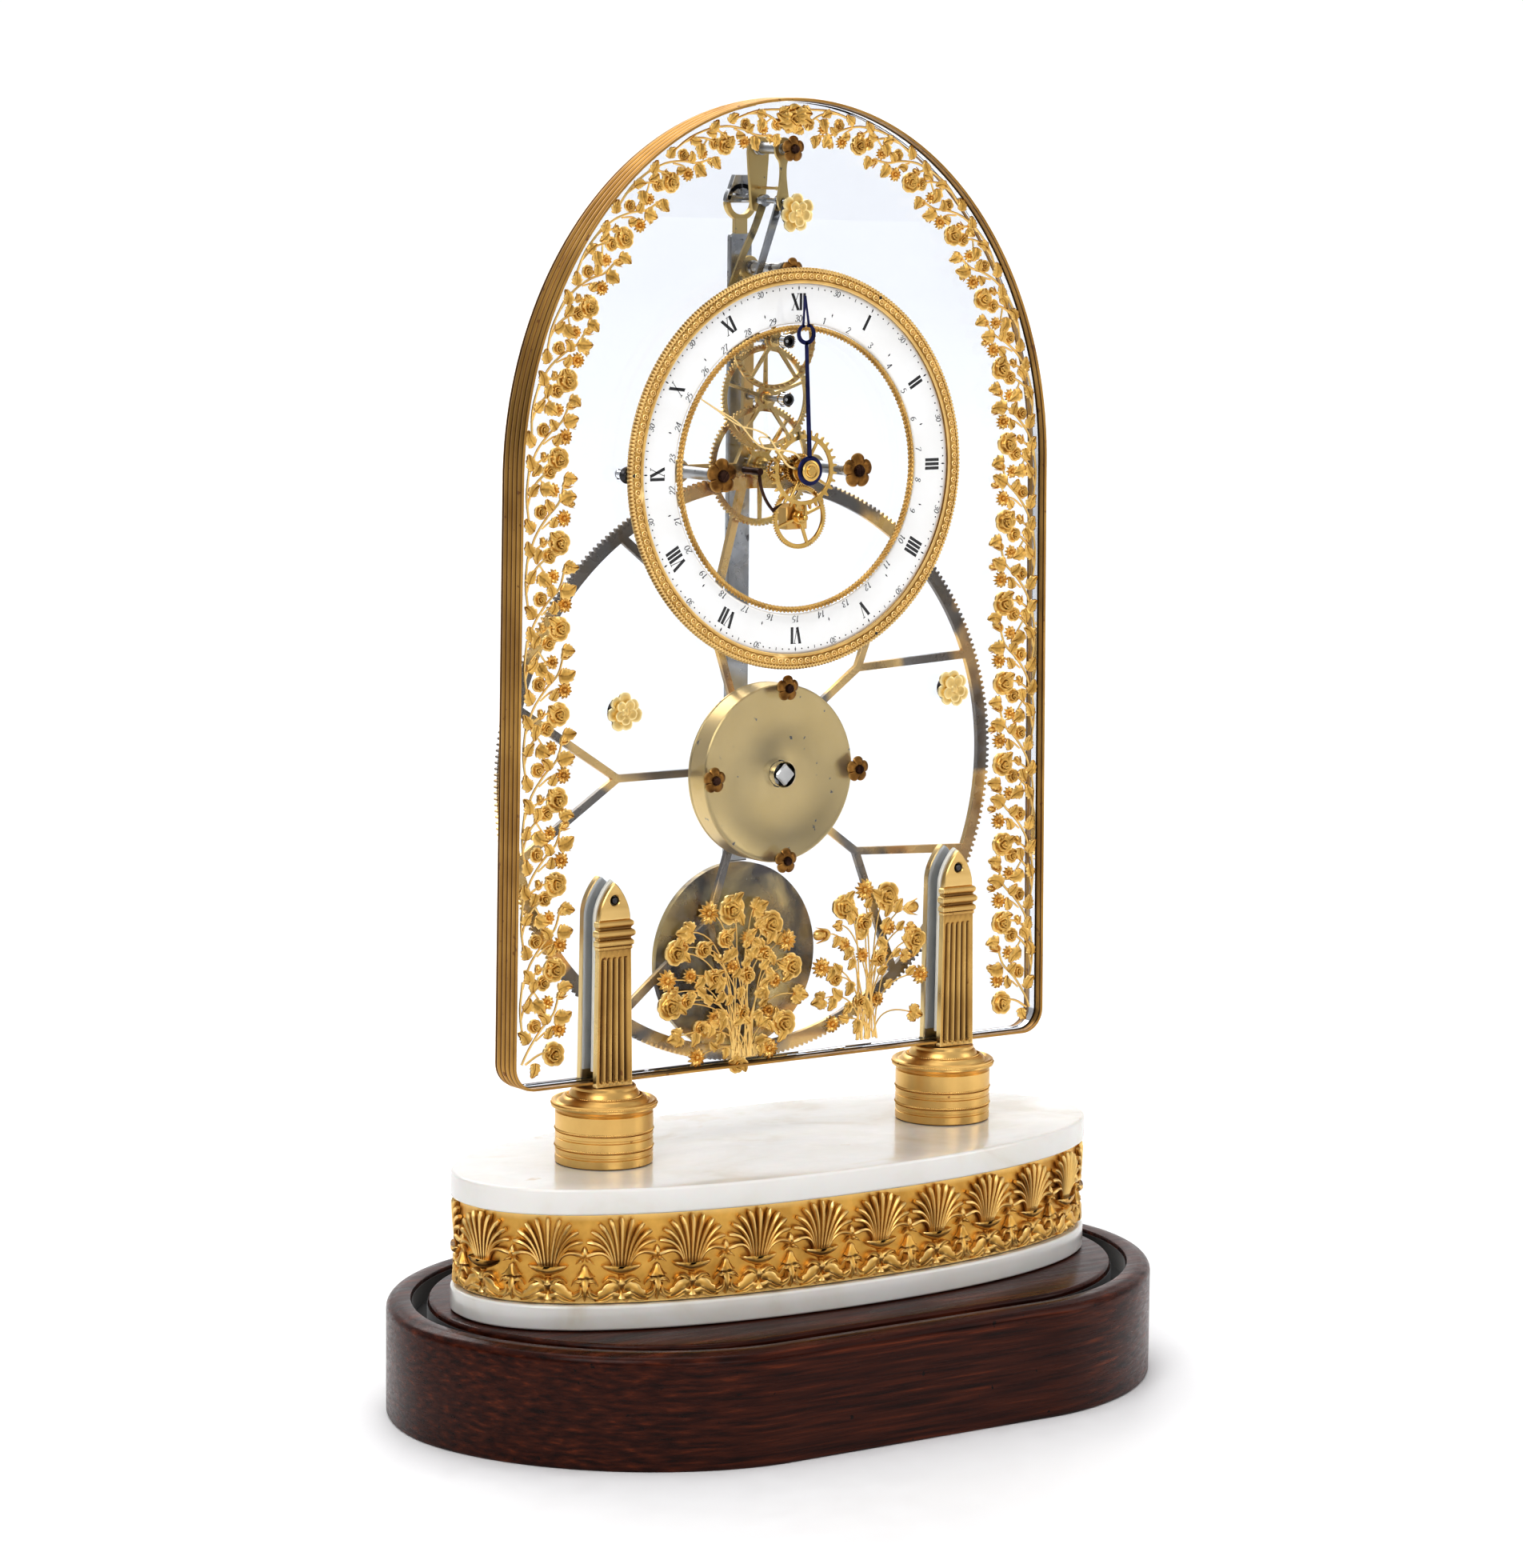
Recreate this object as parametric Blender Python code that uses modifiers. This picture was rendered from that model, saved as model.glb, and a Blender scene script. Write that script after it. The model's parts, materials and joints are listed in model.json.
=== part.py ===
"""Skeleton clock on a glass plate, with a great wheel, a pin-wheel escapement and date work.

Metres, +Z up, the dial faces -Y, the origin is the middle of the plinth's underside.
Depths along Y are named FRONT for the face nearer the viewer and BACK for the other one.
"""
from math import asin, atan2, cos, hypot, pi, radians, sin

import bmesh
import bpy
from mathutils import Vector

# Fitting clearances
GAP = 0.0003                    # between two pieces that rest on each other
SCREW_R = 0.001
SCREW_HOLE_R = 0.0014
PIVOT_R = 0.0007
PIVOT_HOLE_R = 0.001

# Plinth: an outer band around a core, with a raised panel and a groove for a dome between them
PLINTH_HALF = (0.1492, 0.0929)
PLINTH_END_POWER = 1.87
PLINTH_H = 0.0402
BAND_W = 0.009
GROOVE_W = 0.006
GROOVE_DEPTH = 0.009
PLINTH_EDGE_R = 0.0032

# Marble base: two slabs with a gilt frieze between them
BASE_HALF = (0.1303, 0.0577)
BASE_POWER = 2.19
LOWER_SLAB_TOP = 0.0492
FRIEZE_TOP = 0.0804
BASE_TOP = 0.08975
FRIEZE_INSET = 0.0012
FRIEZE_T = 0.003
MARBLE_EDGE_R = 0.001

# Pedestals and the clamping pilasters on them
PEDESTAL_X = 0.0734
PEDESTAL_R = 0.0172
PEDESTAL_CAP_R = 0.01865
PEDESTAL_TOP = 0.1173
SADDLE_TOP = 0.1183
PILASTER_X = 0.074
PILASTER_FOOT_W = 0.0148
PILASTER_HEAD_W = 0.0129
PILASTER_HEAD_Z = 0.176
PILASTER_TIP_Z = 0.1892
PILASTER_FRONT = -0.0074
PILASTER_BACK = -0.0051
REAR_PILASTER_FRONT = 0.005
REAR_PILASTER_BACK = 0.008
CLAMP_Z = 0.183
CLAMP_HEAD_R = 0.0013

# Glass plate with its gilt edge band
ARCH_HALF_W = 0.1121
ARCH_FOOT_HALF_W = 0.1144
ARCH_SPRING_Z = 0.3276
ARCH_RISE = 0.1316
ARCH_FOOT_Z = 0.1186
ARCH_CORNER_R = 0.009
GLASS_HALF_T = 0.003
EDGE_BAND_T = 0.0011
EDGE_BAND_HALF_W = 0.00635
EDGE_BAND_NARROW_HALF_W = 0.0027
GLASS_FRONT = -GLASS_HALF_T
GLASS_BACK = GLASS_HALF_T

# Flower trim on the glass
GARLAND_W = 0.0195
GARLAND_T = 0.003
GARLAND_SCALLOP = 0.0018
GARLAND_SCALLOPS = 20
GARLAND_TOP_DIP = 0.0095        # how much narrower it is under the crown, above the bracket nut
GARLAND_DIP_SPAN = 0.055
BOUQUET_T = 0.0028

# Dial
DIAL_Z = 0.3301
DIAL_FRONT = -0.0085
BEZEL_R = 0.0705
ENAMEL_R = 0.0652
ENAMEL_INNER_R = 0.0509
ROPE_R = 0.0506
ROPE_INNER_R = 0.0481
DIAL_PILLAR_R = 0.0685
DIAL_PILLAR_ANGLES = {"left_dial_pillar": 180, "upper_dial_pillar": 60, "lower_dial_pillar": -60}

# Spring barrel and great wheel
BARREL_Z = 0.2215
BARREL_R = 0.0318
BARREL_BACK = 0.0139
BARREL_WALL = 0.0015
BARREL_NUT_RING_R = 0.0308
BARREL_NUT_ANGLES = {"top": 90, "right": 0, "bottom": -90, "left": 180}
GREAT_TEETH = 312
GREAT_FRONT = 0.0199
GREAT_BACK = 0.0219
GREAT_HUB_R = 0.017
GREAT_FORK_R = 0.057
GREAT_FORK_SPREAD = 15
GREAT_ARM_HALF_W = 0.00135
GREAT_RIM_W = 0.0042
WINDING_ARBOR_R = 0.003
WINDING_SQUARE_R = 0.004
RATCHET_FRONT = 0.016
RATCHET_BACK = 0.0176
RATCHET_R = 0.009
RATCHET_TEETH = 24
CLICK_PIVOT = (0.0115, 0.0085)
SPRING_TURNS = 4

# Going train: heights of the axes, and tooth counts
CENTER_Z = 0.3301
THIRD_Z = 0.3541
ESCAPE_Z = 0.3745
CENTER_PINION = 10
CENTER_TEETH = 80
THIRD_PINION = 10
THIRD_TEETH = 80
ESCAPE_PINION = 8
ESCAPE_PINS = 45
ESCAPE_R = 0.0175
ARBOR_R = 0.0011
CENTER_ARBOR_R = 0.0016
PLATE_FRONT = 0.0244
PLATE_BACK = 0.0264
MOVEMENT_PILLARS = {
    "left_movement_pillar": (-0.029, 0.3283),
    "right_movement_pillar": (0.029, 0.3283),
    "top_movement_pillar": (0.0, 0.3995),
}
MOVEMENT_PILLAR_R = 0.0026

# Motion work and date work in front of the glass
MOTION_DISTANCE = 0.006
CANNON_TEETH = 8
MINUTE_TEETH = 24
MINUTE_PINION = 6
HOUR_TEETH = 24
HOUR_PIPE_R = 0.0022
HOUR_PIPE_FRONT = -0.0157
DAY_Z = 0.3135
DAY_DRIVE_TEETH = 36
DAY_TEETH = 72
DATE_TEETH = 30
DATE_R = 0.014
DATE_HUB_R = 0.0037
JUMPER_R = 0.0188
HOUR_HAND_LENGTH = 0.061
HOUR_HAND_RING = 0.0478
DATE_HAND_LENGTH = 0.052
DATE_SHOWN = 25

# Pallets, their bracket and the pendulum
BRACKET_Z = 0.4414
SWING_Z = 0.4232
FRONT_HANGER_FRONT = 0.0039
REAR_HANGER_FRONT = 0.0194
PENDULUM_FRONT = 0.0298
PENDULUM_BACK = 0.0322
ROD_HALF_W = 0.00475
ROD_TOP_Z = 0.4115
BOB_Z = 0.152
BOB_R = 0.0343
BOB_HALF_T = 0.0052

ROSETTES = {
    "left_rosette": (-0.0705, 0.2485),
    "right_rosette": (0.0705, 0.2485),
    "top_rosette": (0.0, 0.4193),
}

# Finishes: base colour, roughness, metallic
MAHOGANY = ((0.16, 0.04, 0.025), 0.25, 0.0)
MARBLE = ((0.86, 0.85, 0.82), 0.3, 0.0)
GILT = ((0.83, 0.55, 0.2), 0.38, 1.0)
PALE_BRASS = ((0.78, 0.66, 0.34), 0.25, 1.0)
DARK_BRASS = ((0.42, 0.25, 0.1), 0.4, 1.0)
STEEL = ((0.55, 0.55, 0.56), 0.3, 1.0)
BLUED_STEEL = ((0.06, 0.06, 0.2), 0.25, 1.0)
SPRING_BROWN = ((0.3, 0.15, 0.07), 0.35, 1.0)
ENAMEL = ((0.93, 0.93, 0.92), 0.12, 0.0)
GLASS = ((0.92, 0.96, 0.98), 0.02, 0.0)
CORE_WOOD = ((0.35, 0.22, 0.12), 0.7, 0.0)

# Facets of the round outlines, coarse because the finished surface is made elsewhere
OUTLINE_POINTS = 40
DIAL_STEPS = 40
SMALL_STEPS = 8

CLOCK = bpy.data.collections.new("skeleton_clock")


# ---------------------------------------------------------------- building helpers

def clear_scene():
    for obj in list(bpy.data.objects):
        bpy.data.objects.remove(obj, do_unlink=True)
    bpy.context.scene.collection.children.link(CLOCK)


def add_object(name, data):
    obj = bpy.data.objects.new(name, data)
    CLOCK.objects.link(obj)
    return obj


def bake(obj):
    """Replace the object's data by its evaluated mesh, with loose caps welded."""
    graph = bpy.context.evaluated_depsgraph_get()
    mesh = bpy.data.meshes.new_from_object(obj.evaluated_get(graph))
    shape = bmesh.new()
    shape.from_mesh(mesh)
    bmesh.ops.remove_doubles(shape, verts=shape.verts, dist=1e-6)
    bmesh.ops.recalc_face_normals(shape, faces=shape.faces)
    shape.to_mesh(mesh)
    shape.free()
    name = obj.name
    placed = obj.matrix_world.copy()
    bpy.data.objects.remove(obj, do_unlink=True)
    mesh.name = name
    solid = add_object(name, mesh)
    solid.matrix_world = placed
    return solid


def combine(base, tools, operation="UNION"):
    """Join the tools to the base, or cut them from it, and remove them."""
    for index, tool in enumerate(tools):
        step = base.modifiers.new("%s_%d" % (operation.lower(), index), "BOOLEAN")
        step.operation = operation
        step.solver = "EXACT"
        step.object = tool
    bpy.context.view_layer.update()
    solid = bake(base)
    for tool in tools:
        bpy.data.objects.remove(tool, do_unlink=True)
    return solid


def finish(obj, look):
    """Give the object its own material and smooth shading with sharp edges kept."""
    colour, roughness, metallic = look
    material = bpy.data.materials.new(obj.name)
    material.use_nodes = True
    shader = material.node_tree.nodes["Principled BSDF"]
    shader.inputs["Base Color"].default_value = (*colour, 1.0)
    shader.inputs["Roughness"].default_value = roughness
    shader.inputs["Metallic"].default_value = metallic
    obj.data.materials.clear()
    obj.data.materials.append(material)
    obj.data.shade_smooth()
    obj.data.set_sharp_from_angle(angle=radians(35))
    return obj


def face_front(obj, x, z, y=0.0):
    """Lay a piece drawn in XY upright, so that its local +Z points to the viewer."""
    obj.rotation_euler = (pi / 2, 0, 0)
    obj.location = (x, y, z)
    bpy.context.view_layer.update()
    return obj


def plate(name, outlines, front, back, x=0.0, z=0.0):
    """A flat piece between two depths. The first outline is its edge, the others are holes."""
    curve = bpy.data.curves.new(name, "CURVE")
    curve.dimensions = "2D"
    curve.fill_mode = "BOTH"
    curve.extrude = (back - front) / 2
    curve.render_resolution_u = 0
    for outline in outlines:
        spline = curve.splines.new("POLY")
        spline.points.add(len(outline) - 1)
        for point, (px, pz) in zip(spline.points, outline):
            point.co = (px, pz, 0, 1)
        spline.use_cyclic_u = True
    obj = face_front(add_object(name, curve), x, z, (front + back) / 2)
    solid = bake(obj)
    move_origin(solid, Vector((x, 0, z)))
    return solid


def move_origin(obj, place):
    """Move the object's origin to a world point and leave its shape where it is."""
    shift = obj.matrix_world.inverted() @ place
    for vertex in obj.data.vertices:
        vertex.co -= shift
    obj.location = place
    bpy.context.view_layer.update()


def turned(name, profile, x=0.0, z=0.0, steps=16, upright=False, closed=False):
    """A turned piece from (radius, place) points. The place runs from front to back along Y,
    or from top to bottom along Z for an upright one."""
    mesh = bpy.data.meshes.new(name)
    sign = 1 if upright else -1
    edges = [(i, i + 1) for i in range(len(profile) - 1)]
    if closed:
        edges.append((len(profile) - 1, 0))
    mesh.from_pydata([(r, 0, sign * place) for r, place in profile], edges, [])
    obj = add_object(name, mesh)
    screw = obj.modifiers.new("turn", "SCREW")
    screw.steps = steps
    screw.render_steps = steps
    screw.use_merge_vertices = True
    screw.merge_threshold = 0.00001
    if upright:
        obj.location = (x, 0, z)
    else:
        face_front(obj, x, z)
    bpy.context.view_layer.update()
    return bake(obj)


def box(name, low, high):
    shape = bmesh.new()
    bmesh.ops.create_cube(shape, size=1.0)
    mesh = bpy.data.meshes.new(name)
    low = Vector(low)
    high = Vector(high)
    for vertex in shape.verts:
        part = vertex.co + Vector((0.5, 0.5, 0.5))
        vertex.co = Vector(a + (b - a) * t for a, b, t in zip(low, high, part))
    shape.to_mesh(mesh)
    shape.free()
    return add_object(name, mesh)


def stack(name, outline, sections, ring=False):
    """A loft through offset copies of one outline. outline(inset) gives XY points, sections
    hold (inset, height); a ring closes back to its first section and stays open inside."""
    shape = bmesh.new()
    loops = []
    for inset, height in sections:
        loops.append([shape.verts.new((px, py, height)) for px, py in outline(inset)])
    pairs = list(zip(loops, loops[1:]))
    if ring:
        pairs.append((loops[-1], loops[0]))
    for first, second in pairs:
        for i in range(len(first)):
            shape.faces.new((first[i - 1], first[i], second[i], second[i - 1]))
    if not ring:
        shape.faces.new(loops[0])
        shape.faces.new(loops[-1])
    bmesh.ops.recalc_face_normals(shape, faces=shape.faces)
    mesh = bpy.data.meshes.new(name)
    shape.to_mesh(mesh)
    shape.free()
    return add_object(name, mesh)


# ---------------------------------------------------------------- outlines

def polar(radius, degrees, centre=(0.0, 0.0)):
    return (centre[0] + radius * cos(radians(degrees)), centre[1] + radius * sin(radians(degrees)))


def circle(radius, count=12, centre=(0.0, 0.0)):
    return [polar(radius, 360 * i / count, centre) for i in range(count)]


def arc(radius, start, end, count, centre=(0.0, 0.0)):
    return [polar(radius, start + (end - start) * i / (count - 1), centre) for i in range(count)]


def rounded_power(half_x, half_y, power, straight, count):
    """A superellipse whose two ends are moved apart by a straight stretch."""
    points = []
    for i in range(count):
        angle = 2 * pi * (i + 0.5) / count
        c = cos(angle)
        s = sin(angle)
        x = abs(c) ** (2 / power) * (half_x - straight) + straight
        y = abs(s) ** (2 / power) * half_y
        points.append((x if c > 0 else -x, y if s > 0 else -y))
    return points


def plinth_outline(inset):
    half_x, half_y = PLINTH_HALF
    return rounded_power(half_x - inset, half_y - inset, PLINTH_END_POWER, half_x - half_y, OUTLINE_POINTS)


def base_outline(inset):
    half_x, half_y = BASE_HALF
    return rounded_power(half_x - inset, half_y - inset, BASE_POWER, 0.0, OUTLINE_POINTS)


def arch_side(inset, t):
    """A point on the glass plate's side and arch: t is 0 at the left foot and 1 at the right."""
    side = 0.28
    half_w = ARCH_HALF_W - inset
    if side <= t <= 1 - side:
        angle = 180 * (1 - (t - side) / (1 - 2 * side))
        height = (ARCH_RISE - inset) * sin(radians(angle))
        return (half_w * cos(radians(angle)), ARCH_SPRING_Z + height)
    drop = (side - min(t, 1 - t)) / side
    x = half_w + (ARCH_FOOT_HALF_W - ARCH_HALF_W) * drop
    z = ARCH_SPRING_Z - (ARCH_SPRING_Z - ARCH_FOOT_Z - ARCH_CORNER_R) * drop
    return (-x if t < 0.5 else x, z)


def arch_outline(inset, count=36):
    """The closed outline of the glass plate, brought inwards by the inset."""
    side = 0.28
    points = [arch_side(inset, 0.0)]
    points += [arch_side(inset, side + (1 - 2 * side) * i / count) for i in range(count + 1)]
    points.append(arch_side(inset, 1.0))
    corner_x = ARCH_FOOT_HALF_W - ARCH_CORNER_R
    corner_z = ARCH_FOOT_Z + ARCH_CORNER_R
    radius = ARCH_CORNER_R - inset
    points += arc(radius, 0, -90, 5, (corner_x, corner_z))[1:]
    points += arc(radius, -90, -180, 5, (-corner_x, corner_z))[:-1]
    return points


def scalloped(radius, depth, lobes, per_lobe=3, turn=0.0):
    """A flower outline with the given number of lobes."""
    points = []
    for i in range(lobes * per_lobe):
        wave = cos(2 * pi * i / per_lobe)
        points.append(polar(radius - depth * (1 - wave) / 2, turn + 360 * i / (lobes * per_lobe)))
    return points


def toothed(teeth, root, tip, phase, base=1.0):
    """A gear edge with pointed teeth. base is the tooth's width at its root as a share of the
    pitch, phase the direction of one tooth's tip in degrees."""
    pitch = 360 / teeth
    points = []
    for i in range(teeth):
        middle = phase + pitch * i
        if base < 1:
            points.append(polar(root, middle - pitch * base / 2))
        points.append(polar(tip, middle))
        points.append(polar(root, middle + pitch * base / 2))
    return points


def windows(hub, rim, arms, half_w, phase, count=5):
    """The openings between straight arms, from the hub's radius to the rim's."""
    outlines = []
    for i in range(arms):
        start = phase + 360 * i / arms
        end = start + 360 / arms
        inner = [start + asin(half_w / hub) * 180 / pi, end - asin(half_w / hub) * 180 / pi]
        outer = [start + asin(half_w / rim) * 180 / pi, end - asin(half_w / rim) * 180 / pi]
        outlines.append(arc(rim, outer[0], outer[1], count) + arc(hub, inner[1], inner[0], 3))
    return outlines


def crossing(p, p_dir, q, q_dir):
    """Where the line through p along p_dir meets the line through q along q_dir."""
    cross = p_dir[0] * q_dir[1] - p_dir[1] * q_dir[0]
    t = ((q[0] - p[0]) * q_dir[1] - (q[1] - p[1]) * q_dir[0]) / cross
    return (p[0] + t * p_dir[0], p[1] + t * p_dir[1])


def offset_line(start, end, distance):
    """A line moved to its left by the distance: a point on it and its direction."""
    length = hypot(end[0] - start[0], end[1] - start[1])
    direction = ((end[0] - start[0]) / length, (end[1] - start[1]) / length)
    return (start[0] - direction[1] * distance, start[1] + direction[0] * distance), direction


def forked_windows(hub, fork, rim, arms, spread, half_w, phase):
    """The openings of a wheel whose arms split in two before the rim."""
    outlines = []
    pitch = 360 / arms
    for i in range(arms):
        middle = phase + pitch * i
        centre = (0.0, 0.0)
        fork_point = polar(fork, middle)
        left_end = polar(rim, middle + spread)
        right_end = polar(rim, middle - spread)
        apex = crossing(*offset_line(fork_point, left_end, -half_w),
                        *offset_line(fork_point, right_end, half_w))
        reach = spread - asin(half_w / rim) * 180 / pi * 1.2
        outlines.append([apex] + arc(rim, middle - reach, middle + reach, 5))

        following = middle + pitch
        next_fork = polar(fork, following)
        arm_side = offset_line(centre, fork_point, half_w)
        next_side = offset_line(centre, next_fork, -half_w)
        corner = crossing(*arm_side, *offset_line(fork_point, left_end, half_w))
        next_end = polar(rim, following - spread)
        next_corner = crossing(*next_side, *offset_line(next_fork, next_end, -half_w))
        margin = asin(half_w / rim) * 180 / pi * 1.2
        hub_margin = asin(half_w / hub) * 180 / pi
        outlines.append([corner]
                        + arc(rim, middle + spread + margin, following - spread - margin, 7)
                        + [next_corner]
                        + arc(hub, following - hub_margin, middle + hub_margin, 4))
    return outlines


def mirrored(half):
    """A closed outline from the right half's (x, z) points, listed from bottom to top."""
    return list(half) + [(-x, z) for x, z in reversed(half) if x > 0]


# ---------------------------------------------------------------- plinth and base

def build_plinth():
    floor = PLINTH_H - GROOVE_DEPTH
    r = PLINTH_EDGE_R
    rounded = [(r * (1 - sin(radians(a))), PLINTH_H - r * (1 - cos(radians(a)))) for a in (90, 45, 0)]
    band = [(0.001, 0), (0, 0.001)] + rounded + [(BAND_W, PLINTH_H), (BAND_W, 0)]
    finish(stack("plinth_band", plinth_outline, band, ring=True), MAHOGANY)
    core = [(BAND_W + GAP, 0), (BAND_W + GAP, floor)]
    finish(stack("plinth_core", plinth_outline, core), MAHOGANY)
    inset = BAND_W + GROOVE_W
    panel = [(inset, floor + GAP), (inset, PLINTH_H - 0.001), (inset + 0.001, PLINTH_H)]
    finish(stack("plinth_panel", plinth_outline, panel), MAHOGANY)


def build_base():
    edge = MARBLE_EDGE_R
    for name, low, high in (("lower_marble_slab", PLINTH_H + GAP, LOWER_SLAB_TOP),
                            ("upper_marble_slab", FRIEZE_TOP + GAP, BASE_TOP)):
        slab = [(edge, low), (0, low + edge), (0, high - edge), (edge, high)]
        finish(stack(name, base_outline, slab), MARBLE)
    low = LOWER_SLAB_TOP + GAP
    core_inset = FRIEZE_INSET + FRIEZE_T + GAP
    core = [(core_inset, low), (core_inset, FRIEZE_TOP)]
    finish(stack("base_core", base_outline, core), CORE_WOOD)
    back = FRIEZE_INSET + FRIEZE_T
    band = [(FRIEZE_INSET, low), (FRIEZE_INSET, FRIEZE_TOP), (back, FRIEZE_TOP), (back, low)]
    finish(stack("frieze_band", base_outline, band, ring=True), GILT)


# ---------------------------------------------------------------- pedestals, pilasters, glass

def build_pedestal(name, side):
    r = PEDESTAL_R
    rope = 0.0006
    cap = PEDESTAL_CAP_R
    profile = [(0, PEDESTAL_TOP), (0.011, PEDESTAL_TOP), (0.0112, 0.1152), (0.0145, 0.1146),
               (cap, 0.1122), (cap, 0.1096), (r, 0.1085), (r, 0.1030), (r + rope, 0.1020),
               (r, 0.1010), (r, 0.0970), (r + rope, 0.0960), (r, 0.0950), (r, BASE_TOP + GAP),
               (0, BASE_TOP + GAP)]
    pedestal = turned(name, profile, side * PEDESTAL_X, steps=20, upright=True)
    x = side * PEDESTAL_X
    half = EDGE_BAND_NARROW_HALF_W
    saddle = box("saddle", (x - 0.006, -half, PEDESTAL_TOP - 0.001), (x + 0.006, half, SADDLE_TOP))
    finish(combine(pedestal, [saddle]), GILT)


def pilaster_outline(count=6):
    """An obelisk: a tapered shaft with a rounded, slightly pointed head."""
    foot = PEDESTAL_TOP + GAP
    head = PILASTER_HEAD_W / 2
    half = [(PILASTER_FOOT_W / 2, foot), (head, PILASTER_HEAD_Z)]
    rise = PILASTER_TIP_Z - PILASTER_HEAD_Z
    for i in range(1, count):
        t = i / count
        half.append((head * cos(t * pi / 2) ** 0.8, PILASTER_HEAD_Z + rise * t))
    half.append((0.0, PILASTER_TIP_Z))
    return mirrored(half)


def build_front_pilaster(name, side):
    x = side * PILASTER_X
    hole = circle(CLAMP_HEAD_R + GAP, 10, (0, CLAMP_Z))
    pilaster = plate(name, [pilaster_outline(), hole], PILASTER_FRONT, PILASTER_BACK, x)
    tools = []
    for low, high, proud in ((0.1670, 0.1690, 0.0008), (0.1700, 0.1728, 0.0012), (0.1738, 0.1760, 0.0008)):
        half = PILASTER_HEAD_W / 2 + proud
        tools.append(box("moulding", (x - half, PILASTER_FRONT - proud, low),
                         (x + half, PILASTER_BACK - 0.0004, high)))
    pilaster = combine(pilaster, tools)
    flutes = []
    for i in range(4):
        flute_x = x + (i - 1.5) * 0.0029
        flute = turned("flute", [(0, 0.161), (0.0009, 0.161), (0.0009, 0.121), (0, 0.121)],
                       flute_x, steps=6, upright=True)
        flute.location.y = PILASTER_FRONT - 0.0002
        flutes.append(flute)
    finish(combine(pilaster, flutes, "DIFFERENCE"), GILT)


def build_rear_pilaster(name, side):
    hole = circle(SCREW_HOLE_R, 8, (0, CLAMP_Z))
    outline = [(x, z + 0.001 if z > PILASTER_HEAD_Z else z) for x, z in pilaster_outline()]
    obj = plate(name, [outline, hole], REAR_PILASTER_FRONT, REAR_PILASTER_BACK, side * PILASTER_X)
    finish(obj, GILT)


def build_clamp_screw(name, side):
    profile = [(0, -0.0073), (CLAMP_HEAD_R, -0.0073), (CLAMP_HEAD_R, -0.0062), (SCREW_R, -0.0062),
               (SCREW_R, 0.0083), (0.0022, 0.0083), (0.0022, 0.0095), (0, 0.0095)]
    finish(turned(name, profile, side * PILASTER_X, CLAMP_Z, steps=SMALL_STEPS), STEEL)


def glass_holes():
    """Every hole drilled in the glass plate, as (x, z, radius)."""
    holes = [(side * PILASTER_X, CLAMP_Z, SCREW_HOLE_R) for side in (-1, 1)]
    for degrees in BARREL_NUT_ANGLES.values():
        x, z = polar(BARREL_NUT_RING_R, degrees, (0, BARREL_Z))
        holes.append((x, z, SCREW_HOLE_R))
    for degrees in DIAL_PILLAR_ANGLES.values():
        x, z = polar(DIAL_PILLAR_R, degrees, (0, DIAL_Z))
        holes.append((x, z, SCREW_HOLE_R))
    for x, z in list(MOVEMENT_PILLARS.values()) + list(ROSETTES.values()):
        holes.append((x, z, SCREW_HOLE_R))
    holes.append((0, BRACKET_Z, SCREW_HOLE_R))
    holes.append((0, BARREL_Z, WINDING_SQUARE_R + 0.0006))
    holes.append((0, CENTER_Z, CENTER_ARBOR_R + 0.0008))
    holes.append((0, THIRD_Z, 0.0022))
    holes.append((0, ESCAPE_Z, 0.0022))
    holes.append((-MOTION_DISTANCE, CENTER_Z, PIVOT_HOLE_R))
    return holes


def build_glass():
    inset = EDGE_BAND_T + GAP
    outlines = [arch_outline(inset)]
    for x, z, radius in glass_holes():
        outlines.append(circle(radius, 8 if radius < 0.003 else 16, (x, z)))
    finish(plate("glass_plate", outlines, GLASS_FRONT, GLASS_BACK), GLASS)


def build_edge_band():
    wide = EDGE_BAND_HALF_W
    narrow = EDGE_BAND_NARROW_HALF_W
    band = plate("edge_band", [arch_outline(0), arch_outline(EDGE_BAND_T)], -wide, wide)
    cuts = []
    for side in (-1, 1):
        x = side * PILASTER_X
        reach = PILASTER_FOOT_W / 2 + 0.0006
        for low, high in ((-wide - 0.001, -narrow), (narrow, wide + 0.001)):
            cuts.append(box("pilaster_cut", (x - reach, low, ARCH_FOOT_Z - 0.002),
                            (x + reach, high, ARCH_FOOT_Z + 0.005)))
    finish(combine(band, cuts, "DIFFERENCE"), GILT)


# ---------------------------------------------------------------- flower trim

def build_garland():
    """A flat openwork strip along the inside of the edge band, with a scalloped inner side."""
    margin = EDGE_BAND_T + 0.0006
    outer = [arch_side(margin, i / 48) for i in range(49)]
    inner = []
    steps = GARLAND_SCALLOPS * 3
    for i in range(steps + 1):
        t = i / steps
        wave = GARLAND_SCALLOP * cos(2 * pi * i / 3)
        dip = GARLAND_TOP_DIP * max(0.0, 1 - ((t - 0.5) / GARLAND_DIP_SPAN) ** 4)
        inner.append(arch_side(margin + GARLAND_W + wave - dip, t))
    outline = outer + list(reversed(inner))
    front = GLASS_FRONT - GAP - GARLAND_T
    finish(plate("rose_garland", [outline], front, GLASS_FRONT - GAP), GILT)


def build_bouquet(name, x, foot_z, half_w, height, lean):
    """A fan of flowers: narrow where the stems are tied and wide and scalloped above."""
    outline = [(lean - 0.009, 0.0), (lean + 0.009, 0.0)]
    lobes = 9
    for i in range(lobes * 3 + 1):
        angle = radians(-12 + 204 * i / (lobes * 3))
        ripple = 1 + 0.06 * cos(2 * pi * i / 3)
        outline.append((half_w * ripple * cos(angle), height * 0.42 + height * 0.55 * ripple * sin(angle)))
    front = GLASS_FRONT - GAP - BOUQUET_T
    finish(plate(name, [outline], front, GLASS_FRONT - GAP, x, foot_z), GILT)


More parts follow.
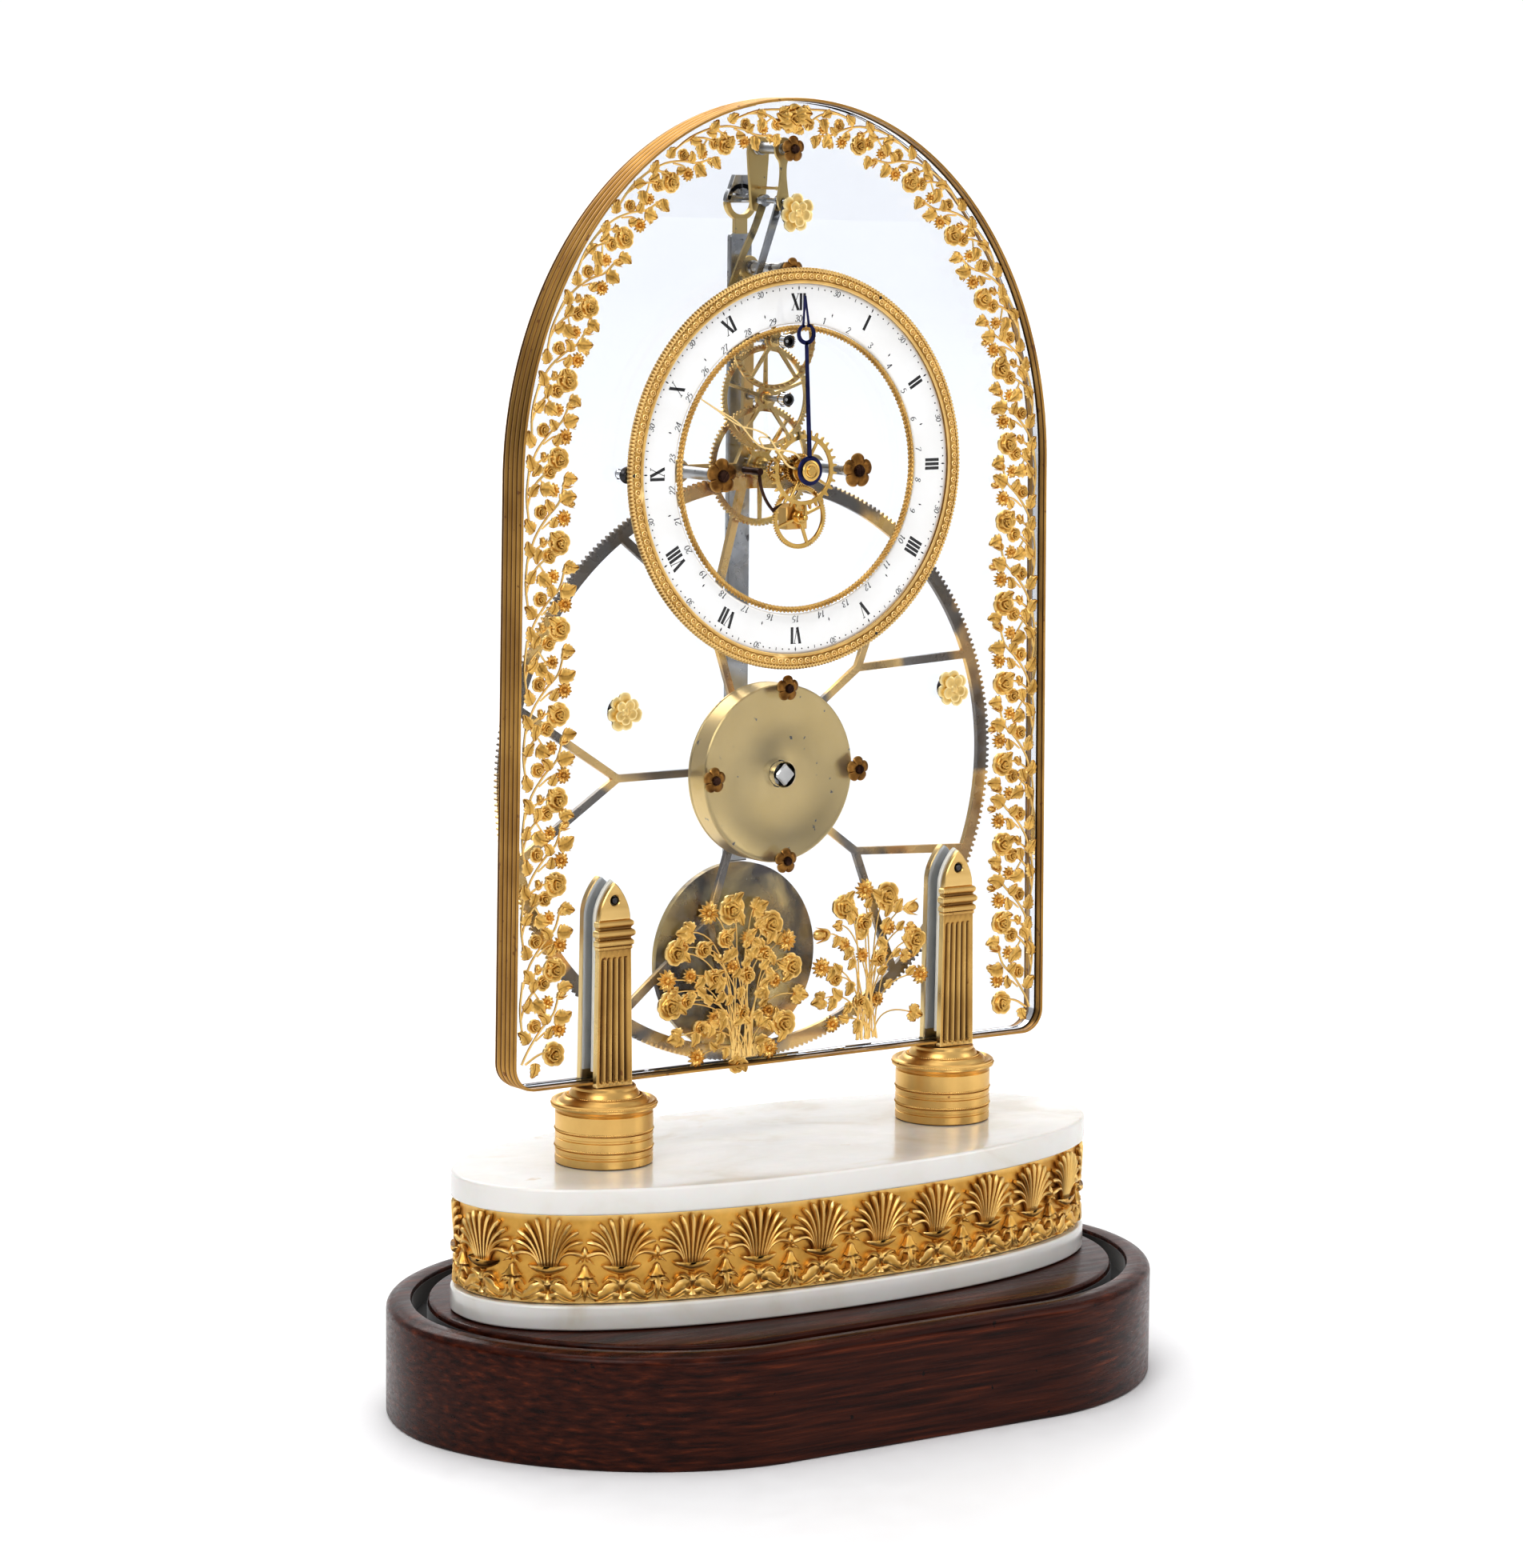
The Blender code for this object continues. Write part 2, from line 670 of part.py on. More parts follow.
def build_rosette(name, x, z):
    petals = plate(name, [scalloped(0.0071, 0.0016, 8)], -0.0072, -0.0062, x, z)
    upper = plate("upper_petals", [scalloped(0.0047, 0.0013, 6, turn=20)], -0.0084, -0.0071, x, z)
    stem = turned("stem", [(0, -0.0090), (0.0016, -0.0086), (0.0018, -0.0068), (0.0030, -0.0066),
                           (0.0046, -0.0045), (0.0046, GLASS_FRONT - GAP), (SCREW_R, GLASS_FRONT - GAP),
                           (SCREW_R, 0.0028), (0, 0.0028)], x, z, steps=SMALL_STEPS)
    finish(combine(petals, [upper, stem]), GILT)


def flower_nut(name, radius, x, z, behind):
    """A five-petalled nut with a slotted screw; behind lists the profile of what it holds."""
    seat = GLASS_FRONT - GAP
    petals = plate(name, [scalloped(radius, radius * 0.24, 5)], seat - 0.0012, seat, x, z)
    head = radius * 0.34
    profile = [(0, seat - 0.0024), (head, seat - 0.0021), (head, seat - 0.0010)] + behind
    screw = turned("screw", profile, x, z, steps=SMALL_STEPS)
    return combine(petals, [screw])


# ---------------------------------------------------------------- dial

def build_dial():
    back = DIAL_FRONT + 0.0012
    step = DIAL_FRONT - 0.0003
    ring = [(ENAMEL_R, DIAL_FRONT), (ENAMEL_R, back), (ENAMEL_INNER_R, back), (ENAMEL_INNER_R, DIAL_FRONT)]
    finish(turned("dial_ring", ring, 0, DIAL_Z, steps=DIAL_STEPS, closed=True), ENAMEL)
    bezel = [(BEZEL_R - 0.0012, step - 0.0011), (BEZEL_R, step), (BEZEL_R, -0.0066),
             (ENAMEL_R + GAP, -0.0066), (ENAMEL_R + GAP, step), (ENAMEL_R - 0.0005, step - GAP)]
    finish(turned("dial_bezel", bezel, 0, DIAL_Z, steps=DIAL_STEPS, closed=True), GILT)
    middle = (ROPE_R + ROPE_INNER_R) / 2
    rope = [(middle, DIAL_FRONT - 0.0012), (ROPE_R, DIAL_FRONT - 0.0002), (ROPE_R, back),
            (ROPE_INNER_R, back), (ROPE_INNER_R, DIAL_FRONT - 0.0002)]
    finish(turned("dial_inner_rim", rope, 0, DIAL_Z, steps=DIAL_STEPS, closed=True), GILT)
    for name, degrees in DIAL_PILLAR_ANGLES.items():
        x, z = polar(DIAL_PILLAR_R, degrees, (0, DIAL_Z))
        seat = GLASS_FRONT - GAP
        profile = [(0, -0.0063), (0.0024, -0.0063), (0.0030, -0.0050), (0.0024, seat), (SCREW_R, seat),
                   (SCREW_R, 0.0028), (0, 0.0028)]
        finish(turned(name, profile, x, z, steps=SMALL_STEPS), STEEL)


# ---------------------------------------------------------------- barrel and great wheel

def build_barrel():
    front = GLASS_BACK + GAP
    cover = BARREL_BACK - 0.0012
    bore = WINDING_ARBOR_R + 0.0006
    inside = BARREL_R - BARREL_WALL
    drum = [(BARREL_R, front), (BARREL_R, cover - GAP), (inside, cover - GAP), (inside, front + 0.0013),
            (bore, front + 0.0013), (bore, front)]
    finish(turned("barrel_drum", drum, 0, BARREL_Z, steps=32, closed=True), PALE_BRASS)
    lid = [(BARREL_R, cover), (BARREL_R, BARREL_BACK), (bore, BARREL_BACK), (bore, cover)]
    finish(turned("barrel_cover", lid, 0, BARREL_Z, steps=32, closed=True), PALE_BRASS)
    for name, degrees in BARREL_NUT_ANGLES.items():
        x, z = polar(BARREL_NUT_RING_R, degrees, (0, BARREL_Z))
        seat = GLASS_FRONT - GAP
        shank = [(SCREW_R, seat - 0.0004), (SCREW_R, 0.0029), (0, 0.0029)]
        finish(flower_nut("barrel_nut_" + name, 0.00465, x, z, shank), DARK_BRASS)


def build_mainspring():
    """A spiral strip between the barrel's wall and the arbor."""
    per_turn = 10
    count = SPRING_TURNS * per_turn + 1
    inner_r = 0.0135
    outer_r = BARREL_R - BARREL_WALL - 0.0006
    thickness = 0.0011
    spiral = []
    for i in range(count):
        radius = inner_r + (outer_r - thickness - inner_r) * i / (count - 1)
        spiral.append((radius, 360 * i / per_turn))
    outline = [polar(r + thickness, a) for r, a in spiral] + [polar(r, a) for r, a in reversed(spiral)]
    finish(plate("mainspring", [outline], 0.0052, 0.0118, 0, BARREL_Z), STEEL)


def gear_radii(distance, wheel_teeth, pinion_teeth):
    """Pitch radii of a wheel and its pinion at the given distance, and the tooth pitch."""
    total = wheel_teeth + pinion_teeth
    return (distance * wheel_teeth / total, distance * pinion_teeth / total, 2 * pi * distance / total)


def wheel_edge(pitch_r, pitch, teeth, phase):
    return toothed(teeth, pitch_r - 0.42 * pitch, pitch_r + 0.18 * pitch, phase)


def pinion_edge(pitch_r, pitch, teeth, phase):
    return toothed(teeth, pitch_r - 0.34 * pitch, pitch_r + 0.2 * pitch, phase, base=0.5)


def build_great_wheel():
    pitch_r, _, pitch = gear_radii(CENTER_Z - BARREL_Z, GREAT_TEETH, CENTER_PINION)
    rim = pitch_r - 0.42 * pitch - GREAT_RIM_W
    outlines = [wheel_edge(pitch_r, pitch, GREAT_TEETH, 90)]
    outlines += forked_windows(GREAT_HUB_R, GREAT_FORK_R, rim, 5, GREAT_FORK_SPREAD,
                               GREAT_ARM_HALF_W, 180)
    outlines.append(circle(WINDING_ARBOR_R + GAP, 16))
    finish(plate("great_wheel", outlines, GREAT_FRONT, GREAT_BACK, 0, BARREL_Z), GILT)


def build_winding():
    r = WINDING_ARBOR_R
    arbor = turned("winding_arbor", [(0, -0.0035), (0.0036, -0.0035), (WINDING_SQUARE_R, -0.0031),
                                     (WINDING_SQUARE_R, 0.0029), (r, 0.0029), (r, 0.0236), (0, 0.0236)],
                   0, BARREL_Z, steps=12)
    saw = []
    for i in range(RATCHET_TEETH):
        saw.append(polar(0.0078, 360 * i / RATCHET_TEETH + 0.5))
        saw.append(polar(RATCHET_R, 360 * i / RATCHET_TEETH + 13))
    ratchet = plate("ratchet", [saw], RATCHET_FRONT, RATCHET_BACK, 0, BARREL_Z)
    finish(combine(arbor, [ratchet]), STEEL)


def build_click():
    """A pawl on the great wheel, with its nose just outside the ratchet's teeth."""
    x, z = CLICK_PIVOT
    reach = atan2(z, x)
    nose_r = RATCHET_R + 0.0004
    nose = (nose_r * cos(reach - 0.62) - x, nose_r * sin(reach - 0.62) - z)
    outline = [nose, (nose[0] + 0.0014, nose[1] - 0.0006)] + arc(0.0022, -60, 120, 7)
    body = plate("click", [outline], RATCHET_FRONT, RATCHET_BACK, x, BARREL_Z + z)
    stud = turned("stud", [(0, RATCHET_FRONT - 0.0006), (0.0011, RATCHET_FRONT - 0.0006),
                           (0.0011, GREAT_FRONT - GAP), (0, GREAT_FRONT - GAP)], x, BARREL_Z + z, steps=10)
    finish(combine(body, [stud]), STEEL)


# ---------------------------------------------------------------- going train

def build_center_arbor():
    _, pinion_r, pitch = gear_radii(CENTER_Z - BARREL_Z, GREAT_TEETH, CENTER_PINION)
    wheel_r, _, wheel_pitch = gear_radii(THIRD_Z - CENTER_Z, CENTER_TEETH, THIRD_PINION)
    _, cannon_r, cannon_pitch = gear_radii(MOTION_DISTANCE, MINUTE_TEETH, CANNON_TEETH)
    r = CENTER_ARBOR_R
    arbor = turned("center_arbor", [(0, -0.009), (0.0008, -0.009), (0.0008, -0.0034), (r, -0.0028),
                                    (r, 0.0241), (PIVOT_R, 0.0241), (PIVOT_R, 0.026), (0, 0.026)],
                   0, CENTER_Z, steps=SMALL_STEPS)
    phase = -90 + 180 / CENTER_PINION
    pinion = plate("pinion", [pinion_edge(pinion_r, pitch, CENTER_PINION, phase)], 0.0194, 0.0224, 0, CENTER_Z)
    edge = wheel_edge(wheel_r, wheel_pitch, CENTER_TEETH, 90)
    spokes = windows(0.0052, wheel_r - 0.42 * wheel_pitch - 0.0016, 5, 0.0007, 54)
    wheel = plate("wheel", [edge] + spokes, 0.0164, 0.0176, 0, CENTER_Z)
    cannon_phase = 180 + 180 / CANNON_TEETH
    cannon_edge = pinion_edge(cannon_r, cannon_pitch, CANNON_TEETH, cannon_phase)
    cannon = plate("cannon", [cannon_edge], -0.0056, -0.0044, 0, CENTER_Z)
    finish(combine(arbor, [pinion, wheel, cannon]), PALE_BRASS)


def train_arbor(name, z):
    r = ARBOR_R
    return turned(name, [(0, -0.0015), (PIVOT_R, -0.0015), (PIVOT_R, 0.0038), (r, 0.0038), (r, 0.0241),
                         (PIVOT_R, 0.0241), (PIVOT_R, 0.026), (0, 0.026)], 0, z, steps=SMALL_STEPS)


def build_third_wheel():
    _, pinion_r, pitch = gear_radii(THIRD_Z - CENTER_Z, CENTER_TEETH, THIRD_PINION)
    wheel_r, _, wheel_pitch = gear_radii(ESCAPE_Z - THIRD_Z, THIRD_TEETH, ESCAPE_PINION)
    arbor = train_arbor("third_wheel", THIRD_Z)
    phase = -90 + 180 / THIRD_PINION
    pinion = plate("pinion", [pinion_edge(pinion_r, pitch, THIRD_PINION, phase)], 0.0158, 0.0182, 0, THIRD_Z)
    edge = wheel_edge(wheel_r, wheel_pitch, THIRD_TEETH, 90)
    spokes = windows(0.0042, wheel_r - 0.42 * wheel_pitch - 0.0013, 5, 0.0006, 18)
    wheel = plate("wheel", [edge] + spokes, 0.0134, 0.0146, 0, THIRD_Z)
    finish(combine(arbor, [pinion, wheel]), PALE_BRASS)


def build_escape_wheel():
    _, pinion_r, pitch = gear_radii(ESCAPE_Z - THIRD_Z, THIRD_TEETH, ESCAPE_PINION)
    arbor = train_arbor("escape_wheel", ESCAPE_Z)
    phase = -90 + 180 / ESCAPE_PINION
    leaves = pinion_edge(pinion_r, pitch, ESCAPE_PINION, phase)
    pinion = plate("pinion", [leaves], 0.0129, 0.0151, 0, ESCAPE_Z)
    spokes = windows(0.0036, ESCAPE_R - 0.0019, 5, 0.0006, 18)
    wheel = plate("wheel", [circle(ESCAPE_R, 45)] + spokes, 0.0086, 0.0098, 0, ESCAPE_Z)
    pins = []
    for i in range(ESCAPE_PINS):
        x, z = polar(ESCAPE_R - 0.001, 360 * (i + 0.5) / ESCAPE_PINS)
        pins.append(plate("pin", [circle(0.00045, 3, (x, z))], 0.0072, 0.0090, 0, ESCAPE_Z))
    finish(combine(arbor, [pinion, wheel] + pins), PALE_BRASS)


def build_rear_plate():
    """A T-shaped plate that carries the rear pivots, with round ends at its three pillars."""
    left = MOVEMENT_PILLARS["left_movement_pillar"]
    right = MOVEMENT_PILLARS["right_movement_pillar"]
    top = MOVEMENT_PILLARS["top_movement_pillar"]
    end_r = 0.0042
    half = 0.0022
    lean = 32
    outline = arc(end_r, lean, 360 - lean, 8, left)
    outline += [(0, left[1] - half - 0.0016)]
    outline += arc(end_r, 180 + lean, 540 - lean, 8, right)
    outline += [(0.0052, right[1] + half), (half, right[1] + half + 0.006)]
    outline += arc(end_r, -90 + lean, 270 - lean, 8, top)
    outline += [(-half, left[1] + half + 0.006), (-0.0052, left[1] + half)]
    holes = [circle(0.0012, 8, left), circle(0.0012, 8, right), circle(0.0012, 8, top)]
    for z in (CENTER_Z, THIRD_Z, ESCAPE_Z):
        holes.append(circle(PIVOT_HOLE_R, 8, (0, z)))
    finish(plate("rear_movement_plate", [outline] + holes, PLATE_FRONT, PLATE_BACK), PALE_BRASS)


def build_movement_pillars():
    for name, (x, z) in MOVEMENT_PILLARS.items():
        r = MOVEMENT_PILLAR_R
        behind = [(SCREW_R, GLASS_FRONT - GAP - 0.0004), (SCREW_R, GLASS_BACK + GAP), (r, GLASS_BACK + GAP),
                  (r, 0.0241), (0.0008, 0.0241), (0.0008, 0.0269), (0, 0.0269)]
        finish(flower_nut(name, 0.00625, x, z, behind), DARK_BRASS)


# ---------------------------------------------------------------- motion work, date work, hands

def build_minute_wheel():
    wheel_r, _, pitch = gear_radii(MOTION_DISTANCE, MINUTE_TEETH, CANNON_TEETH)
    _, pinion_r, pinion_pitch = gear_radii(MOTION_DISTANCE, HOUR_TEETH, MINUTE_PINION)
    x = -MOTION_DISTANCE
    stud = turned("minute_wheel", [(0, -0.0079), (PIVOT_R, -0.0079), (PIVOT_R, -0.001), (0, -0.001)],
                  x, CENTER_Z, steps=10)
    wheel = plate("wheel", [wheel_edge(wheel_r, pitch, MINUTE_TEETH, 0)], -0.0054, -0.0046, x, CENTER_Z)
    leaves = pinion_edge(pinion_r, pinion_pitch, MINUTE_PINION, 180 / MINUTE_PINION)
    pinion = plate("pinion", [leaves], -0.0077, -0.0053, x, CENTER_Z)
    finish(combine(stud, [wheel, pinion]), PALE_BRASS)


def build_hour_wheel():
    wheel_r, _, pitch = gear_radii(MOTION_DISTANCE, HOUR_TEETH, MINUTE_PINION)
    _, drive_r, drive_pitch = gear_radii(CENTER_Z - DAY_Z, DAY_TEETH, DAY_DRIVE_TEETH)
    bore = 0.0014
    pipe = turned("hour_wheel", [(HOUR_PIPE_R, HOUR_PIPE_FRONT), (HOUR_PIPE_R, -0.0066), (bore, -0.0066),
                                 (bore, HOUR_PIPE_FRONT)], 0, CENTER_Z, steps=12, closed=True)
    inside = circle(0.0018, 12)
    wheel = plate("wheel", [wheel_edge(wheel_r, pitch, HOUR_TEETH, 180), inside], -0.0074, -0.0067, 0, CENTER_Z)
    drive_phase = -90 + 180 / DAY_DRIVE_TEETH
    drive_edge = toothed(DAY_DRIVE_TEETH, drive_r - 0.42 * drive_pitch, drive_r + 0.16 * drive_pitch,
                         drive_phase)
    drive = plate("drive", [drive_edge, inside], -0.0106, -0.0094, 0, CENTER_Z)
    finish(combine(pipe, [wheel, drive]), PALE_BRASS)


def build_day_wheel():
    wheel_r, _, pitch = gear_radii(CENTER_Z - DAY_Z, DAY_TEETH, DAY_DRIVE_TEETH)
    arbor = turned("day_wheel", [(0, -0.0145), (0.0009, -0.0145), (0.0009, -0.004), (0, -0.004)],
                   0, DAY_Z, steps=10)
    edge = toothed(DAY_TEETH, wheel_r - 0.42 * pitch, wheel_r + 0.16 * pitch, 90)
    spokes = windows(0.0026, wheel_r - 0.42 * pitch - 0.0011, 4, 0.0005, 20)
    wheel = plate("wheel", [edge] + spokes, -0.0106, -0.0094, 0, DAY_Z)
    finger = plate("finger", [[(-0.0008, -0.001), (0.0008, -0.001), (0.0003, 0.0045), (-0.0003, 0.0045)]],
                   -0.0142, -0.0134, 0, DAY_Z)
    finish(combine(arbor, [wheel, finger]), PALE_BRASS)


def build_date_wheel():
    bore = HOUR_PIPE_R + 0.0004
    hub = turned("date_wheel", [(DATE_HUB_R, -0.0147), (DATE_HUB_R, -0.012), (bore, -0.012), (bore, -0.0147)],
                 0, CENTER_Z, steps=12, closed=True)
    edge = toothed(DATE_TEETH, DATE_R - 0.0017, DATE_R, 90)
    spokes = windows(0.0046, DATE_R - 0.0033, 4, 0.0005, 60)
    wheel = plate("wheel", [edge] + spokes + [circle(bore + GAP, 12)], -0.013, -0.0121, 0, CENTER_Z)
    finish(combine(hub, [wheel]), PALE_BRASS)


def build_hour_hand():
    ring = HOUR_HAND_RING
    ring_r = 0.0036
    boss_r = 0.0052
    half = [(0.0011, 0.0048), (0.0007, ring - ring_r - 0.004), (0.0012, ring - ring_r - 0.0005)]
    half += [polar(ring_r, a, (0, ring)) for a in (-50, -10, 30)]
    half += [(0.0019, ring + ring_r + 0.0002), (0.0009, ring + 0.0085), (0.0, HOUR_HAND_LENGTH)]
    boss = arc(boss_r, 90 + 12, 450 - 12, 15)
    outline = boss + half + [(-x, z) for x, z in reversed(half) if x > 0]
    hand = plate("hour_hand", [outline, circle(ring_r - 0.001, 12, (0, ring))], -0.0166, -0.016, 0, CENTER_Z)
    collet = turned("collet", [(0, -0.0180), (0.0017, -0.0180), (0.0019, -0.0175), (0.0035, -0.0173),
                               (0.0037, -0.0162), (0, -0.0162)], 0, CENTER_Z, steps=16)
    finish(combine(hand, [collet]), BLUED_STEEL)


def build_date_hand():
    """A slender openwork hand on the date wheel's hub, turned to the day that it shows."""
    turn = radians(360 * DATE_SHOWN / 30)
    half = [(0.0008, 0.0042), (0.0006, 0.012), (0.0022, 0.022), (0.0007, 0.031), (0.0005, 0.044)]
    outline = arc(0.0042, 90 + 11, 450 - 11, 13) + half + [(0.0, DATE_HAND_LENGTH)]
    outline += [(-x, z) for x, z in reversed(half)]
    opening = [(0, 0.0155), (0.0013, 0.022), (0, 0.0275), (-0.0013, 0.022)]
    bore = circle(HOUR_PIPE_R + 0.0004, 14)

    def turned_points(points):
        return [(x * cos(turn) + z * sin(turn), z * cos(turn) - x * sin(turn)) for x, z in points]

    outlines = [turned_points(points) for points in (outline, opening, bore)]
    finish(plate("date_hand", outlines, -0.0154, -0.015, 0, CENTER_Z), GILT)


def build_date_fixings():
    block = [(0.0045, -0.0045), (0.0045, 0.0032), (0.0030, 0.0045), (-0.0030, 0.0045), (-0.0045, 0.0032),
             (-0.0045, -0.0045)]
    bore = circle(0.0013, 10)
    finish(plate("date_cock", [block, bore], -0.0087, GLASS_FRONT - GAP, 0, DAY_Z), GILT)
    thickness = 0.0005
    spring = arc(JUMPER_R + thickness, 180, 228, 9) + [polar(DATE_R + 0.0006, 231)]
    spring += arc(JUMPER_R - thickness, 225, 180, 8)
    jumper = plate("date_jumper", [spring], -0.013, -0.0121, 0, CENTER_Z)
    post = turned("post", [(0, -0.0134), (0.0013, -0.0134), (0.0013, GLASS_FRONT - GAP), (0, GLASS_FRONT - GAP)],
                  -JUMPER_R, CENTER_Z, steps=10)
    finish(combine(jumper, [post]), SPRING_BROWN)


# ---------------------------------------------------------------- escapement bracket and pendulum

def build_bracket():
    behind = [(SCREW_R, GLASS_FRONT - GAP - 0.0004), (SCREW_R, GLASS_BACK + GAP), (0.002, GLASS_BACK + GAP),
              (0.002, 0.0054), (0.0028, 0.0054), (0.0028, 0.0068), (0.002, 0.0068), (0.002, 0.0216), (0, 0.0216)]
    finish(flower_nut("pallet_bracket", 0.00465, 0, BRACKET_Z, behind), PALE_BRASS)


def build_hangers():
    pillar_hole = circle(0.0023, 12, (0, BRACKET_Z))
    pivot_hole = circle(0.0011, 10, (0, SWING_Z))
    slender = mirrored([(0.0, 0.4198), (0.0014, 0.4202), (0.0024, 0.4235), (0.0017, 0.4285), (0.0013, 0.4325),
                        (0.0016, 0.4365), (0.0034, 0.4392), (0.0036, 0.4425), (0.0020, 0.4448), (0.0, 0.4454)])
    back = FRONT_HANGER_FRONT + 0.0011
    hanger = plate("front_hanger", [slender, pillar_hole, pivot_hole], FRONT_HANGER_FRONT, back)
    tie = turned("tie", [(0, back - 0.0005), (0.0005, back - 0.0005), (0.0005, REAR_HANGER_FRONT - GAP),
                         (0, REAR_HANGER_FRONT - GAP)], 0.0, 0.4276, steps=8)
    finish(combine(hanger, [tie]), PALE_BRASS)
    broad = mirrored([(0.0, 0.4192), (0.0024, 0.4196), (0.0030, 0.4220), (0.0045, 0.4400), (0.0040, 0.4448),
                      (0.0, 0.4456)])
    finish(plate("rear_hanger", [broad, pillar_hole, pivot_hole], REAR_HANGER_FRONT, REAR_HANGER_FRONT + 0.0015),
           PALE_BRASS)


def pallet_arm(name, tip, half_w, front, back):
    """A straight arm from the pallet arbor down to its tip, given relative to the arbor."""
    length = hypot(*tip)
    side = (-tip[1] / length * half_w, tip[0] / length * half_w)
    outline = [(side[0], side[1]), (-side[0], -side[1])]
    outline += [(tip[0] - side[0] * 0.6, tip[1] - side[1] * 0.6)]
    outline += [(tip[0] + side[0] * 0.6, tip[1] + side[1] * 0.6)]
    return plate(name, [outline], front, back, 0, SWING_Z)


def build_pallets():
    arbor = turned("pallets", [(0, 0.0033), (0.0008, 0.0033), (0.0008, 0.0054), (0.0022, 0.0054), (0.0022, 0.0070),
                               (0.0010, 0.0070), (0.0010, 0.0148), (0.0022, 0.0148), (0.0022, 0.0172),
                               (0.0008, 0.0172), (0.0008, 0.0340), (0, 0.0340)], 0, SWING_Z, steps=SMALL_STEPS)
    steel_arm = pallet_arm("steel_arm", (-0.0137, -0.0392), 0.0016, 0.0056, 0.0068)
    brass_arm = pallet_arm("brass_arm", (-0.0150, -0.0330), 0.0014, 0.0152, 0.0166)
    nib = turned("nib", [(0, 0.0103), (0.0005, 0.0103), (0.0005, 0.0156), (0, 0.0156)],
                 -0.0147, SWING_Z - 0.0322, steps=8)
    finish(combine(arbor, [steel_arm, brass_arm, nib]), STEEL)


def build_pendulum():
    ring_z = SWING_Z - 0.0007
    ring_r = 0.0067
    rod_foot = BOB_Z + BOB_R + GAP
    half = [(ROD_HALF_W, rod_foot), (ROD_HALF_W, ROD_TOP_Z - 0.0015), (ROD_HALF_W - 0.0015, ROD_TOP_Z),
            (0.0026, ROD_TOP_Z), (0.0026, ring_z - ring_r + 0.0008)]
    half += [polar(ring_r, a, (0, ring_z)) for a in (-50, -20, 10, 35)]
    half += [(0.0030, ring_z + 0.0095)]
    outline = mirrored(half)
    arbor_hole = circle(0.0012, 10, (0, SWING_Z))
    below = arc(ring_r - 0.0017, -18, -162, 9, (0, ring_z))
    rod = plate("pendulum_rod", [outline, arbor_hole, below], PENDULUM_FRONT, PENDULUM_BACK)
    move_origin(rod, Vector((0, 0, SWING_Z)))
    finish(rod, STEEL)
    middle = (PENDULUM_FRONT + PENDULUM_BACK) / 2
    lens = [(0, middle - BOB_HALF_T)]
    for share in (0.45, 0.8, 0.97):
        lens.append((BOB_R * share, middle - BOB_HALF_T * (1 - share ** 2) - 0.0008))
    lens += [(BOB_R, middle)]
    lens += [(r, 2 * middle - y) for r, y in reversed(lens[:-1])]
    bob = turned("pendulum_bob", lens, 0, BOB_Z, steps=32)
    move_origin(bob, Vector((0, 0, SWING_Z)))
    finish(bob, PALE_BRASS)


# ---------------------------------------------------------------- whole clock

def build_clock():
    clear_scene()
    build_plinth()
    build_base()
    for word, side in (("left", -1), ("right", 1)):
        build_pedestal(word + "_pedestal", side)
        build_front_pilaster(word + "_front_pilaster", side)
        build_rear_pilaster(word + "_rear_pilaster", side)
        build_clamp_screw(word + "_clamp_screw", side)
    build_glass()
    build_edge_band()
    build_garland()
    build_bouquet("left_bouquet", -0.023, 0.1215, 0.031, 0.058, 0.005)
    build_bouquet("right_bouquet", 0.0375, 0.1225, 0.0255, 0.058, -0.002)
    for name, (x, z) in ROSETTES.items():
        build_rosette(name, x, z)
    build_dial()
    build_barrel()
    build_mainspring()
    build_great_wheel()
    build_winding()
    build_click()
    build_center_arbor()
    build_third_wheel()
    build_escape_wheel()
    build_rear_plate()
    build_movement_pillars()
    build_minute_wheel()
    build_hour_wheel()
    build_day_wheel()
    build_date_wheel()
    build_hour_hand()
    build_date_hand()
    build_date_fixings()
    build_bracket()
    build_hangers()
    build_pallets()
    build_pendulum()


build_clock()
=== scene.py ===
"""Looks of the skeleton clock: every visible piece and finish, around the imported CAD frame.

Lengths are in millimetres until a piece is placed. X is to the right, Y away from the viewer
and Z up; the dial faces -Y.
"""
import json
import random
from math import asin, atan2, cos, exp, floor, hypot, pi, radians, sin

import bmesh
import bpy
from mathutils import Matrix, Vector, noise
from mathutils.geometry import tessellate_polygon


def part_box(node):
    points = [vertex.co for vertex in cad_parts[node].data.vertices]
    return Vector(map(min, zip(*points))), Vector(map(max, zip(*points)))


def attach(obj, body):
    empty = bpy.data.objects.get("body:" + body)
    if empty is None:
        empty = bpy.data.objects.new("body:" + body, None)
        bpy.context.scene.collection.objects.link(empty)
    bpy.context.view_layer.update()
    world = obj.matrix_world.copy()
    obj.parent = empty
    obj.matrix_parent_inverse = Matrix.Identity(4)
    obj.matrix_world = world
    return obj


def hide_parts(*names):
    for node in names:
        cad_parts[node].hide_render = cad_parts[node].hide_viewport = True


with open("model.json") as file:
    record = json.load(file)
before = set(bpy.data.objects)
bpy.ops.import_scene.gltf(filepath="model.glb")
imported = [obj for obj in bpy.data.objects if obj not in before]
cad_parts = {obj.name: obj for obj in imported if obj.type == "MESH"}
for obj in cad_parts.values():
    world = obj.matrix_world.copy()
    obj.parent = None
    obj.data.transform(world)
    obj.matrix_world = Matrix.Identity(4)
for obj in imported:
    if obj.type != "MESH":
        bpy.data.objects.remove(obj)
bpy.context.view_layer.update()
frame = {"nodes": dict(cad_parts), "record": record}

MM = 0.001
TURN = 2 * pi
ON_AXIS = 1e-6                  # a shorter reach than this is no reach at all
WELD = 1e-7                     # points this close, in metres, become one
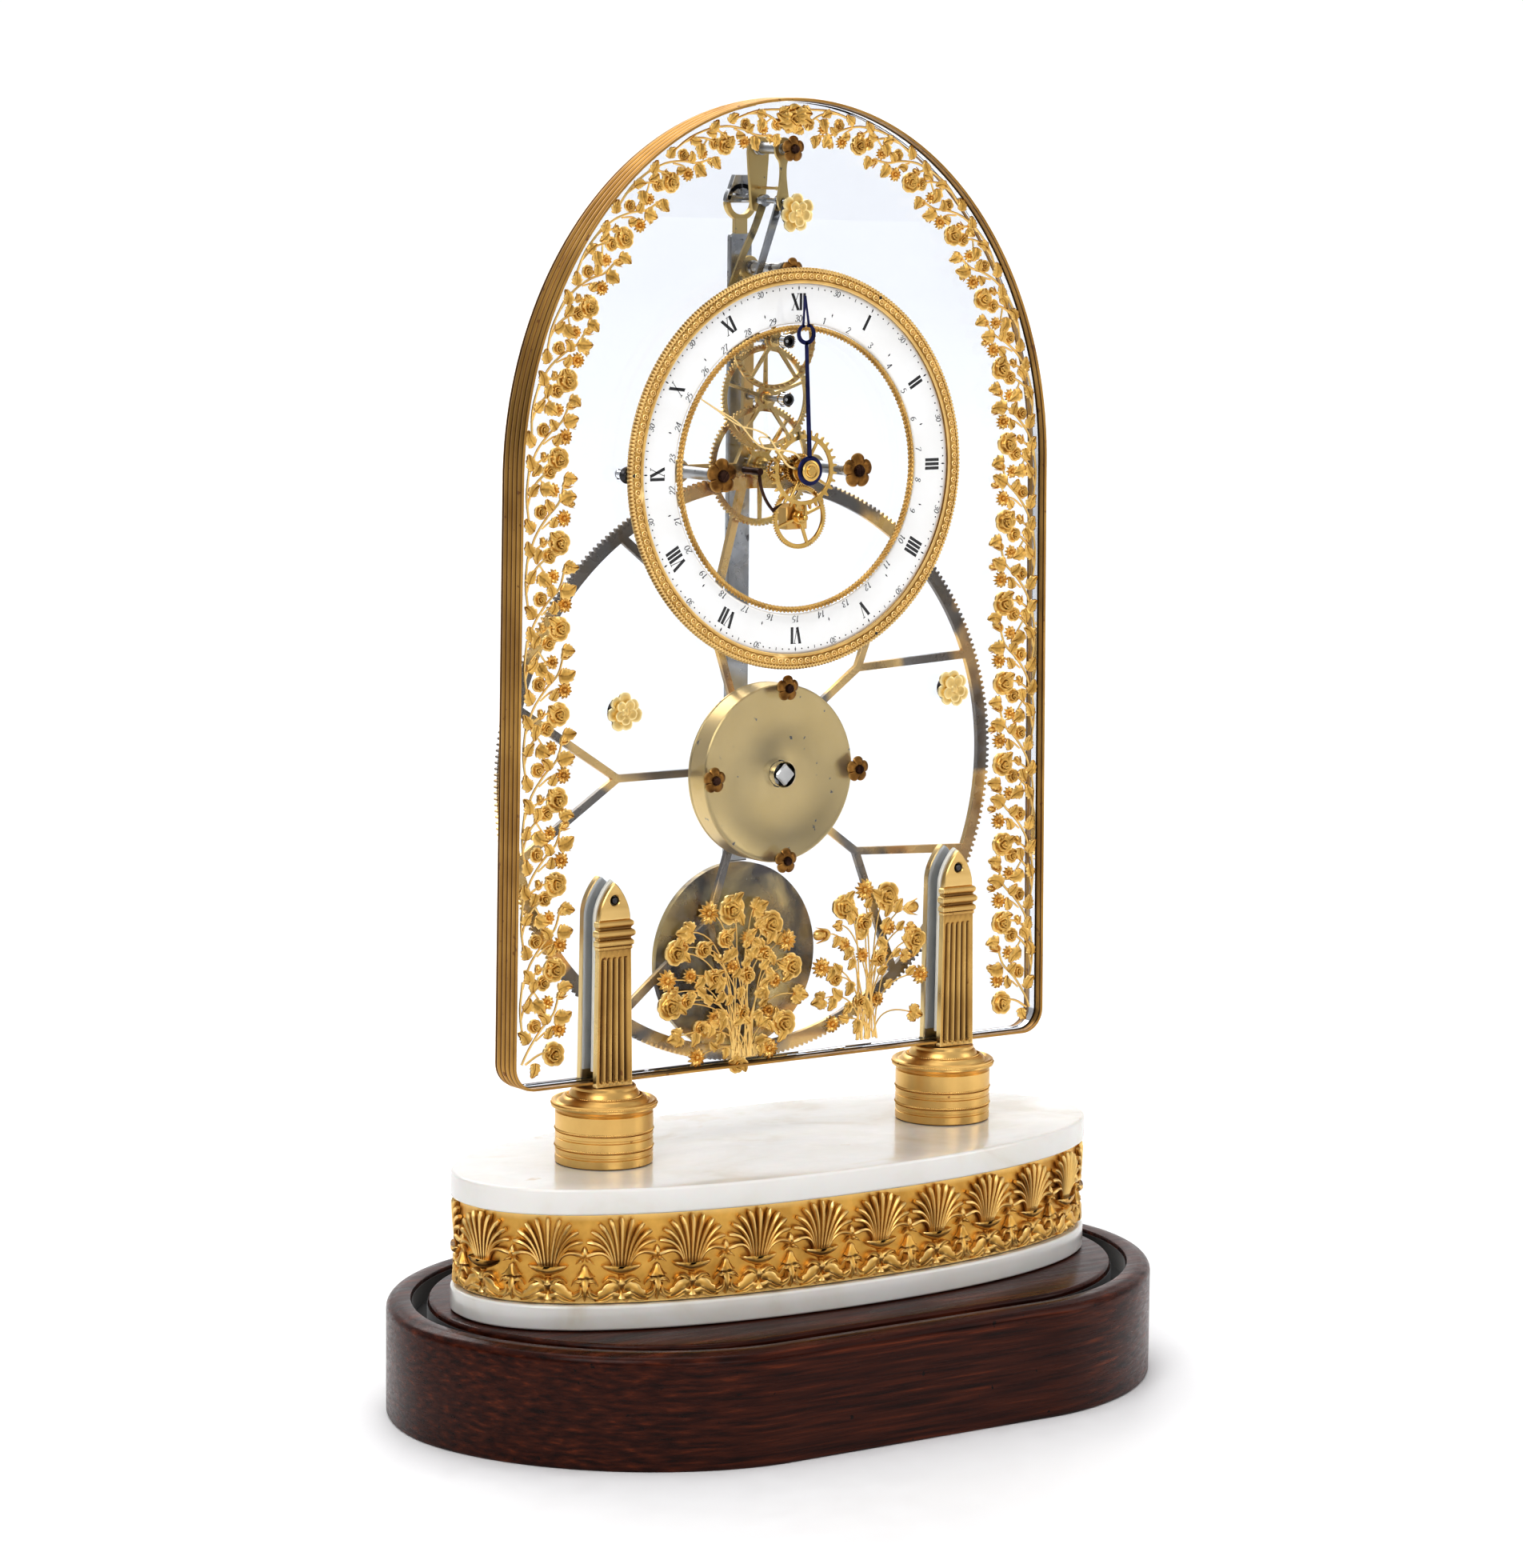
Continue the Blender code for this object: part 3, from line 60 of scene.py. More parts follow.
BODY_OF = {node: body for body, nodes in frame["record"]["behaviour"]["bodies"].items() for node in nodes}
SLOT_OF = {part["node"]: part["material_slot"] for part in frame["record"]["subparts"]}
SIDES = (("left", -1), ("right", 1))


# ---------------------------------------------------------------- the frame in millimetres

class Extent:
    """A CAD node's box: its low and high corner, and its middle."""

    def __init__(self, node):
        low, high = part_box(node)
        self.low = low / MM
        self.high = high / MM
        self.mid = (self.low + self.high) / 2
        self.size = self.high - self.low


def ends(node, axis):
    box = Extent(node)
    return box.low[axis], box.high[axis]


# ---------------------------------------------------------------- shapes

class Shape:
    """Points and faces gathered from simple forms, in millimetres."""

    def __init__(self):
        self.points = []
        self.faces = []

    def add(self, form, place=None):
        """Add a (points, faces) form, moved by a matrix or by a function of its points."""
        points, faces = form
        start = len(self.points)
        if place is None:
            self.points += [Vector(p) for p in points]
        elif isinstance(place, Matrix):
            self.points += [place @ Vector(p) for p in points]
        else:
            self.points += [Vector(place(Vector(p))) for p in points]
        self.faces += [tuple(start + i for i in face) for face in faces]
        return self

    def form(self):
        return self.points, self.faces


def piece(name, shape, look, *nodes, body=None, slot=None, crease=38):
    """Make a shape into a named piece that rides on a body and stands for the CAD nodes."""
    mesh = bpy.data.meshes.new(name)
    mesh.from_pydata([p * MM for p in shape.points], [], shape.faces)
    work = bmesh.new()
    work.from_mesh(mesh)
    bmesh.ops.remove_doubles(work, verts=work.verts, dist=WELD)
    bmesh.ops.recalc_face_normals(work, faces=work.faces)
    work.to_mesh(mesh)
    work.free()
    mesh.materials.append(look)
    mesh.shade_smooth()
    mesh.set_sharp_from_angle(angle=radians(crease))
    obj = bpy.data.objects.new(name, mesh)
    bpy.context.scene.collection.objects.link(obj)
    if nodes:
        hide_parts(*nodes)
    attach(obj, body or BODY_OF[nodes[0]])


def loft(rings, loop=False, caps=True):
    """Faces between rings of equal count; a loop joins the last ring to the first."""
    count = len(rings[0])
    points = [p for ring in rings for p in ring]
    faces = []
    for r in range(len(rings) if loop else len(rings) - 1):
        a = r * count
        b = (r + 1) % len(rings) * count
        for i in range(count):
            j = (i + 1) % count
            faces.append((a + i, a + j, b + j, b + i))
    if caps and not loop:
        faces.append(tuple(reversed(range(count))))
        faces.append(tuple(range(len(points) - count, len(points))))
    return points, faces


def lathe(profile, steps=48, closed=False, ripple=None):
    """A turned form about local Z from (radius, height) points, listed from one end to the other."""
    points = []
    starts = []
    for r, h in profile:
        starts.append(len(points))
        if r < ON_AXIS:
            points.append(Vector((0, 0, h)))
            continue
        for i in range(steps):
            a = TURN * i / steps
            reach = r * ripple(a, h) if ripple else r
            points.append(Vector((reach * cos(a), reach * sin(a), h)))
    faces = []
    last = len(profile) if closed else len(profile) - 1
    for k in range(last):
        n = (k + 1) % len(profile)
        for i in range(steps):
            j = (i + 1) % steps
            on_axis = profile[k][0] < ON_AXIS
            next_on_axis = profile[n][0] < ON_AXIS
            if on_axis and not next_on_axis:
                faces.append((starts[k], starts[n] + i, starts[n] + j))
            elif next_on_axis and not on_axis:
                faces.append((starts[k] + i, starts[n], starts[k] + j))
            elif not on_axis:
                faces.append((starts[k] + i, starts[n] + i, starts[n] + j, starts[k] + j))
    return points, faces


def dome(reach, rise, back, rings=4, sectors=24):
    """A cast form with a flat back: reach(angle) is its outline, rise(share, angle) its height."""
    points = [Vector((0, 0, rise(0, 0)))]
    for k in range(1, rings + 1):
        for i in range(sectors):
            a = TURN * i / sectors
            r = reach(a) * k / rings
            points.append(Vector((r * cos(a), r * sin(a), rise(k / rings, a))))
    edge = 1 + (rings - 1) * sectors
    for i in range(sectors):
        rim = points[edge + i]
        points.append(Vector((rim.x, rim.y, back)))
    points.append(Vector((0, 0, back)))
    faces = []
    for i in range(sectors):
        j = (i + 1) % sectors
        faces.append((0, 1 + i, 1 + j))
        for k in range(rings):
            a = 1 + k * sectors
            faces.append((a + i, a + sectors + i, a + sectors + j, a + j))
        faces.append((len(points) - 1, edge + sectors + j, edge + sectors + i))
    return points, faces


def bezier(a, b, c, steps):
    """Points on the curve from a to c that is drawn towards b."""
    a, b, c = Vector(a), Vector(b), Vector(c)
    shares = [i / steps for i in range(steps + 1)]
    return [a * (1 - t) ** 2 + b * 2 * t * (1 - t) + c * t ** 2 for t in shares]


def tube(path, radius, sides=6):
    """A round rod along a path; radius is a number or a function of the share of the way."""
    rings = []
    side = None
    for i, p in enumerate(path):
        along = (path[min(i + 1, len(path) - 1)] - path[max(i - 1, 0)]).normalized()
        if side is None:
            side = along.orthogonal().normalized()
        side = (side - along * side.dot(along)).normalized()
        up = along.cross(side)
        r = radius(i / (len(path) - 1)) if callable(radius) else radius
        rings.append([p + (side * cos(TURN * k / sides) + up * sin(TURN * k / sides)) * r
                      for k in range(sides)])
    return loft(rings)


LEAF_TIP_HALF = 0.03


def blade(path, width, thickness=0.5, crown=0.3, columns=5, fold=0.0):
    """A leaf along a path in the XY plane: width(share) is its half width, crown how far its middle
    stands out, and a fold sinks its midrib."""
    rings = []
    for i, p in enumerate(path):
        along = path[min(i + 1, len(path) - 1)] - path[max(i - 1, 0)]
        side = Vector((-along.y, along.x, 0)).normalized()
        half = max(width(i / (len(path) - 1)), LEAF_TIP_HALF)
        front = []
        behind = []
        for k in range(columns):
            v = 2 * k / (columns - 1) - 1
            swell = crown * (1 - v * v) - fold * max(0.0, 1 - abs(v) * 2.5)
            at = p + side * half * v + Vector((0, 0, swell))
            front.append(at)
            behind.append(at - Vector((0, 0, thickness)))
        rings.append(front + behind[::-1])
    return loft(rings)


LONGEST_MITRE = 1.6


def inset_loop(loop, distance):
    """The loop's points moved to its left, which is inwards on a counterclockwise loop."""
    moved = []
    count = len(loop)
    for i in range(count):
        before = loop[i] - loop[i - 1]
        after = loop[(i + 1) % count] - loop[i]
        a = Vector((-before[1], before[0])).normalized()
        b = Vector((-after[1], after[0])).normalized()
        middle = a + b
        if middle.length < ON_AXIS:
            middle = a
        middle.normalize()
        stretch = min(LONGEST_MITRE, 1 / max(0.3, middle.dot(a)))
        moved.append(loop[i] + middle * distance * stretch)
    return moved


def area(loop):
    return sum(p[0] * q[1] - q[0] * p[1] for p, q in zip(loop, loop[1:] + loop[:1])) / 2


BEVEL_SHARE = 0.4               # of a plate's thickness, at most


def plate(outlines, front, back, bevel=0.15, x=0.0, z=0.0):
    """A flat piece between two depths along Y, with bevelled edges: the first outline is its edge
    and the others are its openings, as (x, z) points."""
    loops = []
    for k, outline in enumerate(outlines):
        loop = [Vector((px + x, pz + z)) for px, pz in outline]
        if (area(loop) > 0) != (k == 0):
            loop.reverse()
        loops.append(loop)
    bevel = min(bevel, (back - front) * BEVEL_SHARE)
    sections = [(bevel, front), (0.0, front + bevel), (0.0, back - bevel), (bevel, back)]
    points = []
    faces = []
    starts = []
    for inset, y in sections:
        starts.append(len(points))
        for loop in loops:
            points += [Vector((p[0], y, p[1])) for p in (inset_loop(loop, inset) if inset else loop)]
    first = 0
    for loop in loops:
        count = len(loop)
        for a, b in zip(starts, starts[1:]):
            for i in range(count):
                j = (i + 1) % count
                faces.append((a + first + i, b + first + i, b + first + j, a + first + j))
        first += count
    caps = tessellate_polygon([[Vector((p[0], p[1], 0)) for p in inset_loop(loop, bevel)] for loop in loops])
    for face in caps:
        faces.append(tuple(starts[0] + i for i in face))
        faces.append(tuple(starts[3] + i for i in reversed(face)))
    return points, faces


# ---------------------------------------------------------------- placing

UPRIGHT = Matrix.Rotation(pi / 2, 4, "X")       # local Z turns to the viewer, local Y turns up


def facing(x, z, y=0.0, turn=0.0, scale=1.0):
    """Places a form drawn in XY on a wall that faces the viewer."""
    return Matrix.Translation((x, y, z)) @ UPRIGHT @ Matrix.Rotation(turn, 4, "Z") @ Matrix.Scale(scale, 4)


def at(x=0.0, y=0.0, z=0.0):
    return Matrix.Translation((x, y, z))


def turned(profile, x, z, steps=32, closed=False, ripple=None):
    """A form turned about an axis along Y, from (radius, y) points."""
    points, faces = lathe([(r, -y) for r, y in profile], steps, closed, ripple)
    place = facing(x, z)
    return [place @ p for p in points], faces


# ---------------------------------------------------------------- outlines

def polar(r, degrees, centre=(0.0, 0.0)):
    return (centre[0] + r * cos(radians(degrees)), centre[1] + r * sin(radians(degrees)))


def circle(r, count=32, centre=(0.0, 0.0)):
    return [polar(r, 360 * i / count, centre) for i in range(count)]


def arc(r, start, end, count, centre=(0.0, 0.0)):
    return [polar(r, start + (end - start) * i / (count - 1), centre) for i in range(count)]


def mirrored(half):
    """A closed outline from the right half's points, listed from bottom to top."""
    return list(half) + [(-x, z) for x, z in reversed(half) if x > ON_AXIS]


def smooth(knots, steps=6):
    """A curve through the knots (Catmull-Rom)."""
    made = []
    last = len(knots) - 1
    for i in range(last):
        p = [Vector(knots[min(max(i + k - 1, 0), last)]) for k in range(4)]
        for s in range(steps):
            t = s / steps
            made.append(((p[1] * 2) + (p[2] - p[0]) * t + (p[0] * 2 - p[1] * 5 + p[2] * 4 - p[3]) * t * t
                         + (p[1] * 3 - p[0] - p[2] * 3 + p[3]) * t ** 3) / 2)
    made.append(Vector(knots[-1]))
    return made


def course(knots, steps=6, side=1):
    """A smooth curve through plain (x, ...) knots, drawn on the left for side -1."""
    return smooth([Vector((side * knot[0], *knot[1:])) for knot in knots], steps)


def rounded_power(half_x, half_y, power, straight, count):
    """A superellipse whose two ends are moved apart by a straight stretch."""
    points = []
    for i in range(count):
        angle = TURN * (i + 0.5) / count
        c, s = cos(angle), sin(angle)
        x = abs(c) ** (2 / power) * (half_x - straight) + straight
        y = abs(s) ** (2 / power) * half_y
        points.append(Vector((x if c > 0 else -x, y if s > 0 else -y, 0)))
    return points


def stack(outline, sections, ring=False):
    """A loft through copies of an outline: outline(inset) gives its points, sections hold
    (inset, height), and a ring closes back to its first section."""
    rings = [[p + Vector((0, 0, height)) for p in outline(inset)] for inset, height in sections]
    return loft(rings, loop=ring)


def rounded_edge(inset, height, r, bottom=False, steps=5):
    """Sections round an outer edge: a top edge is met from below, a bottom edge from inside."""
    made = []
    for i in range(steps + 1):
        a = pi / 2 * i / steps
        if bottom:
            made.append((inset + r * (1 - sin(a)), height + r * (1 - cos(a))))
        else:
            made.append((inset + r * (1 - cos(a)), height - r * (1 - sin(a))))
    return made


def gear(teeth, root, tip, phase=90.0, fill=0.48):
    """A gear's edge: straight-sided teeth with round tips and round-bottomed gaps."""
    pitch = 360 / teeth
    fillet, shoulder = root + (tip - root) * 0.12, root + (tip - root) * 0.7
    tooth = ((fillet, -fill / 2 - 0.05), (shoulder, -fill / 2), (tip, -fill * 0.2), (tip, fill * 0.2),
             (shoulder, fill / 2), (fillet, fill / 2 + 0.05), (root, 0.5))
    return [polar(r, phase + pitch * i + pitch * offset) for i in range(teeth) for r, offset in tooth]


def half_angle(half, r):
    """The degrees that a half width takes up at a radius."""
    return asin(half / r) * 180 / pi


def spokes(hub, rim, arms, hub_half, rim_half, phase, count=14):
    """The openings between tapering arms, from the hub's radius to the rim's."""
    outlines = []
    near, far = half_angle(hub_half, hub), half_angle(rim_half, rim)
    for i in range(arms):
        start = phase + 360 * i / arms
        end = start + 360 / arms
        outlines.append(arc(rim, start + far, end - far, count) + arc(hub, end - near, start + near, 5))
    return outlines


# ---------------------------------------------------------------- finishes

def node(tree, kind, settings=None, **sockets):
    """A shader node; each socket takes a value or another node's output."""
    made = tree.nodes.new("ShaderNode" + kind)
    for key, value in (settings or {}).items():
        setattr(made, key, value)
    for key, value in sockets.items():
        socket = made.inputs[key.replace("_", " ")]
        if isinstance(value, bpy.types.NodeSocket):
            tree.links.new(value, socket)
        else:
            socket.default_value = value
    return made


def rgba(colour):
    return (*colour, 1.0)


def ramp(tree, share, stops):
    made = node(tree, "ValToRGB", Fac=share)
    band = made.color_ramp
    while len(band.elements) < len(stops):
        band.elements.new(0.5)
    for element, (place, colour) in zip(band.elements, stops):
        element.position = place
        element.color = rgba(colour)
    return made.outputs["Color"]


def spread(tree, share, low, high, to_low=0.0, to_high=1.0):
    made = node(tree, "MapRange", {"clamp": True}, Value=share, From_Min=low, From_Max=high, To_Min=to_low,
                To_Max=to_high)
    return made.outputs["Result"]


MIX_SHARE, MIX_BELOW, MIX_ABOVE, MIX_RESULT = 0, 6, 7, 2       # the Mix node's sockets for colours


def blended(tree, share, below, above):
    made = node(tree, "Mix", {"data_type": "RGBA"})
    for index, value in ((MIX_SHARE, share), (MIX_BELOW, below), (MIX_ABOVE, above)):
        socket = made.inputs[index]
        if isinstance(value, bpy.types.NodeSocket):
            tree.links.new(value, socket)
        else:
            socket.default_value = value
    return made.outputs[MIX_RESULT]


FLECK_EDGE = (0.74, 0.78)       # the noise where a fleck starts and is full
# the pointiness where the painted shade in hollows starts and is full
HOLLOW_SHADE_POINTINESS = (0.44, 0.5)
RIDGE_POINTINESS = (0.52, 0.62)
ROUGHNESS_NOISE = (0.3, 0.7)


def finish(name, stops, grain, stretch=(1, 1, 1), warp=0.0, detail=5.0, rough=(0.3, 0.4), rough_grain=90,
           bump=0.3, bump_grain=1500, depth=0.00002, bump_stretch=(1, 1, 1), flecks=None, hollows=None,
           ridges=None, **sockets):
    """A procedural finish: a colour that wanders between stops, uneven roughness, a fine surface,
    and where asked flecks (colour, grain, amount), a dark tint in hollows that is painted shade, and a lighter tint
    on ridges."""
    made = bpy.data.materials.new(name)
    made.use_nodes = True
    tree = made.node_tree
    shader = tree.nodes["Principled BSDF"]
    where = node(tree, "TexCoord").outputs["Object"]
    drawn = node(tree, "Mapping", Vector=where, Scale=stretch).outputs["Vector"]
    wander = node(tree, "TexNoise", Vector=drawn, Scale=grain, Detail=detail, Distortion=warp)
    colour = ramp(tree, wander.outputs["Fac"], stops)
    if flecks:
        tint, fleck_grain, amount = flecks
        specks = node(tree, "TexNoise", Vector=where, Scale=fleck_grain, Detail=3.0)
        share = spread(tree, specks.outputs["Fac"], *(edge - amount for edge in FLECK_EDGE))
        colour = blended(tree, share, colour, rgba(tint))
    if hollows or ridges:
        relief = node(tree, "NewGeometry").outputs["Pointiness"]
        # painted shade: a dark tint where the surface folds inwards, standing in for the shadow there
        if hollows:
            colour = blended(tree, spread(tree, relief, *HOLLOW_SHADE_POINTINESS), rgba(hollows), colour)
        if ridges:
            colour = blended(tree, spread(tree, relief, *RIDGE_POINTINESS), colour, rgba(ridges))
    tree.links.new(colour, shader.inputs["Base Color"])
    uneven = node(tree, "TexNoise", Vector=drawn, Scale=rough_grain, Detail=4.0)
    tree.links.new(spread(tree, uneven.outputs["Fac"], *ROUGHNESS_NOISE, *rough), shader.inputs["Roughness"])
    fine_at = node(tree, "Mapping", Vector=where, Scale=bump_stretch).outputs["Vector"]
    fine = node(tree, "TexNoise", Vector=fine_at, Scale=bump_grain, Detail=4.0)
    raised = node(tree, "Bump", Strength=bump, Distance=depth, Height=fine.outputs["Fac"])
    tree.links.new(raised.outputs["Normal"], shader.inputs["Normal"])
    for key, value in sockets.items():
        shader.inputs[key.replace("_", " ")].default_value = value
    return made


def metal(name, dark, light, grain=60, narrow=0.22, **settings):
    middle = tuple((a + b) / 2 for a, b in zip(dark, light))
    settings.setdefault("detail", 6.0)
    stops = [(0.5 - narrow, dark), (0.5, middle), (0.5 + narrow, light)]
    return finish(name, stops, grain, Metallic=1.0, **settings)


# the hollows tints below are painted shade in creases and recesses
CAST_GILT = metal("cast_gilt", (0.48, 0.26, 0.06), (0.88, 0.56, 0.16), 90, rough=(0.32, 0.5), bump=0.7,
                  bump_grain=1100, depth=0.00007, hollows=(0.07, 0.03, 0.008), ridges=(0.98, 0.74, 0.34))
FLOWER_GILT = metal("flower_gilt", (0.44, 0.25, 0.06), (0.84, 0.54, 0.165), 160, rough=(0.28, 0.44), bump=0.4,
                    bump_grain=1800, depth=0.00004, hollows=(0.12, 0.055, 0.013), ridges=(0.96, 0.7, 0.3))
ROSETTE_GILT = metal("rosette_gilt", (0.66, 0.45, 0.16), (0.9, 0.68, 0.3), 160, rough=(0.34, 0.46), bump=0.4,
                     bump_grain=1500, hollows=(0.26, 0.14, 0.04), ridges=(1.0, 0.86, 0.52))
MATTE_GILT = metal("matte_gilt", (0.5, 0.29, 0.08), (0.8, 0.53, 0.19), 110, rough=(0.36, 0.52), bump=0.35,
                   bump_grain=2600, depth=0.00002, hollows=(0.14, 0.06, 0.015), ridges=(1.0, 0.78, 0.4))
TURNED_GILT = metal("turned_gilt", (0.7, 0.45, 0.16), (0.92, 0.65, 0.27), 45, rough=(0.3, 0.38), bump=0.05,
                    bump_grain=300, bump_stretch=(1, 1, 12), flecks=((0.4, 0.2, 0.07), 500, 0.02))
BAND_GILT = metal("band_gilt", (0.34, 0.18, 0.05), (0.66, 0.4, 0.125), 35, rough=(0.34, 0.44), bump=0.2,
                  bump_grain=900, flecks=((0.3, 0.15, 0.06), 260, 0.06))
PILASTER_GILT = metal("pilaster_gilt", (0.4, 0.23, 0.07), (0.76, 0.5, 0.18), 35, rough=(0.24, 0.36), bump=0.2,
                      bump_grain=900, flecks=((0.3, 0.15, 0.06), 260, 0.06), hollows=(0.16, 0.08, 0.025),
                      ridges=(0.95, 0.72, 0.34))
PALE_BRASS = metal("pale_brass", (0.78, 0.57, 0.23), (0.88, 0.67, 0.32), 25, rough=(0.32, 0.4), bump=0.2,
                   bump_grain=700, flecks=((0.22, 0.2, 0.2), 340, 0.055))
WHEEL_BRASS = metal("wheel_brass", (0.6, 0.38, 0.11), (0.88, 0.62, 0.24), 60, rough=(0.16, 0.3), bump=0.15,
                    bump_grain=1400, flecks=((0.45, 0.27, 0.1), 420, 0.04))
STAINED_BRASS = metal("stained_brass", (0.06, 0.045, 0.038), (0.72, 0.54, 0.23), 34, warp=0.5, narrow=0.09,
                      rough=(0.16, 0.4), bump=0.2, bump_grain=600, flecks=((0.12, 0.1, 0.06), 70, 0.1))
BROWN_BRASS = metal("brown_brass", (0.11, 0.047, 0.012), (0.38, 0.2, 0.055), 260, rough=(0.26, 0.46), bump=0.4,
                    bump_grain=2200, depth=0.00004, hollows=(0.08, 0.035, 0.012), ridges=(0.7, 0.45, 0.18))
BRIGHT_STEEL = metal("bright_steel", (0.42, 0.42, 0.42), (0.68, 0.68, 0.67), 70, rough=(0.14, 0.32), bump=0.15,
                     bump_grain=900, flecks=((0.2, 0.19, 0.19), 300, 0.04))
SPOTTED_STEEL = metal("spotted_steel", (0.4, 0.4, 0.4), (0.7, 0.69, 0.66), 95, warp=1.2, rough=(0.2, 0.42),
                      bump=0.3, bump_grain=700, flecks=((0.13, 0.12, 0.12), 160, 0.1))
PATCHY_BRASS = metal("patchy_brass", (0.2, 0.17, 0.14), (0.84, 0.55, 0.2), 26, detail=2.0, warp=0.5, narrow=0.04,
                     rough=(0.16, 0.34), bump=0.15, bump_grain=1400)
BLUED_STEEL = metal("blued_steel", (0.018, 0.02, 0.07), (0.05, 0.055, 0.17), 240, rough=(0.24, 0.4), bump=0.3,
                    bump_grain=2400, flecks=((0.16, 0.16, 0.3), 1500, 0.03))
BROWN_STEEL = metal("brown_steel", (0.03, 0.014, 0.011), (0.11, 0.058, 0.04), 200, rough=(0.25, 0.4), bump=0.3)
DARK_STEEL = metal("dark_steel", (0.05, 0.05, 0.055), (0.16, 0.15, 0.15), 150, rough=(0.2, 0.4), bump=0.3)
MARBLE = finish("white_marble", [(0.3, (0.7, 0.65, 0.56)), (0.4, (0.79, 0.765, 0.71)), (0.5, (0.82, 0.805, 0.77)),
                                 (0.62, (0.835, 0.82, 0.79)), (0.7, (0.78, 0.73, 0.64))], 14, stretch=(1, 1.4, 1.2),
                warp=1.6, detail=9.0, rough=(0.12, 0.26), bump=0.12, bump_grain=500,
                flecks=((0.7, 0.62, 0.5), 60, 0.03), Coat_Weight=0.35, Coat_Roughness=0.08,
                Subsurface_Weight=0.12, Subsurface_Scale=0.004)
MAHOGANY = finish("mahogany", [(0.3, (0.012, 0.0022, 0.001)), (0.45, (0.037, 0.0062, 0.0024)),
                               (0.6, (0.068, 0.0135, 0.0046)), (0.75, (0.15, 0.032, 0.009))], 26,
                  stretch=(1, 8, 26), warp=0.22, detail=9.0, rough=(0.22, 0.36), rough_grain=40, bump=0.2,
                  bump_grain=240, bump_stretch=(1, 8, 14), flecks=((0.008, 0.003, 0.002), 330, 0.04),
                  Coat_Weight=0.06, Coat_Roughness=0.1, Specular_IOR_Level=0.18)
CORE_WOOD = finish("core_wood", [(0.3, (0.26, 0.15, 0.07)), (0.7, (0.46, 0.3, 0.17))], 30, stretch=(1, 8, 8),
                   rough=(0.6, 0.8))
ENAMEL = finish("white_enamel", [(0.3, (0.91, 0.905, 0.89)), (0.6, (0.95, 0.95, 0.945)), (0.8, (0.92, 0.91, 0.89))],
                40, rough=(0.05, 0.12), bump=0.08, bump_grain=160, depth=0.0001,
                flecks=((0.6, 0.55, 0.48), 700, -0.01), Coat_Weight=1.0, Coat_Roughness=0.03)
INK = finish("dial_ink", [(0.3, (0.012, 0.012, 0.014)), (0.7, (0.035, 0.034, 0.036))], 300, rough=(0.15, 0.3),
             Coat_Weight=0.6)
PALE_INK = finish("pale_dial_ink", [(0.3, (0.09, 0.09, 0.095)), (0.7, (0.17, 0.17, 0.175))], 300,
                  rough=(0.15, 0.3), Coat_Weight=0.6)
FELT = finish("black_felt", [(0.3, (0.006, 0.005, 0.005)), (0.7, (0.018, 0.016, 0.015))], 400,
              rough=(0.8, 0.95), bump=0.6, bump_grain=3000, Sheen_Weight=0.3)
LEATHER_PAD = finish("kid_leather", [(0.3, (0.82, 0.81, 0.74)), (0.7, (0.94, 0.93, 0.87))], 90, rough=(0.5, 0.7),
                     bump=0.5, bump_grain=1500)
GLASS = finish("plate_glass", [(0.3, (0.84, 0.865, 0.91)), (0.7, (0.855, 0.88, 0.92))], 8, rough=(0.0, 0.012),
               rough_grain=30, bump=0.02, bump_grain=20, Transmission_Weight=1.0, IOR=1.46)
PLAIN = {"mahogany": MAHOGANY, "marble": MARBLE, "core_wood": CORE_WOOD, "ormolu": CAST_GILT,
         "polished_brass": WHEEL_BRASS, "dark_brass": BROWN_BRASS, "steel": BRIGHT_STEEL,
         "blued_steel": BLUED_STEEL, "brown_spring": BROWN_STEEL, "enamel": ENAMEL, "glass": GLASS}


def darken_grooves(material, period, tint):
    """Painted shade in the grooves between reeds that lie a period apart along Y."""
    tree = material.node_tree
    colour = tree.nodes["Principled BSDF"].inputs["Base Color"]
    height = node(tree, "SeparateXYZ", Vector=node(tree, "TexCoord").outputs["Object"]).outputs["Y"]
    for operation, amount in (("MULTIPLY", pi / (period * MM)), ("SINE", None), ("ABSOLUTE", None)):
        step = node(tree, "Math", {"operation": operation})
        tree.links.new(height, step.inputs[0])
        if amount:
            step.inputs[1].default_value = amount
        height = step.outputs["Value"]
    share = spread(tree, height, 0.12, 0.5)
    tree.links.new(blended(tree, share, rgba(tint), colour.links[0].from_socket), colour)


def dress_frame():
    """Every CAD node that stays in sight gets its slot's finish."""
    for name, obj in frame["nodes"].items():
        obj.data.materials.clear()
        obj.data.materials.append(PLAIN[SLOT_OF[name]])


# ---------------------------------------------------------------- plinth

PLINTH = Extent("plinth_band")
PLINTH_H = PLINTH.high.z
PLINTH_HALF = (PLINTH.high.x, PLINTH.high.y)
PLINTH_POWER = 1.87
PLINTH_POINTS = 220
PLINTH_BAND_W = 9.0
PLINTH_BAND_EDGE_R = 3.0
PANEL_INSET = PLINTH_BAND_W + 6.0      # the groove for a dome lies between the band and the panel
PANEL_EDGE_R = 1.4
LINING_GAP = 0.12
LINING_T = 0.25
LINING_FLOOR = Extent("plinth_core").high.z + 0.1


def plinth_outline(inset):
    half_x, half_y = PLINTH_HALF
    return rounded_power(half_x - inset, half_y - inset, PLINTH_POWER, half_x - half_y, PLINTH_POINTS)


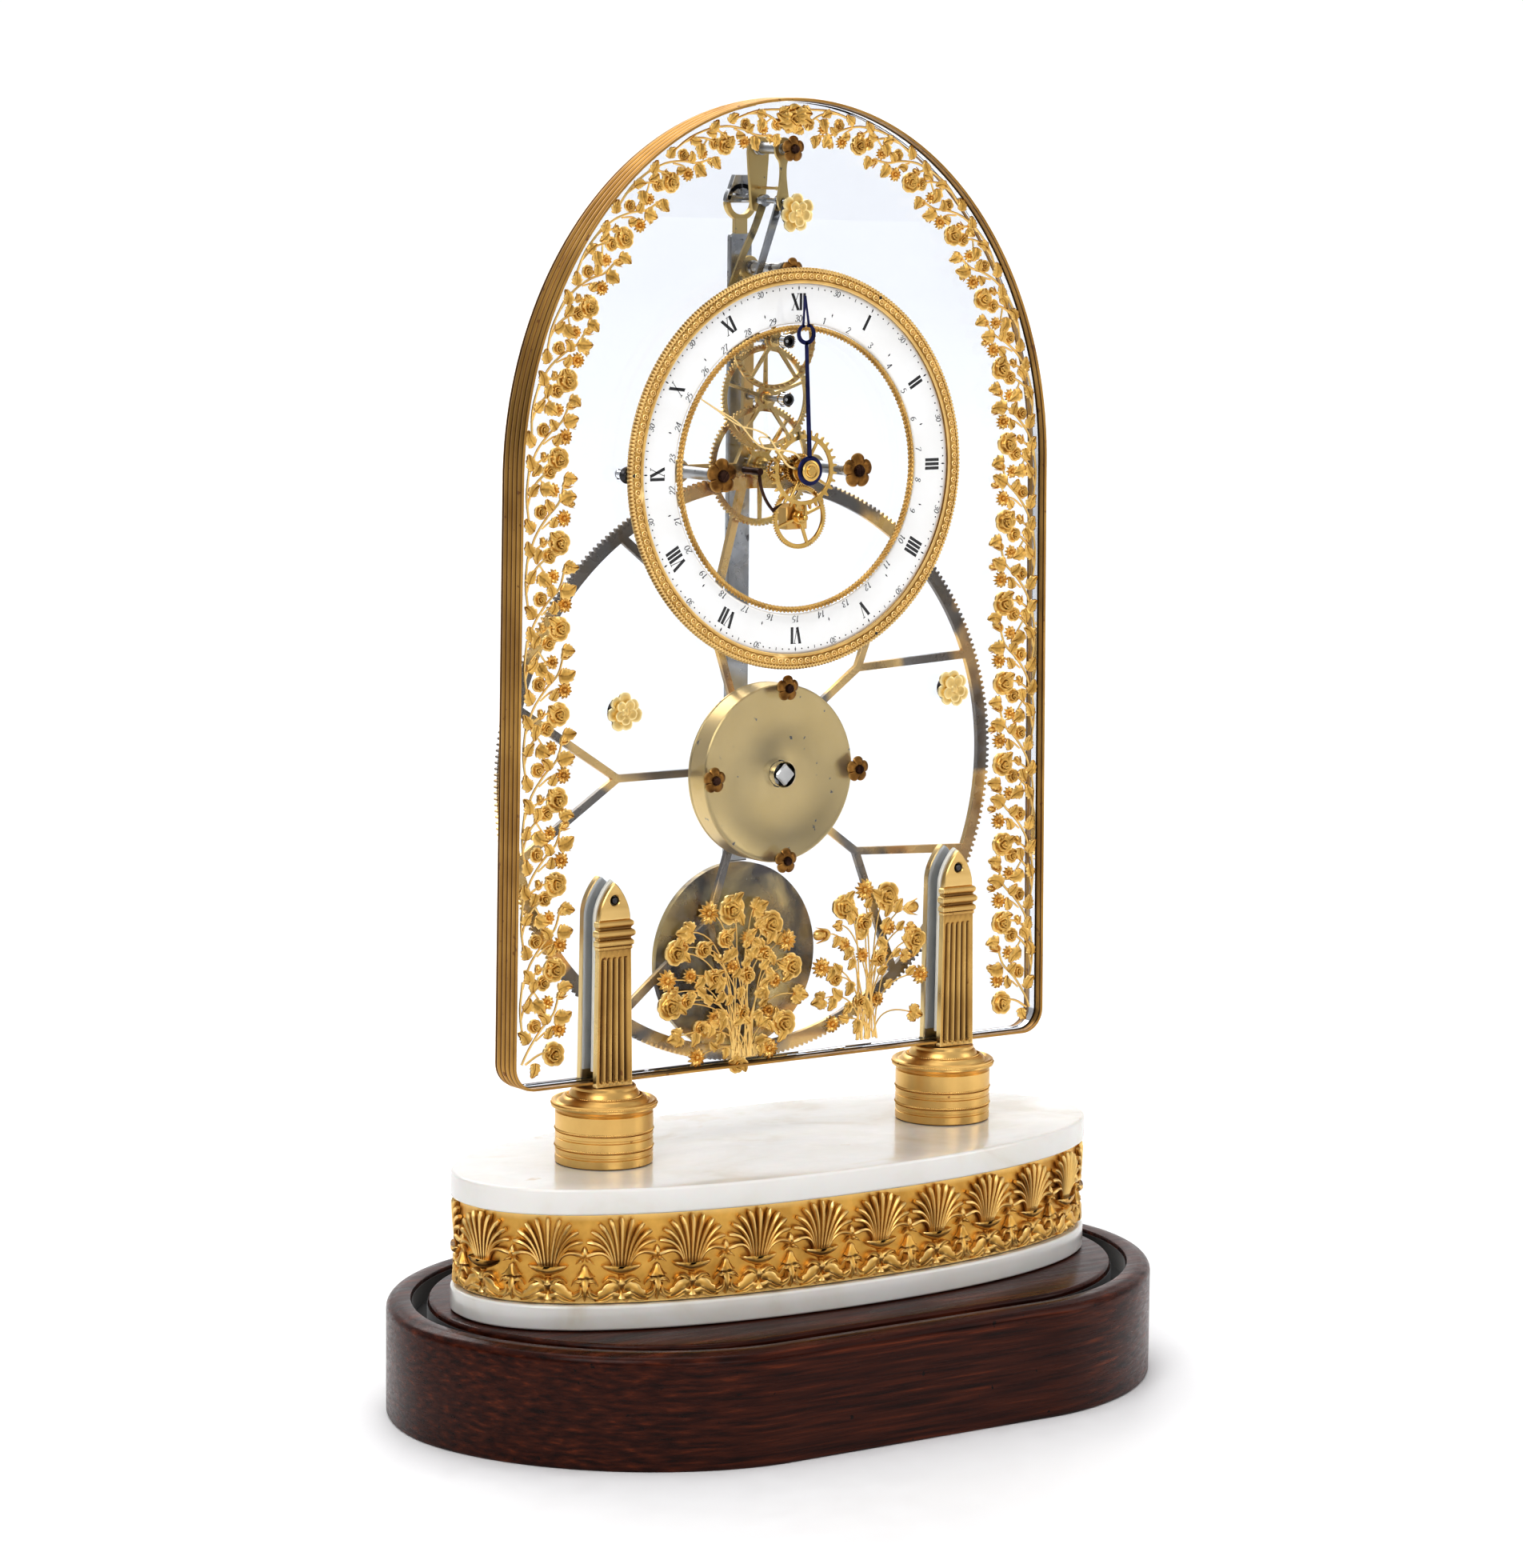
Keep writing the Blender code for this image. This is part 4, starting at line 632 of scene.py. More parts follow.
def build_plinth():
    top = PLINTH_H
    band = [(0.9, 0), (0.3, 0.3), (0, 0.9)] + rounded_edge(0, top - 0.5, PLINTH_BAND_EDGE_R)
    inner = PLINTH_BAND_W
    band += [(3.6, top - 0.12), (5.0, top), (inner - 1.0, top), (inner - 0.3, top - 0.3), (inner, top - 1.0),
             (inner, 0)]
    piece("mahogany_band", Shape().add(stack(plinth_outline, band, ring=True)), MAHOGANY, "plinth_band")
    low = Extent("plinth_panel").low.z
    panel = [(PANEL_INSET, low)] + rounded_edge(PANEL_INSET, top, PANEL_EDGE_R) + [(PANEL_INSET + 30, top)]
    piece("mahogany_panel", Shape().add(stack(plinth_outline, panel)), MAHOGANY, "plinth_panel")


def build_groove_lining():
    near, far = PLINTH_BAND_W + LINING_GAP, PANEL_INSET - LINING_GAP
    near_top, far_top = PLINTH_H - 1.6, PLINTH_H - 2.2
    low, thick = LINING_FLOOR, LINING_T
    lining = [(near, near_top), (near, low), (far, low), (far, far_top), (far - thick, far_top),
              (far - thick, low + 0.3), (near + thick, low + 0.3), (near + thick, near_top)]
    piece("groove_lining", Shape().add(stack(plinth_outline, lining, ring=True)), FELT, body="root",
          slot="groove_black")


# ---------------------------------------------------------------- marble base and its frieze

BASE = Extent("upper_marble_slab")
BASE_HALF = (BASE.high.x, BASE.high.y)
BASE_POWER = 2.19
FRIEZE_LOW, FRIEZE_HIGH = ends("frieze_band", 2)
FRIEZE_BACK_INSET = 4.2
FRIEZE_GROUND_INSET = 3.1
PALMETTES = 24
SLAB_REACH = 12                 # how far in the slabs' flat faces are drawn
CHIP_GRAIN = 0.11
CHIP_DEPTH = 0.35


def base_outline(inset, count=240):
    half_x, half_y = BASE_HALF
    return rounded_power(half_x - inset, half_y - inset, BASE_POWER, 0.0, count)


def worn_ring(inset, height):
    """The base's outline at a height, worn back a little where its edge is chipped."""
    ring = []
    for p, q in zip(base_outline(inset), base_outline(0)):
        chip = noise.noise(Vector((q.x * CHIP_GRAIN, q.y * CHIP_GRAIN, height * 0.25)))
        wear = CHIP_DEPTH * max(0.0, chip - 0.25) * max(0.0, 1 - inset / 3)
        ring.append(Vector((p.x * (1 - wear / 60), p.y * (1 - wear / 60), height)))
    return ring


def build_marble():
    for name, node_name in (("marble_foot_slab", "lower_marble_slab"), ("marble_top_slab", "upper_marble_slab")):
        low, high = ends(node_name, 2)
        slab = [(SLAB_REACH, low)] + rounded_edge(0, low, 0.9, bottom=True)
        slab += rounded_edge(0, high, 1.1) + [(SLAB_REACH, high)]
        piece(name, Shape().add(loft([worn_ring(*section) for section in slab])), MARBLE, node_name)


class Polyline:
    """A line of points with the way along it to each of them."""

    def __init__(self, points):
        self.points = points
        self.lengths = [0.0]
        for p, q in zip(points, points[1:]):
            self.lengths.append(self.lengths[-1] + (q - p).length)
        self.total = self.lengths[-1]

    def find(self, along):
        """The point before a place on the line, and the share of the way to the next point."""
        low, high = 0, len(self.lengths) - 1
        while high - low > 1:
            middle = (low + high) // 2
            if self.lengths[middle] <= along:
                low = middle
            else:
                high = middle
        return low, (along - self.lengths[low]) / (self.lengths[low + 1] - self.lengths[low])


class Wall:
    """The frieze's ground, unrolled: points (along, up, out) are bent round the base."""

    def __init__(self, inset):
        outline = base_outline(inset, 960)
        self.line = Polyline(outline + outline[:1])

    def bend(self, p):
        low, share = self.line.find(p.x % self.line.total)
        a, b = self.line.points[low:low + 2]
        direction = (b - a).normalized()
        outward = Vector((direction.y, -direction.x, 0))
        spot = a.lerp(b, share) + outward * p.z
        return Vector((spot.x, spot.y, p.y))


def flat_backed(form, flatten=0.8, floor_z=-0.3):
    """A round form pressed against the ground behind it."""
    points, faces = form
    return [Vector((p[0], p[1], max(floor_z, p[2] * flatten))) for p in points], faces


def standing(form):
    """A lathed form turned so that its axis points up the wall."""
    points, faces = form
    turn = Matrix.Rotation(-pi / 2, 4, "X")
    return [turn @ p for p in points], faces


def lobed(half, lobes, start=0.35):
    """A half width that swells quickly, tapers, and is cut into lobes along its edge."""
    def width(t):
        body = half * (sin(pi * min(1.0, t ** start)) ** 0.7 if t > 0 else 0)
        return body * (0.78 + 0.22 * abs(sin(pi * lobes * t)))
    return width


PALMETTE_RIBS = 11
PALMETTE_FAN = radians(98)
PALMETTE_HALF_W = 12.0
PALMETTE_DISH = [(0, -2.4), (1.8, -2.2), (4.2, -1.3), (6.2, -0.2), (7.1, 0.9), (6.8, 1.25), (5.8, 0.9), (0, 0.8)]
PALMETTE_BALUSTER = [(0, 1.6), (1.9, 1.8), (1.5, 2.8), (0.8, 3.8), (0.9, 5.0), (1.7, 6.4), (1.9, 7.3), (1.3, 8.4),
                     (0.8, 9.0), (1.2, 9.8), (0, 10.4)]
PALMETTE_SCROLLS = (            # (along, up, out) knots, half width and lobes
    ([(0.6, 5.2, 0.5), (3.2, 5.8, 1.3), (6.0, 3.8, 1.4), (8.6, 2.6, 1.3), (11.0, 4.4, 1.6), (10.8, 6.8, 1.2)],
     2.2, 5),
    ([(0.3, 1.3, 0.4), (3.0, 2.9, 1.4), (6.0, 1.6, 1.4), (9.2, 1.2, 1.0)], 1.7, 4),
    ([(0.4, 5.8, 0.6), (2.2, 8.2, 1.2), (4.8, 8.8, 1.1), (6.6, 7.2, 0.8)], 1.3, 3))
BELL_BUD = [(0, 0), (0.9, 0.5), (1.25, 1.5), (0.95, 2.6), (0.35, 3.5), (0, 3.7)]
BELL_PETALS = [(0.5, 3.9), (1.1, 3.4), (1.5, 2.2), (2.3, 0.8), (3.2, 0.0), (2.6, 0.3), (1.2, 1.6), (0.4, 3.4)]
BELL_LEAVES = (                 # (along, up, out) knots and half width
    ([(0.3, 15.6, 0.3), (1.6, 17.0, 1.1), (2.9, 16.6, 1.0)], 0.75),
    ([(0.3, 15.0, 0.3), (1.4, 15.2, 1.2), (3.1, 14.0, 0.9)], 0.7),
    ([(0.5, 9.2, 0.4), (1.7, 8.2, 1.3), (3.3, 8.0, 1.1), (4.6, 6.2, 0.7)], 1.2),
    ([(0.2, 4.8, 0.3), (1.6, 3.2, 1.2), (3.6, 0.9, 0.8)], 1.4))
BELL_DROP = [(0, 9.6, 0.4), (0, 6.0, 1.5), (0, 3.0, 1.3), (0, 0.8, 0.5)]


def palmette(height):
    """One palmette on its dish and baluster, with acanthus scrolls at its foot."""
    shape = Shape()
    dish = height * 0.4
    tip_rise = height * 0.97 - dish
    for k in range(PALMETTE_RIBS):
        a = PALMETTE_FAN * (2 * k / (PALMETTE_RIBS - 1) - 1)
        foot = Vector((sin(a) * 3.0, dish + 0.4, 0.5))
        tip = Vector((sin(a) * PALMETTE_HALF_W, dish + 2.0 + (tip_rise - 2.0) * cos(a * 0.86) ** 0.8, 0.8))
        pull = Vector((sin(a) * 5.0, dish + tip_rise * 0.62 * cos(a * 0.5) + 0.8, 1.5))
        shape.add(tube(bezier(foot, pull, tip, 9), lambda t: 0.4 + 0.72 * t ** 1.5 if t < 0.93 else 0.66, 7))
    shape.add(flat_backed(standing(lathe(PALMETTE_DISH, 20)), 0.42), at(0, dish, 0.1))
    shape.add(flat_backed(standing(lathe(PALMETTE_BALUSTER, 14)), 0.85))
    for side in (-1, 1):
        for knots, half, lobes in PALMETTE_SCROLLS:
            shape.add(blade(course(knots, 4, side), lobed(half, lobes), 1.3, 0.5, 5, 0.25))
    return shape


def bell_flower(height):
    """The hanging bell-flower between two palmettes, under its bud."""
    shape = Shape()
    shape.add(flat_backed(standing(lathe(BELL_BUD, 10)), 0.9), at(0, height * 0.53, 0.3))
    bell = lathe(BELL_PETALS, 30, closed=True, ripple=lambda a, h: 1 + 0.16 * cos(5 * a) * max(0, 1 - h / 3))
    shape.add(flat_backed(standing(bell), 0.75), at(0, height * 0.31, 0.4))
    for side in (-1, 1):
        for knots, half in BELL_LEAVES:
            shape.add(blade(course(knots, 4, side), lobed(half, 3), 1.0, 0.35, 5, 0.15))
    shape.add(blade(course(BELL_DROP, 4), lobed(1.3, 4), 1.1, 0.4, 5, 0.2))
    return shape


FRIEZE_RELIEF = 1.4


def build_frieze():
    height = FRIEZE_HIGH - FRIEZE_LOW
    steps = 14
    section = [(FRIEZE_GROUND_INSET, FRIEZE_LOW + height * i / steps) for i in range(steps + 1)]
    section += [(FRIEZE_BACK_INSET, FRIEZE_HIGH), (FRIEZE_BACK_INSET, FRIEZE_LOW)]
    shape = Shape().add(stack(lambda inset: base_outline(inset, 480), section, ring=True))
    wall = Wall(FRIEZE_GROUND_INSET)
    pitch = wall.line.total / PALMETTES
    parts = ((palmette(height), 0.0), (bell_flower(height), pitch / 2))
    for k in range(PALMETTES):
        start = pitch * (k + 0.25)
        for part, offset in parts:
            shape.add(part.form(), lambda p: wall.bend(Vector((
                p.x + start + offset, p.y + FRIEZE_LOW, min(p.z * FRIEZE_RELIEF, FRIEZE_GROUND_INSET - 0.2)))))
    piece("palmette_frieze", shape, CAST_GILT, "frieze_band", crease=50)


# ---------------------------------------------------------------- pedestals and pilasters

PEDESTAL = Extent("left_pedestal")
PILASTER = Extent("left_front_pilaster")
PEDESTAL_X = abs(PEDESTAL.mid.x)
PEDESTAL_R = 17.2
CAP_R = PEDESTAL.size.x / 2
SADDLE_TOP = PEDESTAL.high.z
PEDESTAL_TOP = SADDLE_TOP - 1.0
PILASTER_X = abs(PILASTER.mid.x)
PILASTER_FOOT_W = 14.8
PILASTER_HEAD_W = 12.9
PILASTER_HEAD_Z = 176.0
PILASTER_TIP_Z = PILASTER.high.z
PILASTER_FRONT = -7.4
PILASTER_BACK = PILASTER.high.y
CLAMP_Z = Extent("left_clamp_screw").mid.z


def rope(ring_r, thick, strands, steps, lean=1.0, depth=0.16, sides=8):
    """A twisted ring about local Z, with its strands running round it."""
    rings = []
    for i in range(steps):
        a = TURN * i / steps
        ring = []
        for k in range(sides):
            b = TURN * k / sides
            r = thick * (1 - depth + depth * cos(strands * a + lean * b))
            ring.append(Vector(((ring_r + r * cos(b)) * cos(a), (ring_r + r * cos(b)) * sin(a), r * sin(b))))
        rings.append(ring)
    return loft(rings, loop=True)


PEDESTAL_ROPES = (96.0, 102.0)
CAP_ROPE_Z = 110.9
NECK_ROPE_R, NECK_ROPE_Z = 13.1, 113.6
SADDLE_HALF_W, SADDLE_HALF_T = 6.0, 2.7


def pedestal_profile():
    """(radius, height) points from the foot to the saddle, with a fillet under and at each rope."""
    r, cap = PEDESTAL_R, CAP_R
    foot = PEDESTAL.low.z
    profile = [(0, foot), (r - 0.3, foot), (r, foot + 0.3)]
    for rope_z in PEDESTAL_ROPES:
        for line_z in (rope_z - 2.4, rope_z):
            profile += [(r, line_z - 0.75), (r - 0.4, line_z - 0.5), (r - 0.4, line_z + 0.1), (r, line_z + 0.35)]
    return profile + [
        (r, 107.9), (r - 0.4, 108.2), (r - 0.1, 108.8), (cap - 0.8, 109.5), (cap - 0.1, 109.9), (cap - 0.3, 110.9),
        (cap - 0.2, 111.9), (cap - 0.8, 112.3), (cap - 1.4, 112.2), (16.6, 111.6), (15.9, 111.7), (15.3, 112.5),
        (14.7, 113.3), (13.9, 113.6), (13.6, 113.4), (12.6, 113.6), (12.3, 114.6), (11.6, 115.6), (11.2, 116.0),
        (11.1, PEDESTAL_TOP - 0.4), (10.7, PEDESTAL_TOP), (0, PEDESTAL_TOP)]


def build_pedestals():
    ropes = [(PEDESTAL_R - 0.15, 0.5, 150, z) for z in PEDESTAL_ROPES]
    ropes += [(CAP_R - 0.25, 0.42, 150, CAP_ROPE_Z), (NECK_ROPE_R, 0.45, 96, NECK_ROPE_Z)]
    saddle = [(-SADDLE_HALF_W, SADDLE_TOP - 2.0), (SADDLE_HALF_W, SADDLE_TOP - 2.0), (SADDLE_HALF_W, SADDLE_TOP),
              (-SADDLE_HALF_W, SADDLE_TOP)]
    for word, side in SIDES:
        x = side * PEDESTAL_X
        shape = Shape().add(lathe(pedestal_profile(), 96), at(x))
        for ring_r, thick, strands, z in ropes:
            shape.add(rope(ring_r, thick, strands, 6 * strands, depth=0.26, sides=6), at(x, 0, z))
        shape.add(plate([saddle], -SADDLE_HALF_T, SADDLE_HALF_T, 0.3, x=x))
        piece(word + "_turned_pedestal", shape, TURNED_GILT, word + "_pedestal")


def head_outline(grow=0.0, count=12):
    head = PILASTER_HEAD_W / 2 + grow
    rise = PILASTER_TIP_Z + grow - PILASTER_HEAD_Z
    half = [(head, PILASTER_HEAD_Z)]
    half += [(head * cos(i / count * pi / 2) ** 0.8, PILASTER_HEAD_Z + rise * i / count) for i in range(1, count)]
    return half + [(0.0, PILASTER_TIP_Z + grow)]


FLUTED_SHARE = 0.86             # of the shaft's front
FLUTE_DEPTH = 0.95
FLUTES_TOP = 163.2
HEAD_MOULDINGS = (              # (height, how far it stands proud)
    (165.6, 0), (166.0, 0.35), (166.8, 0.35), (167.0, 0.1), (167.2, 0.55), (167.6, 0.8), (168.6, 0.8), (169.0, 0.5),
    (169.4, 0.0), (170.0, 0.1), (170.4, 0.8), (171.0, 1.2), (171.9, 1.2), (172.5, 0.8), (172.9, 0.1), (173.5, 0.1),
    (173.9, 0.5), (174.4, 0.8), (175.3, 0.8), (175.8, 0.4), (PILASTER_HEAD_Z, 0))


def shaft_ring(half, front, z, flute_depth, samples=41):
    """A cross-section of the shaft, with five flutes in its front."""
    ring = []
    for i in range(samples):
        u = 2 * i / (samples - 1) - 1
        groove = abs(sin(pi * 2.5 * (u / FLUTED_SHARE) + pi / 2)) if abs(u) < FLUTED_SHARE else 0
        depth = flute_depth * max(0.0, groove - 0.35) / 0.65
        ring.append(Vector((half * u, front + depth, z)))
    ring += [Vector((half, PILASTER_BACK, z)), Vector((-half, PILASTER_BACK, z))]
    return ring


def clamp_hole(r, count=20):
    return circle(r, count, (0, CLAMP_Z))


def build_front_pilaster(word, side):
    foot = PILASTER.low.z
    from_z = foot + 1.2

    def half_at(z):
        share = (z - foot) / (PILASTER_HEAD_Z - foot)
        return (PILASTER_FOOT_W + (PILASTER_HEAD_W - PILASTER_FOOT_W) * share) / 2

    rings = []
    for z, depth in ((foot, 0), (from_z, 0), (from_z + 0.5, 0.7), (from_z + 1.2, FLUTE_DEPTH), (140, FLUTE_DEPTH),
                     (FLUTES_TOP - 1.4, FLUTE_DEPTH), (FLUTES_TOP - 0.6, 0.7), (FLUTES_TOP, 0)):
        rings.append(shaft_ring(half_at(z), PILASTER_FRONT, z, depth))
    for z, proud in HEAD_MOULDINGS:
        rings.append(shaft_ring(half_at(z) + proud, PILASTER_FRONT - proud, z, 0))
    x = side * PILASTER_X
    shape = Shape().add(loft(rings), at(x))
    shape.add(plate([mirrored(head_outline()), clamp_hole(1.75, 24)], PILASTER_FRONT, PILASTER_BACK, 0.35, x=x))
    piece(word + "_fluted_pilaster", shape, PILASTER_GILT, word + "_front_pilaster", crease=30)


def build_rear_pilaster(word, side):
    box = Extent(word + "_rear_pilaster")
    half = [(PILASTER_FOOT_W / 2, box.low.z)] + [(x, z + 1.0 * (z > PILASTER_HEAD_Z)) for x, z in head_outline()]
    shape = Shape().add(plate([mirrored(half), clamp_hole(1.3)], box.low.y, box.high.y, 0.4, x=side * PILASTER_X))
    piece(word + "_plain_pilaster", shape, PILASTER_GILT, word + "_rear_pilaster")


def slotted_head(x, z, seat, r, proud, shape, turn=30):
    """A screw head with a slot, standing on a seat at a depth along Y."""
    shape.add(turned([(0, seat), (r, seat), (r, seat - proud * 0.5), (r * 0.85, seat - proud * 0.85),
                      (0, seat - proud * 0.9)], x, z, 20))
    c, s = cos(radians(turn)), sin(radians(turn))
    slot_edge = [((2 * u / 6 - 1) * r * 0.86, 0.14 * r) for u in range(7)]
    cap = slot_edge + [polar(r * 0.8, a) for a in range(20, 161, 20)]
    for sign in (-1, 1):
        outline = [(sign * (px * c - pz * s), sign * (px * s + pz * c)) for px, pz in cap]
        shape.add(plate([outline], seat - proud, seat - proud * 0.4, 0.06, x=x, z=z))


PAD_DEPTHS = (("front", -4.85, -3.25), ("rear", 3.25, 4.85))


def build_clamps():
    for word, side in SIDES:
        box = Extent(word + "_clamp_screw")
        near, far = box.low.y, box.high.y
        nut = [(0, near + 0.9), (1.0, near + 0.9), (1.0, far - 1.2), (2.1, far - 1.2), (2.2, far - 0.9),
               (2.2, far - 0.3), (1.9, far), (0, far)]
        shape = Shape().add(turned(nut, box.mid.x, CLAMP_Z, 24))
        slotted_head(box.mid.x, CLAMP_Z, near + 1.0, 1.3, 1.0, shape)
        piece(word + "_slotted_clamp_screw", shape, DARK_STEEL, word + "_clamp_screw")
        half = [(PILASTER_FOOT_W / 2 - 0.1, PILASTER.low.z + 5.4)]
        half += [(x + 0.1, z + 0.5) for x, z in head_outline(0.3)]
        for name, front, back in PAD_DEPTHS:
            pad = Shape().add(plate([mirrored(half), clamp_hole(1.3)], front, back, 0.3, x=side * PILASTER_X))
            piece("%s_%s_pad" % (word, name), pad, LEATHER_PAD, body="root", slot="clamp_pad")


# ---------------------------------------------------------------- glass plate and edge band

BAND = Extent("edge_band")
ARCH_HALF_W = 112.1
ARCH_FOOT_HALF_W = BAND.high.x
ARCH_SPRING_Z = 327.6
ARCH_TOP_Z = BAND.high.z
ARCH_FOOT_Z = BAND.low.z
ARCH_CORNER_R = 9.0
BAND_T = 1.1
BAND_HALF_W = BAND.high.y
GLASS_FRONT, GLASS_BACK = ends("glass_plate", 1)
GLASS_SEAT = -3.3               # the front of the washers that lie on the glass


ARCH_SIDE_SHARE = 0.28          # of the way round, for each straight side
ARCH_POINTS = 200
CORNER_POINTS = 12


def arch_point(inset, t):
    """A point on the plate's side and arch: t is 0 at the left foot and 1 at the right."""
    side = ARCH_SIDE_SHARE
    half_w = ARCH_HALF_W - inset
    if side <= t <= 1 - side:
        angle = pi * (1 - (t - side) / (1 - 2 * side))
        return (half_w * cos(angle), ARCH_SPRING_Z + (ARCH_TOP_Z - ARCH_SPRING_Z - inset) * sin(angle))
    drop = (side - min(t, 1 - t)) / side
    x = half_w + (ARCH_FOOT_HALF_W - ARCH_HALF_W) * drop
    z = ARCH_SPRING_Z - (ARCH_SPRING_Z - ARCH_FOOT_Z - ARCH_CORNER_R) * drop
    return (-x if t < 0.5 else x, z)


def arch_outline(inset, extra=()):
    """The plate's closed outline, counterclockwise from the right corner, brought inwards; extra
    points lie along its foot."""
    corner_x = ARCH_FOOT_HALF_W - ARCH_CORNER_R
    corner_z = ARCH_FOOT_Z + ARCH_CORNER_R
    radius = ARCH_CORNER_R - inset
    points = [arch_point(inset, 1 - i / ARCH_POINTS) for i in range(ARCH_POINTS + 1)]
    points += arc(radius, 180, 270, CORNER_POINTS, (-corner_x, corner_z))[1:]
    points += [(x, ARCH_FOOT_Z + inset) for x in extra]
    points += arc(radius, -90, 0, CORNER_POINTS, (corner_x, corner_z))[:-1]
    return points


REED_PITCH = 0.45 * BAND_HALF_W
REEDED_SHARE = 0.9              # of the band's width
REED_DEPTH = 0.55
REED_COLUMNS = 48
BAND_NARROW_HALF_W = 2.6        # between the pilasters
BAND_NARROW_REACH = PILASTER_FOOT_W / 2 + 0.5
# painted shade for the grooves between the reeds
REED_GROOVE_SHADE = (0.07, 0.03, 0.01)


def band_section(p, q, limit):
    """The band's section from its outer edge at p to its inner edge at q."""
    inward = q - p
    ring = []
    for i in range(REED_COLUMNS + 1):
        v = 2 * i / REED_COLUMNS - 1
        y = max(-limit, min(limit, v * BAND_HALF_W))
        reed = abs(sin(pi * 2 * (v / REEDED_SHARE + 1))) ** 0.7 if abs(v) < REEDED_SHARE else 0.55
        edge = p + inward * REED_DEPTH * (1 - reed)
        ring.append(Vector((edge[0], y, edge[1])))
    return ring + [Vector((q[0], y, q[1])) for y in (limit, -limit)]


def build_edge_band():
    """Four reeds along the band, which narrows where it passes between the pilasters."""
    reach = BAND_NARROW_REACH
    notches = []
    for _, side in SIDES:
        low, high = side * PILASTER_X - reach, side * PILASTER_X + reach
        notches += [low - 0.05, low, high, high + 0.05]
    rings = []
    for p, q in zip(arch_outline(0, notches), arch_outline(BAND_T, notches)):
        narrow = p[1] < ARCH_FOOT_Z + 1 and any(abs(p[0] - s * PILASTER_X) < reach + 0.02 for s in (-1, 1))
        rings.append(band_section(Vector(p), Vector(q), BAND_NARROW_HALF_W if narrow else BAND_HALF_W))
    # paints shade into the grooves between the reeds
    darken_grooves(BAND_GILT, REED_PITCH, REED_GROOVE_SHADE)
    piece("reeded_edge_band", Shape().add(loft(rings, loop=True)), BAND_GILT, "edge_band", crease=45)


SCREW_HOLE_R = 1.5
ARBOR_HOLES = (("winding_arbor", 4.6), ("center_arbor", 2.4), ("third_wheel", 2.3), ("escape_wheel", 2.3),
               ("minute_wheel", 1.0))


def glass_holes():
    """The holes drilled in the glass, each at the piece that passes through it."""
    screws = [name for name in frame["nodes"] if BODY_OF[name] == "root" and (
        name.endswith(("_screw", "rosette")) or "_pillar" in name or name.startswith("barrel_nut")
        or name == "pallet_bracket")]
    holes = []
    for name, r in [(name, SCREW_HOLE_R) for name in screws] + list(ARBOR_HOLES):
        middle = Extent(name).mid
        holes.append(circle(r, 24, (middle.x, middle.z)))
    return holes


def build_glass():
    outlines = [arch_outline(BAND_T + 0.3)] + glass_holes()
    piece("arched_glass", Shape().add(plate(outlines, GLASS_FRONT, GLASS_BACK, 0.3)), GLASS, "glass_plate")


# ---------------------------------------------------------------- dial

DIAL = Extent("dial_ring")
DIAL_Z = DIAL.mid.z
ENAMEL_R = DIAL.size.x / 2
ENAMEL_INNER_R = 50.9
ENAMEL_FRONT, ENAMEL_BACK = DIAL.low.y, DIAL.high.y
BEZEL = Extent("dial_bezel")
BEZEL_R = BEZEL.size.x / 2
RIM = Extent("dial_inner_rim")
RIM_OUTER_R = RIM.size.x / 2
RIM_THICK = 1.25
ROMAN = ("I", "II", "III", "IIII", "V", "VI", "VII", "VIII", "IX", "X", "XI", "XII")
DIGITS = {
    "0": [(0.3, 1), (0.07, 0.72), (0.07, 0.28), (0.3, 0), (0.53, 0.28), (0.53, 0.72), (0.3, 1)],
    "1": [(0.14, 0.8), (0.3, 0.98), (0.31, 0.5), (0.31, 0)],
    "2": [(0.06, 0.76), (0.28, 1), (0.52, 0.76), (0.34, 0.42), (0.04, 0.03), (0.3, 0.05), (0.57, 0.02)],
    "3": [(0.07, 0.86), (0.3, 1), (0.5, 0.78), (0.27, 0.55), (0.54, 0.28), (0.28, 0), (0.04, 0.17)],
    "4": [(0.6, 0.3), (0.3, 0.3), (0.03, 0.3), (0.25, 0.66), (0.44, 1), (0.44, 0.5), (0.44, 0)],
    "5": [(0.52, 1), (0.16, 0.98), (0.11, 0.58), (0.36, 0.62), (0.55, 0.32), (0.28, 0), (0.05, 0.13)],
    "6": [(0.5, 0.95), (0.22, 0.84), (0.06, 0.4), (0.24, 0), (0.54, 0.26), (0.34, 0.54), (0.1, 0.36)],
    "7": [(0.05, 0.88), (0.14, 0.97), (0.56, 0.97), (0.34, 0.5), (0.22, 0)],
    "8": [(0.3, 0.54), (0.09, 0.78), (0.3, 1), (0.51, 0.78), (0.3, 0.54), (0.05, 0.25), (0.3, 0), (0.55, 0.25),
          (0.3, 0.54)],
    "9": [(0.5, 0.64), (0.26, 0.46), (0.06, 0.74), (0.36, 1), (0.54, 0.6), (0.38, 0.16), (0.1, 0.05)],
}


def strip(path, half, front, back):
    """A flat strip along a path of (x, z) points; half is its half width along the way."""
    rings = []
    last = len(path) - 1
    for i, p in enumerate(path):
        along = path[min(i + 1, last)] - path[max(i - 1, 0)]
        side = Vector((-along[1], along[0])).normalized()
        h = half(i / last, along.normalized()) if callable(half) else half
        a, b = p + side * h, p - side * h
        rings.append([Vector((a[0], front, a[1])), Vector((b[0], front, b[1])), Vector((b[0], back, b[1])),
                      Vector((a[0], back, a[1]))])
    return loft(rings)


def on_dial(r, degrees, form, slant=0.0):
    """Moves a form drawn upright at the origin out to a place on the dial, its top outwards."""
    points, faces = form
    a = radians(degrees)
    made = []
    for p in points:
        x, up = p[0] + slant * p[2], p[2] + r
        made.append(Vector((x * cos(a) + up * sin(a), p[1], DIAL_Z + up * cos(a) - x * sin(a))))
    return made, faces


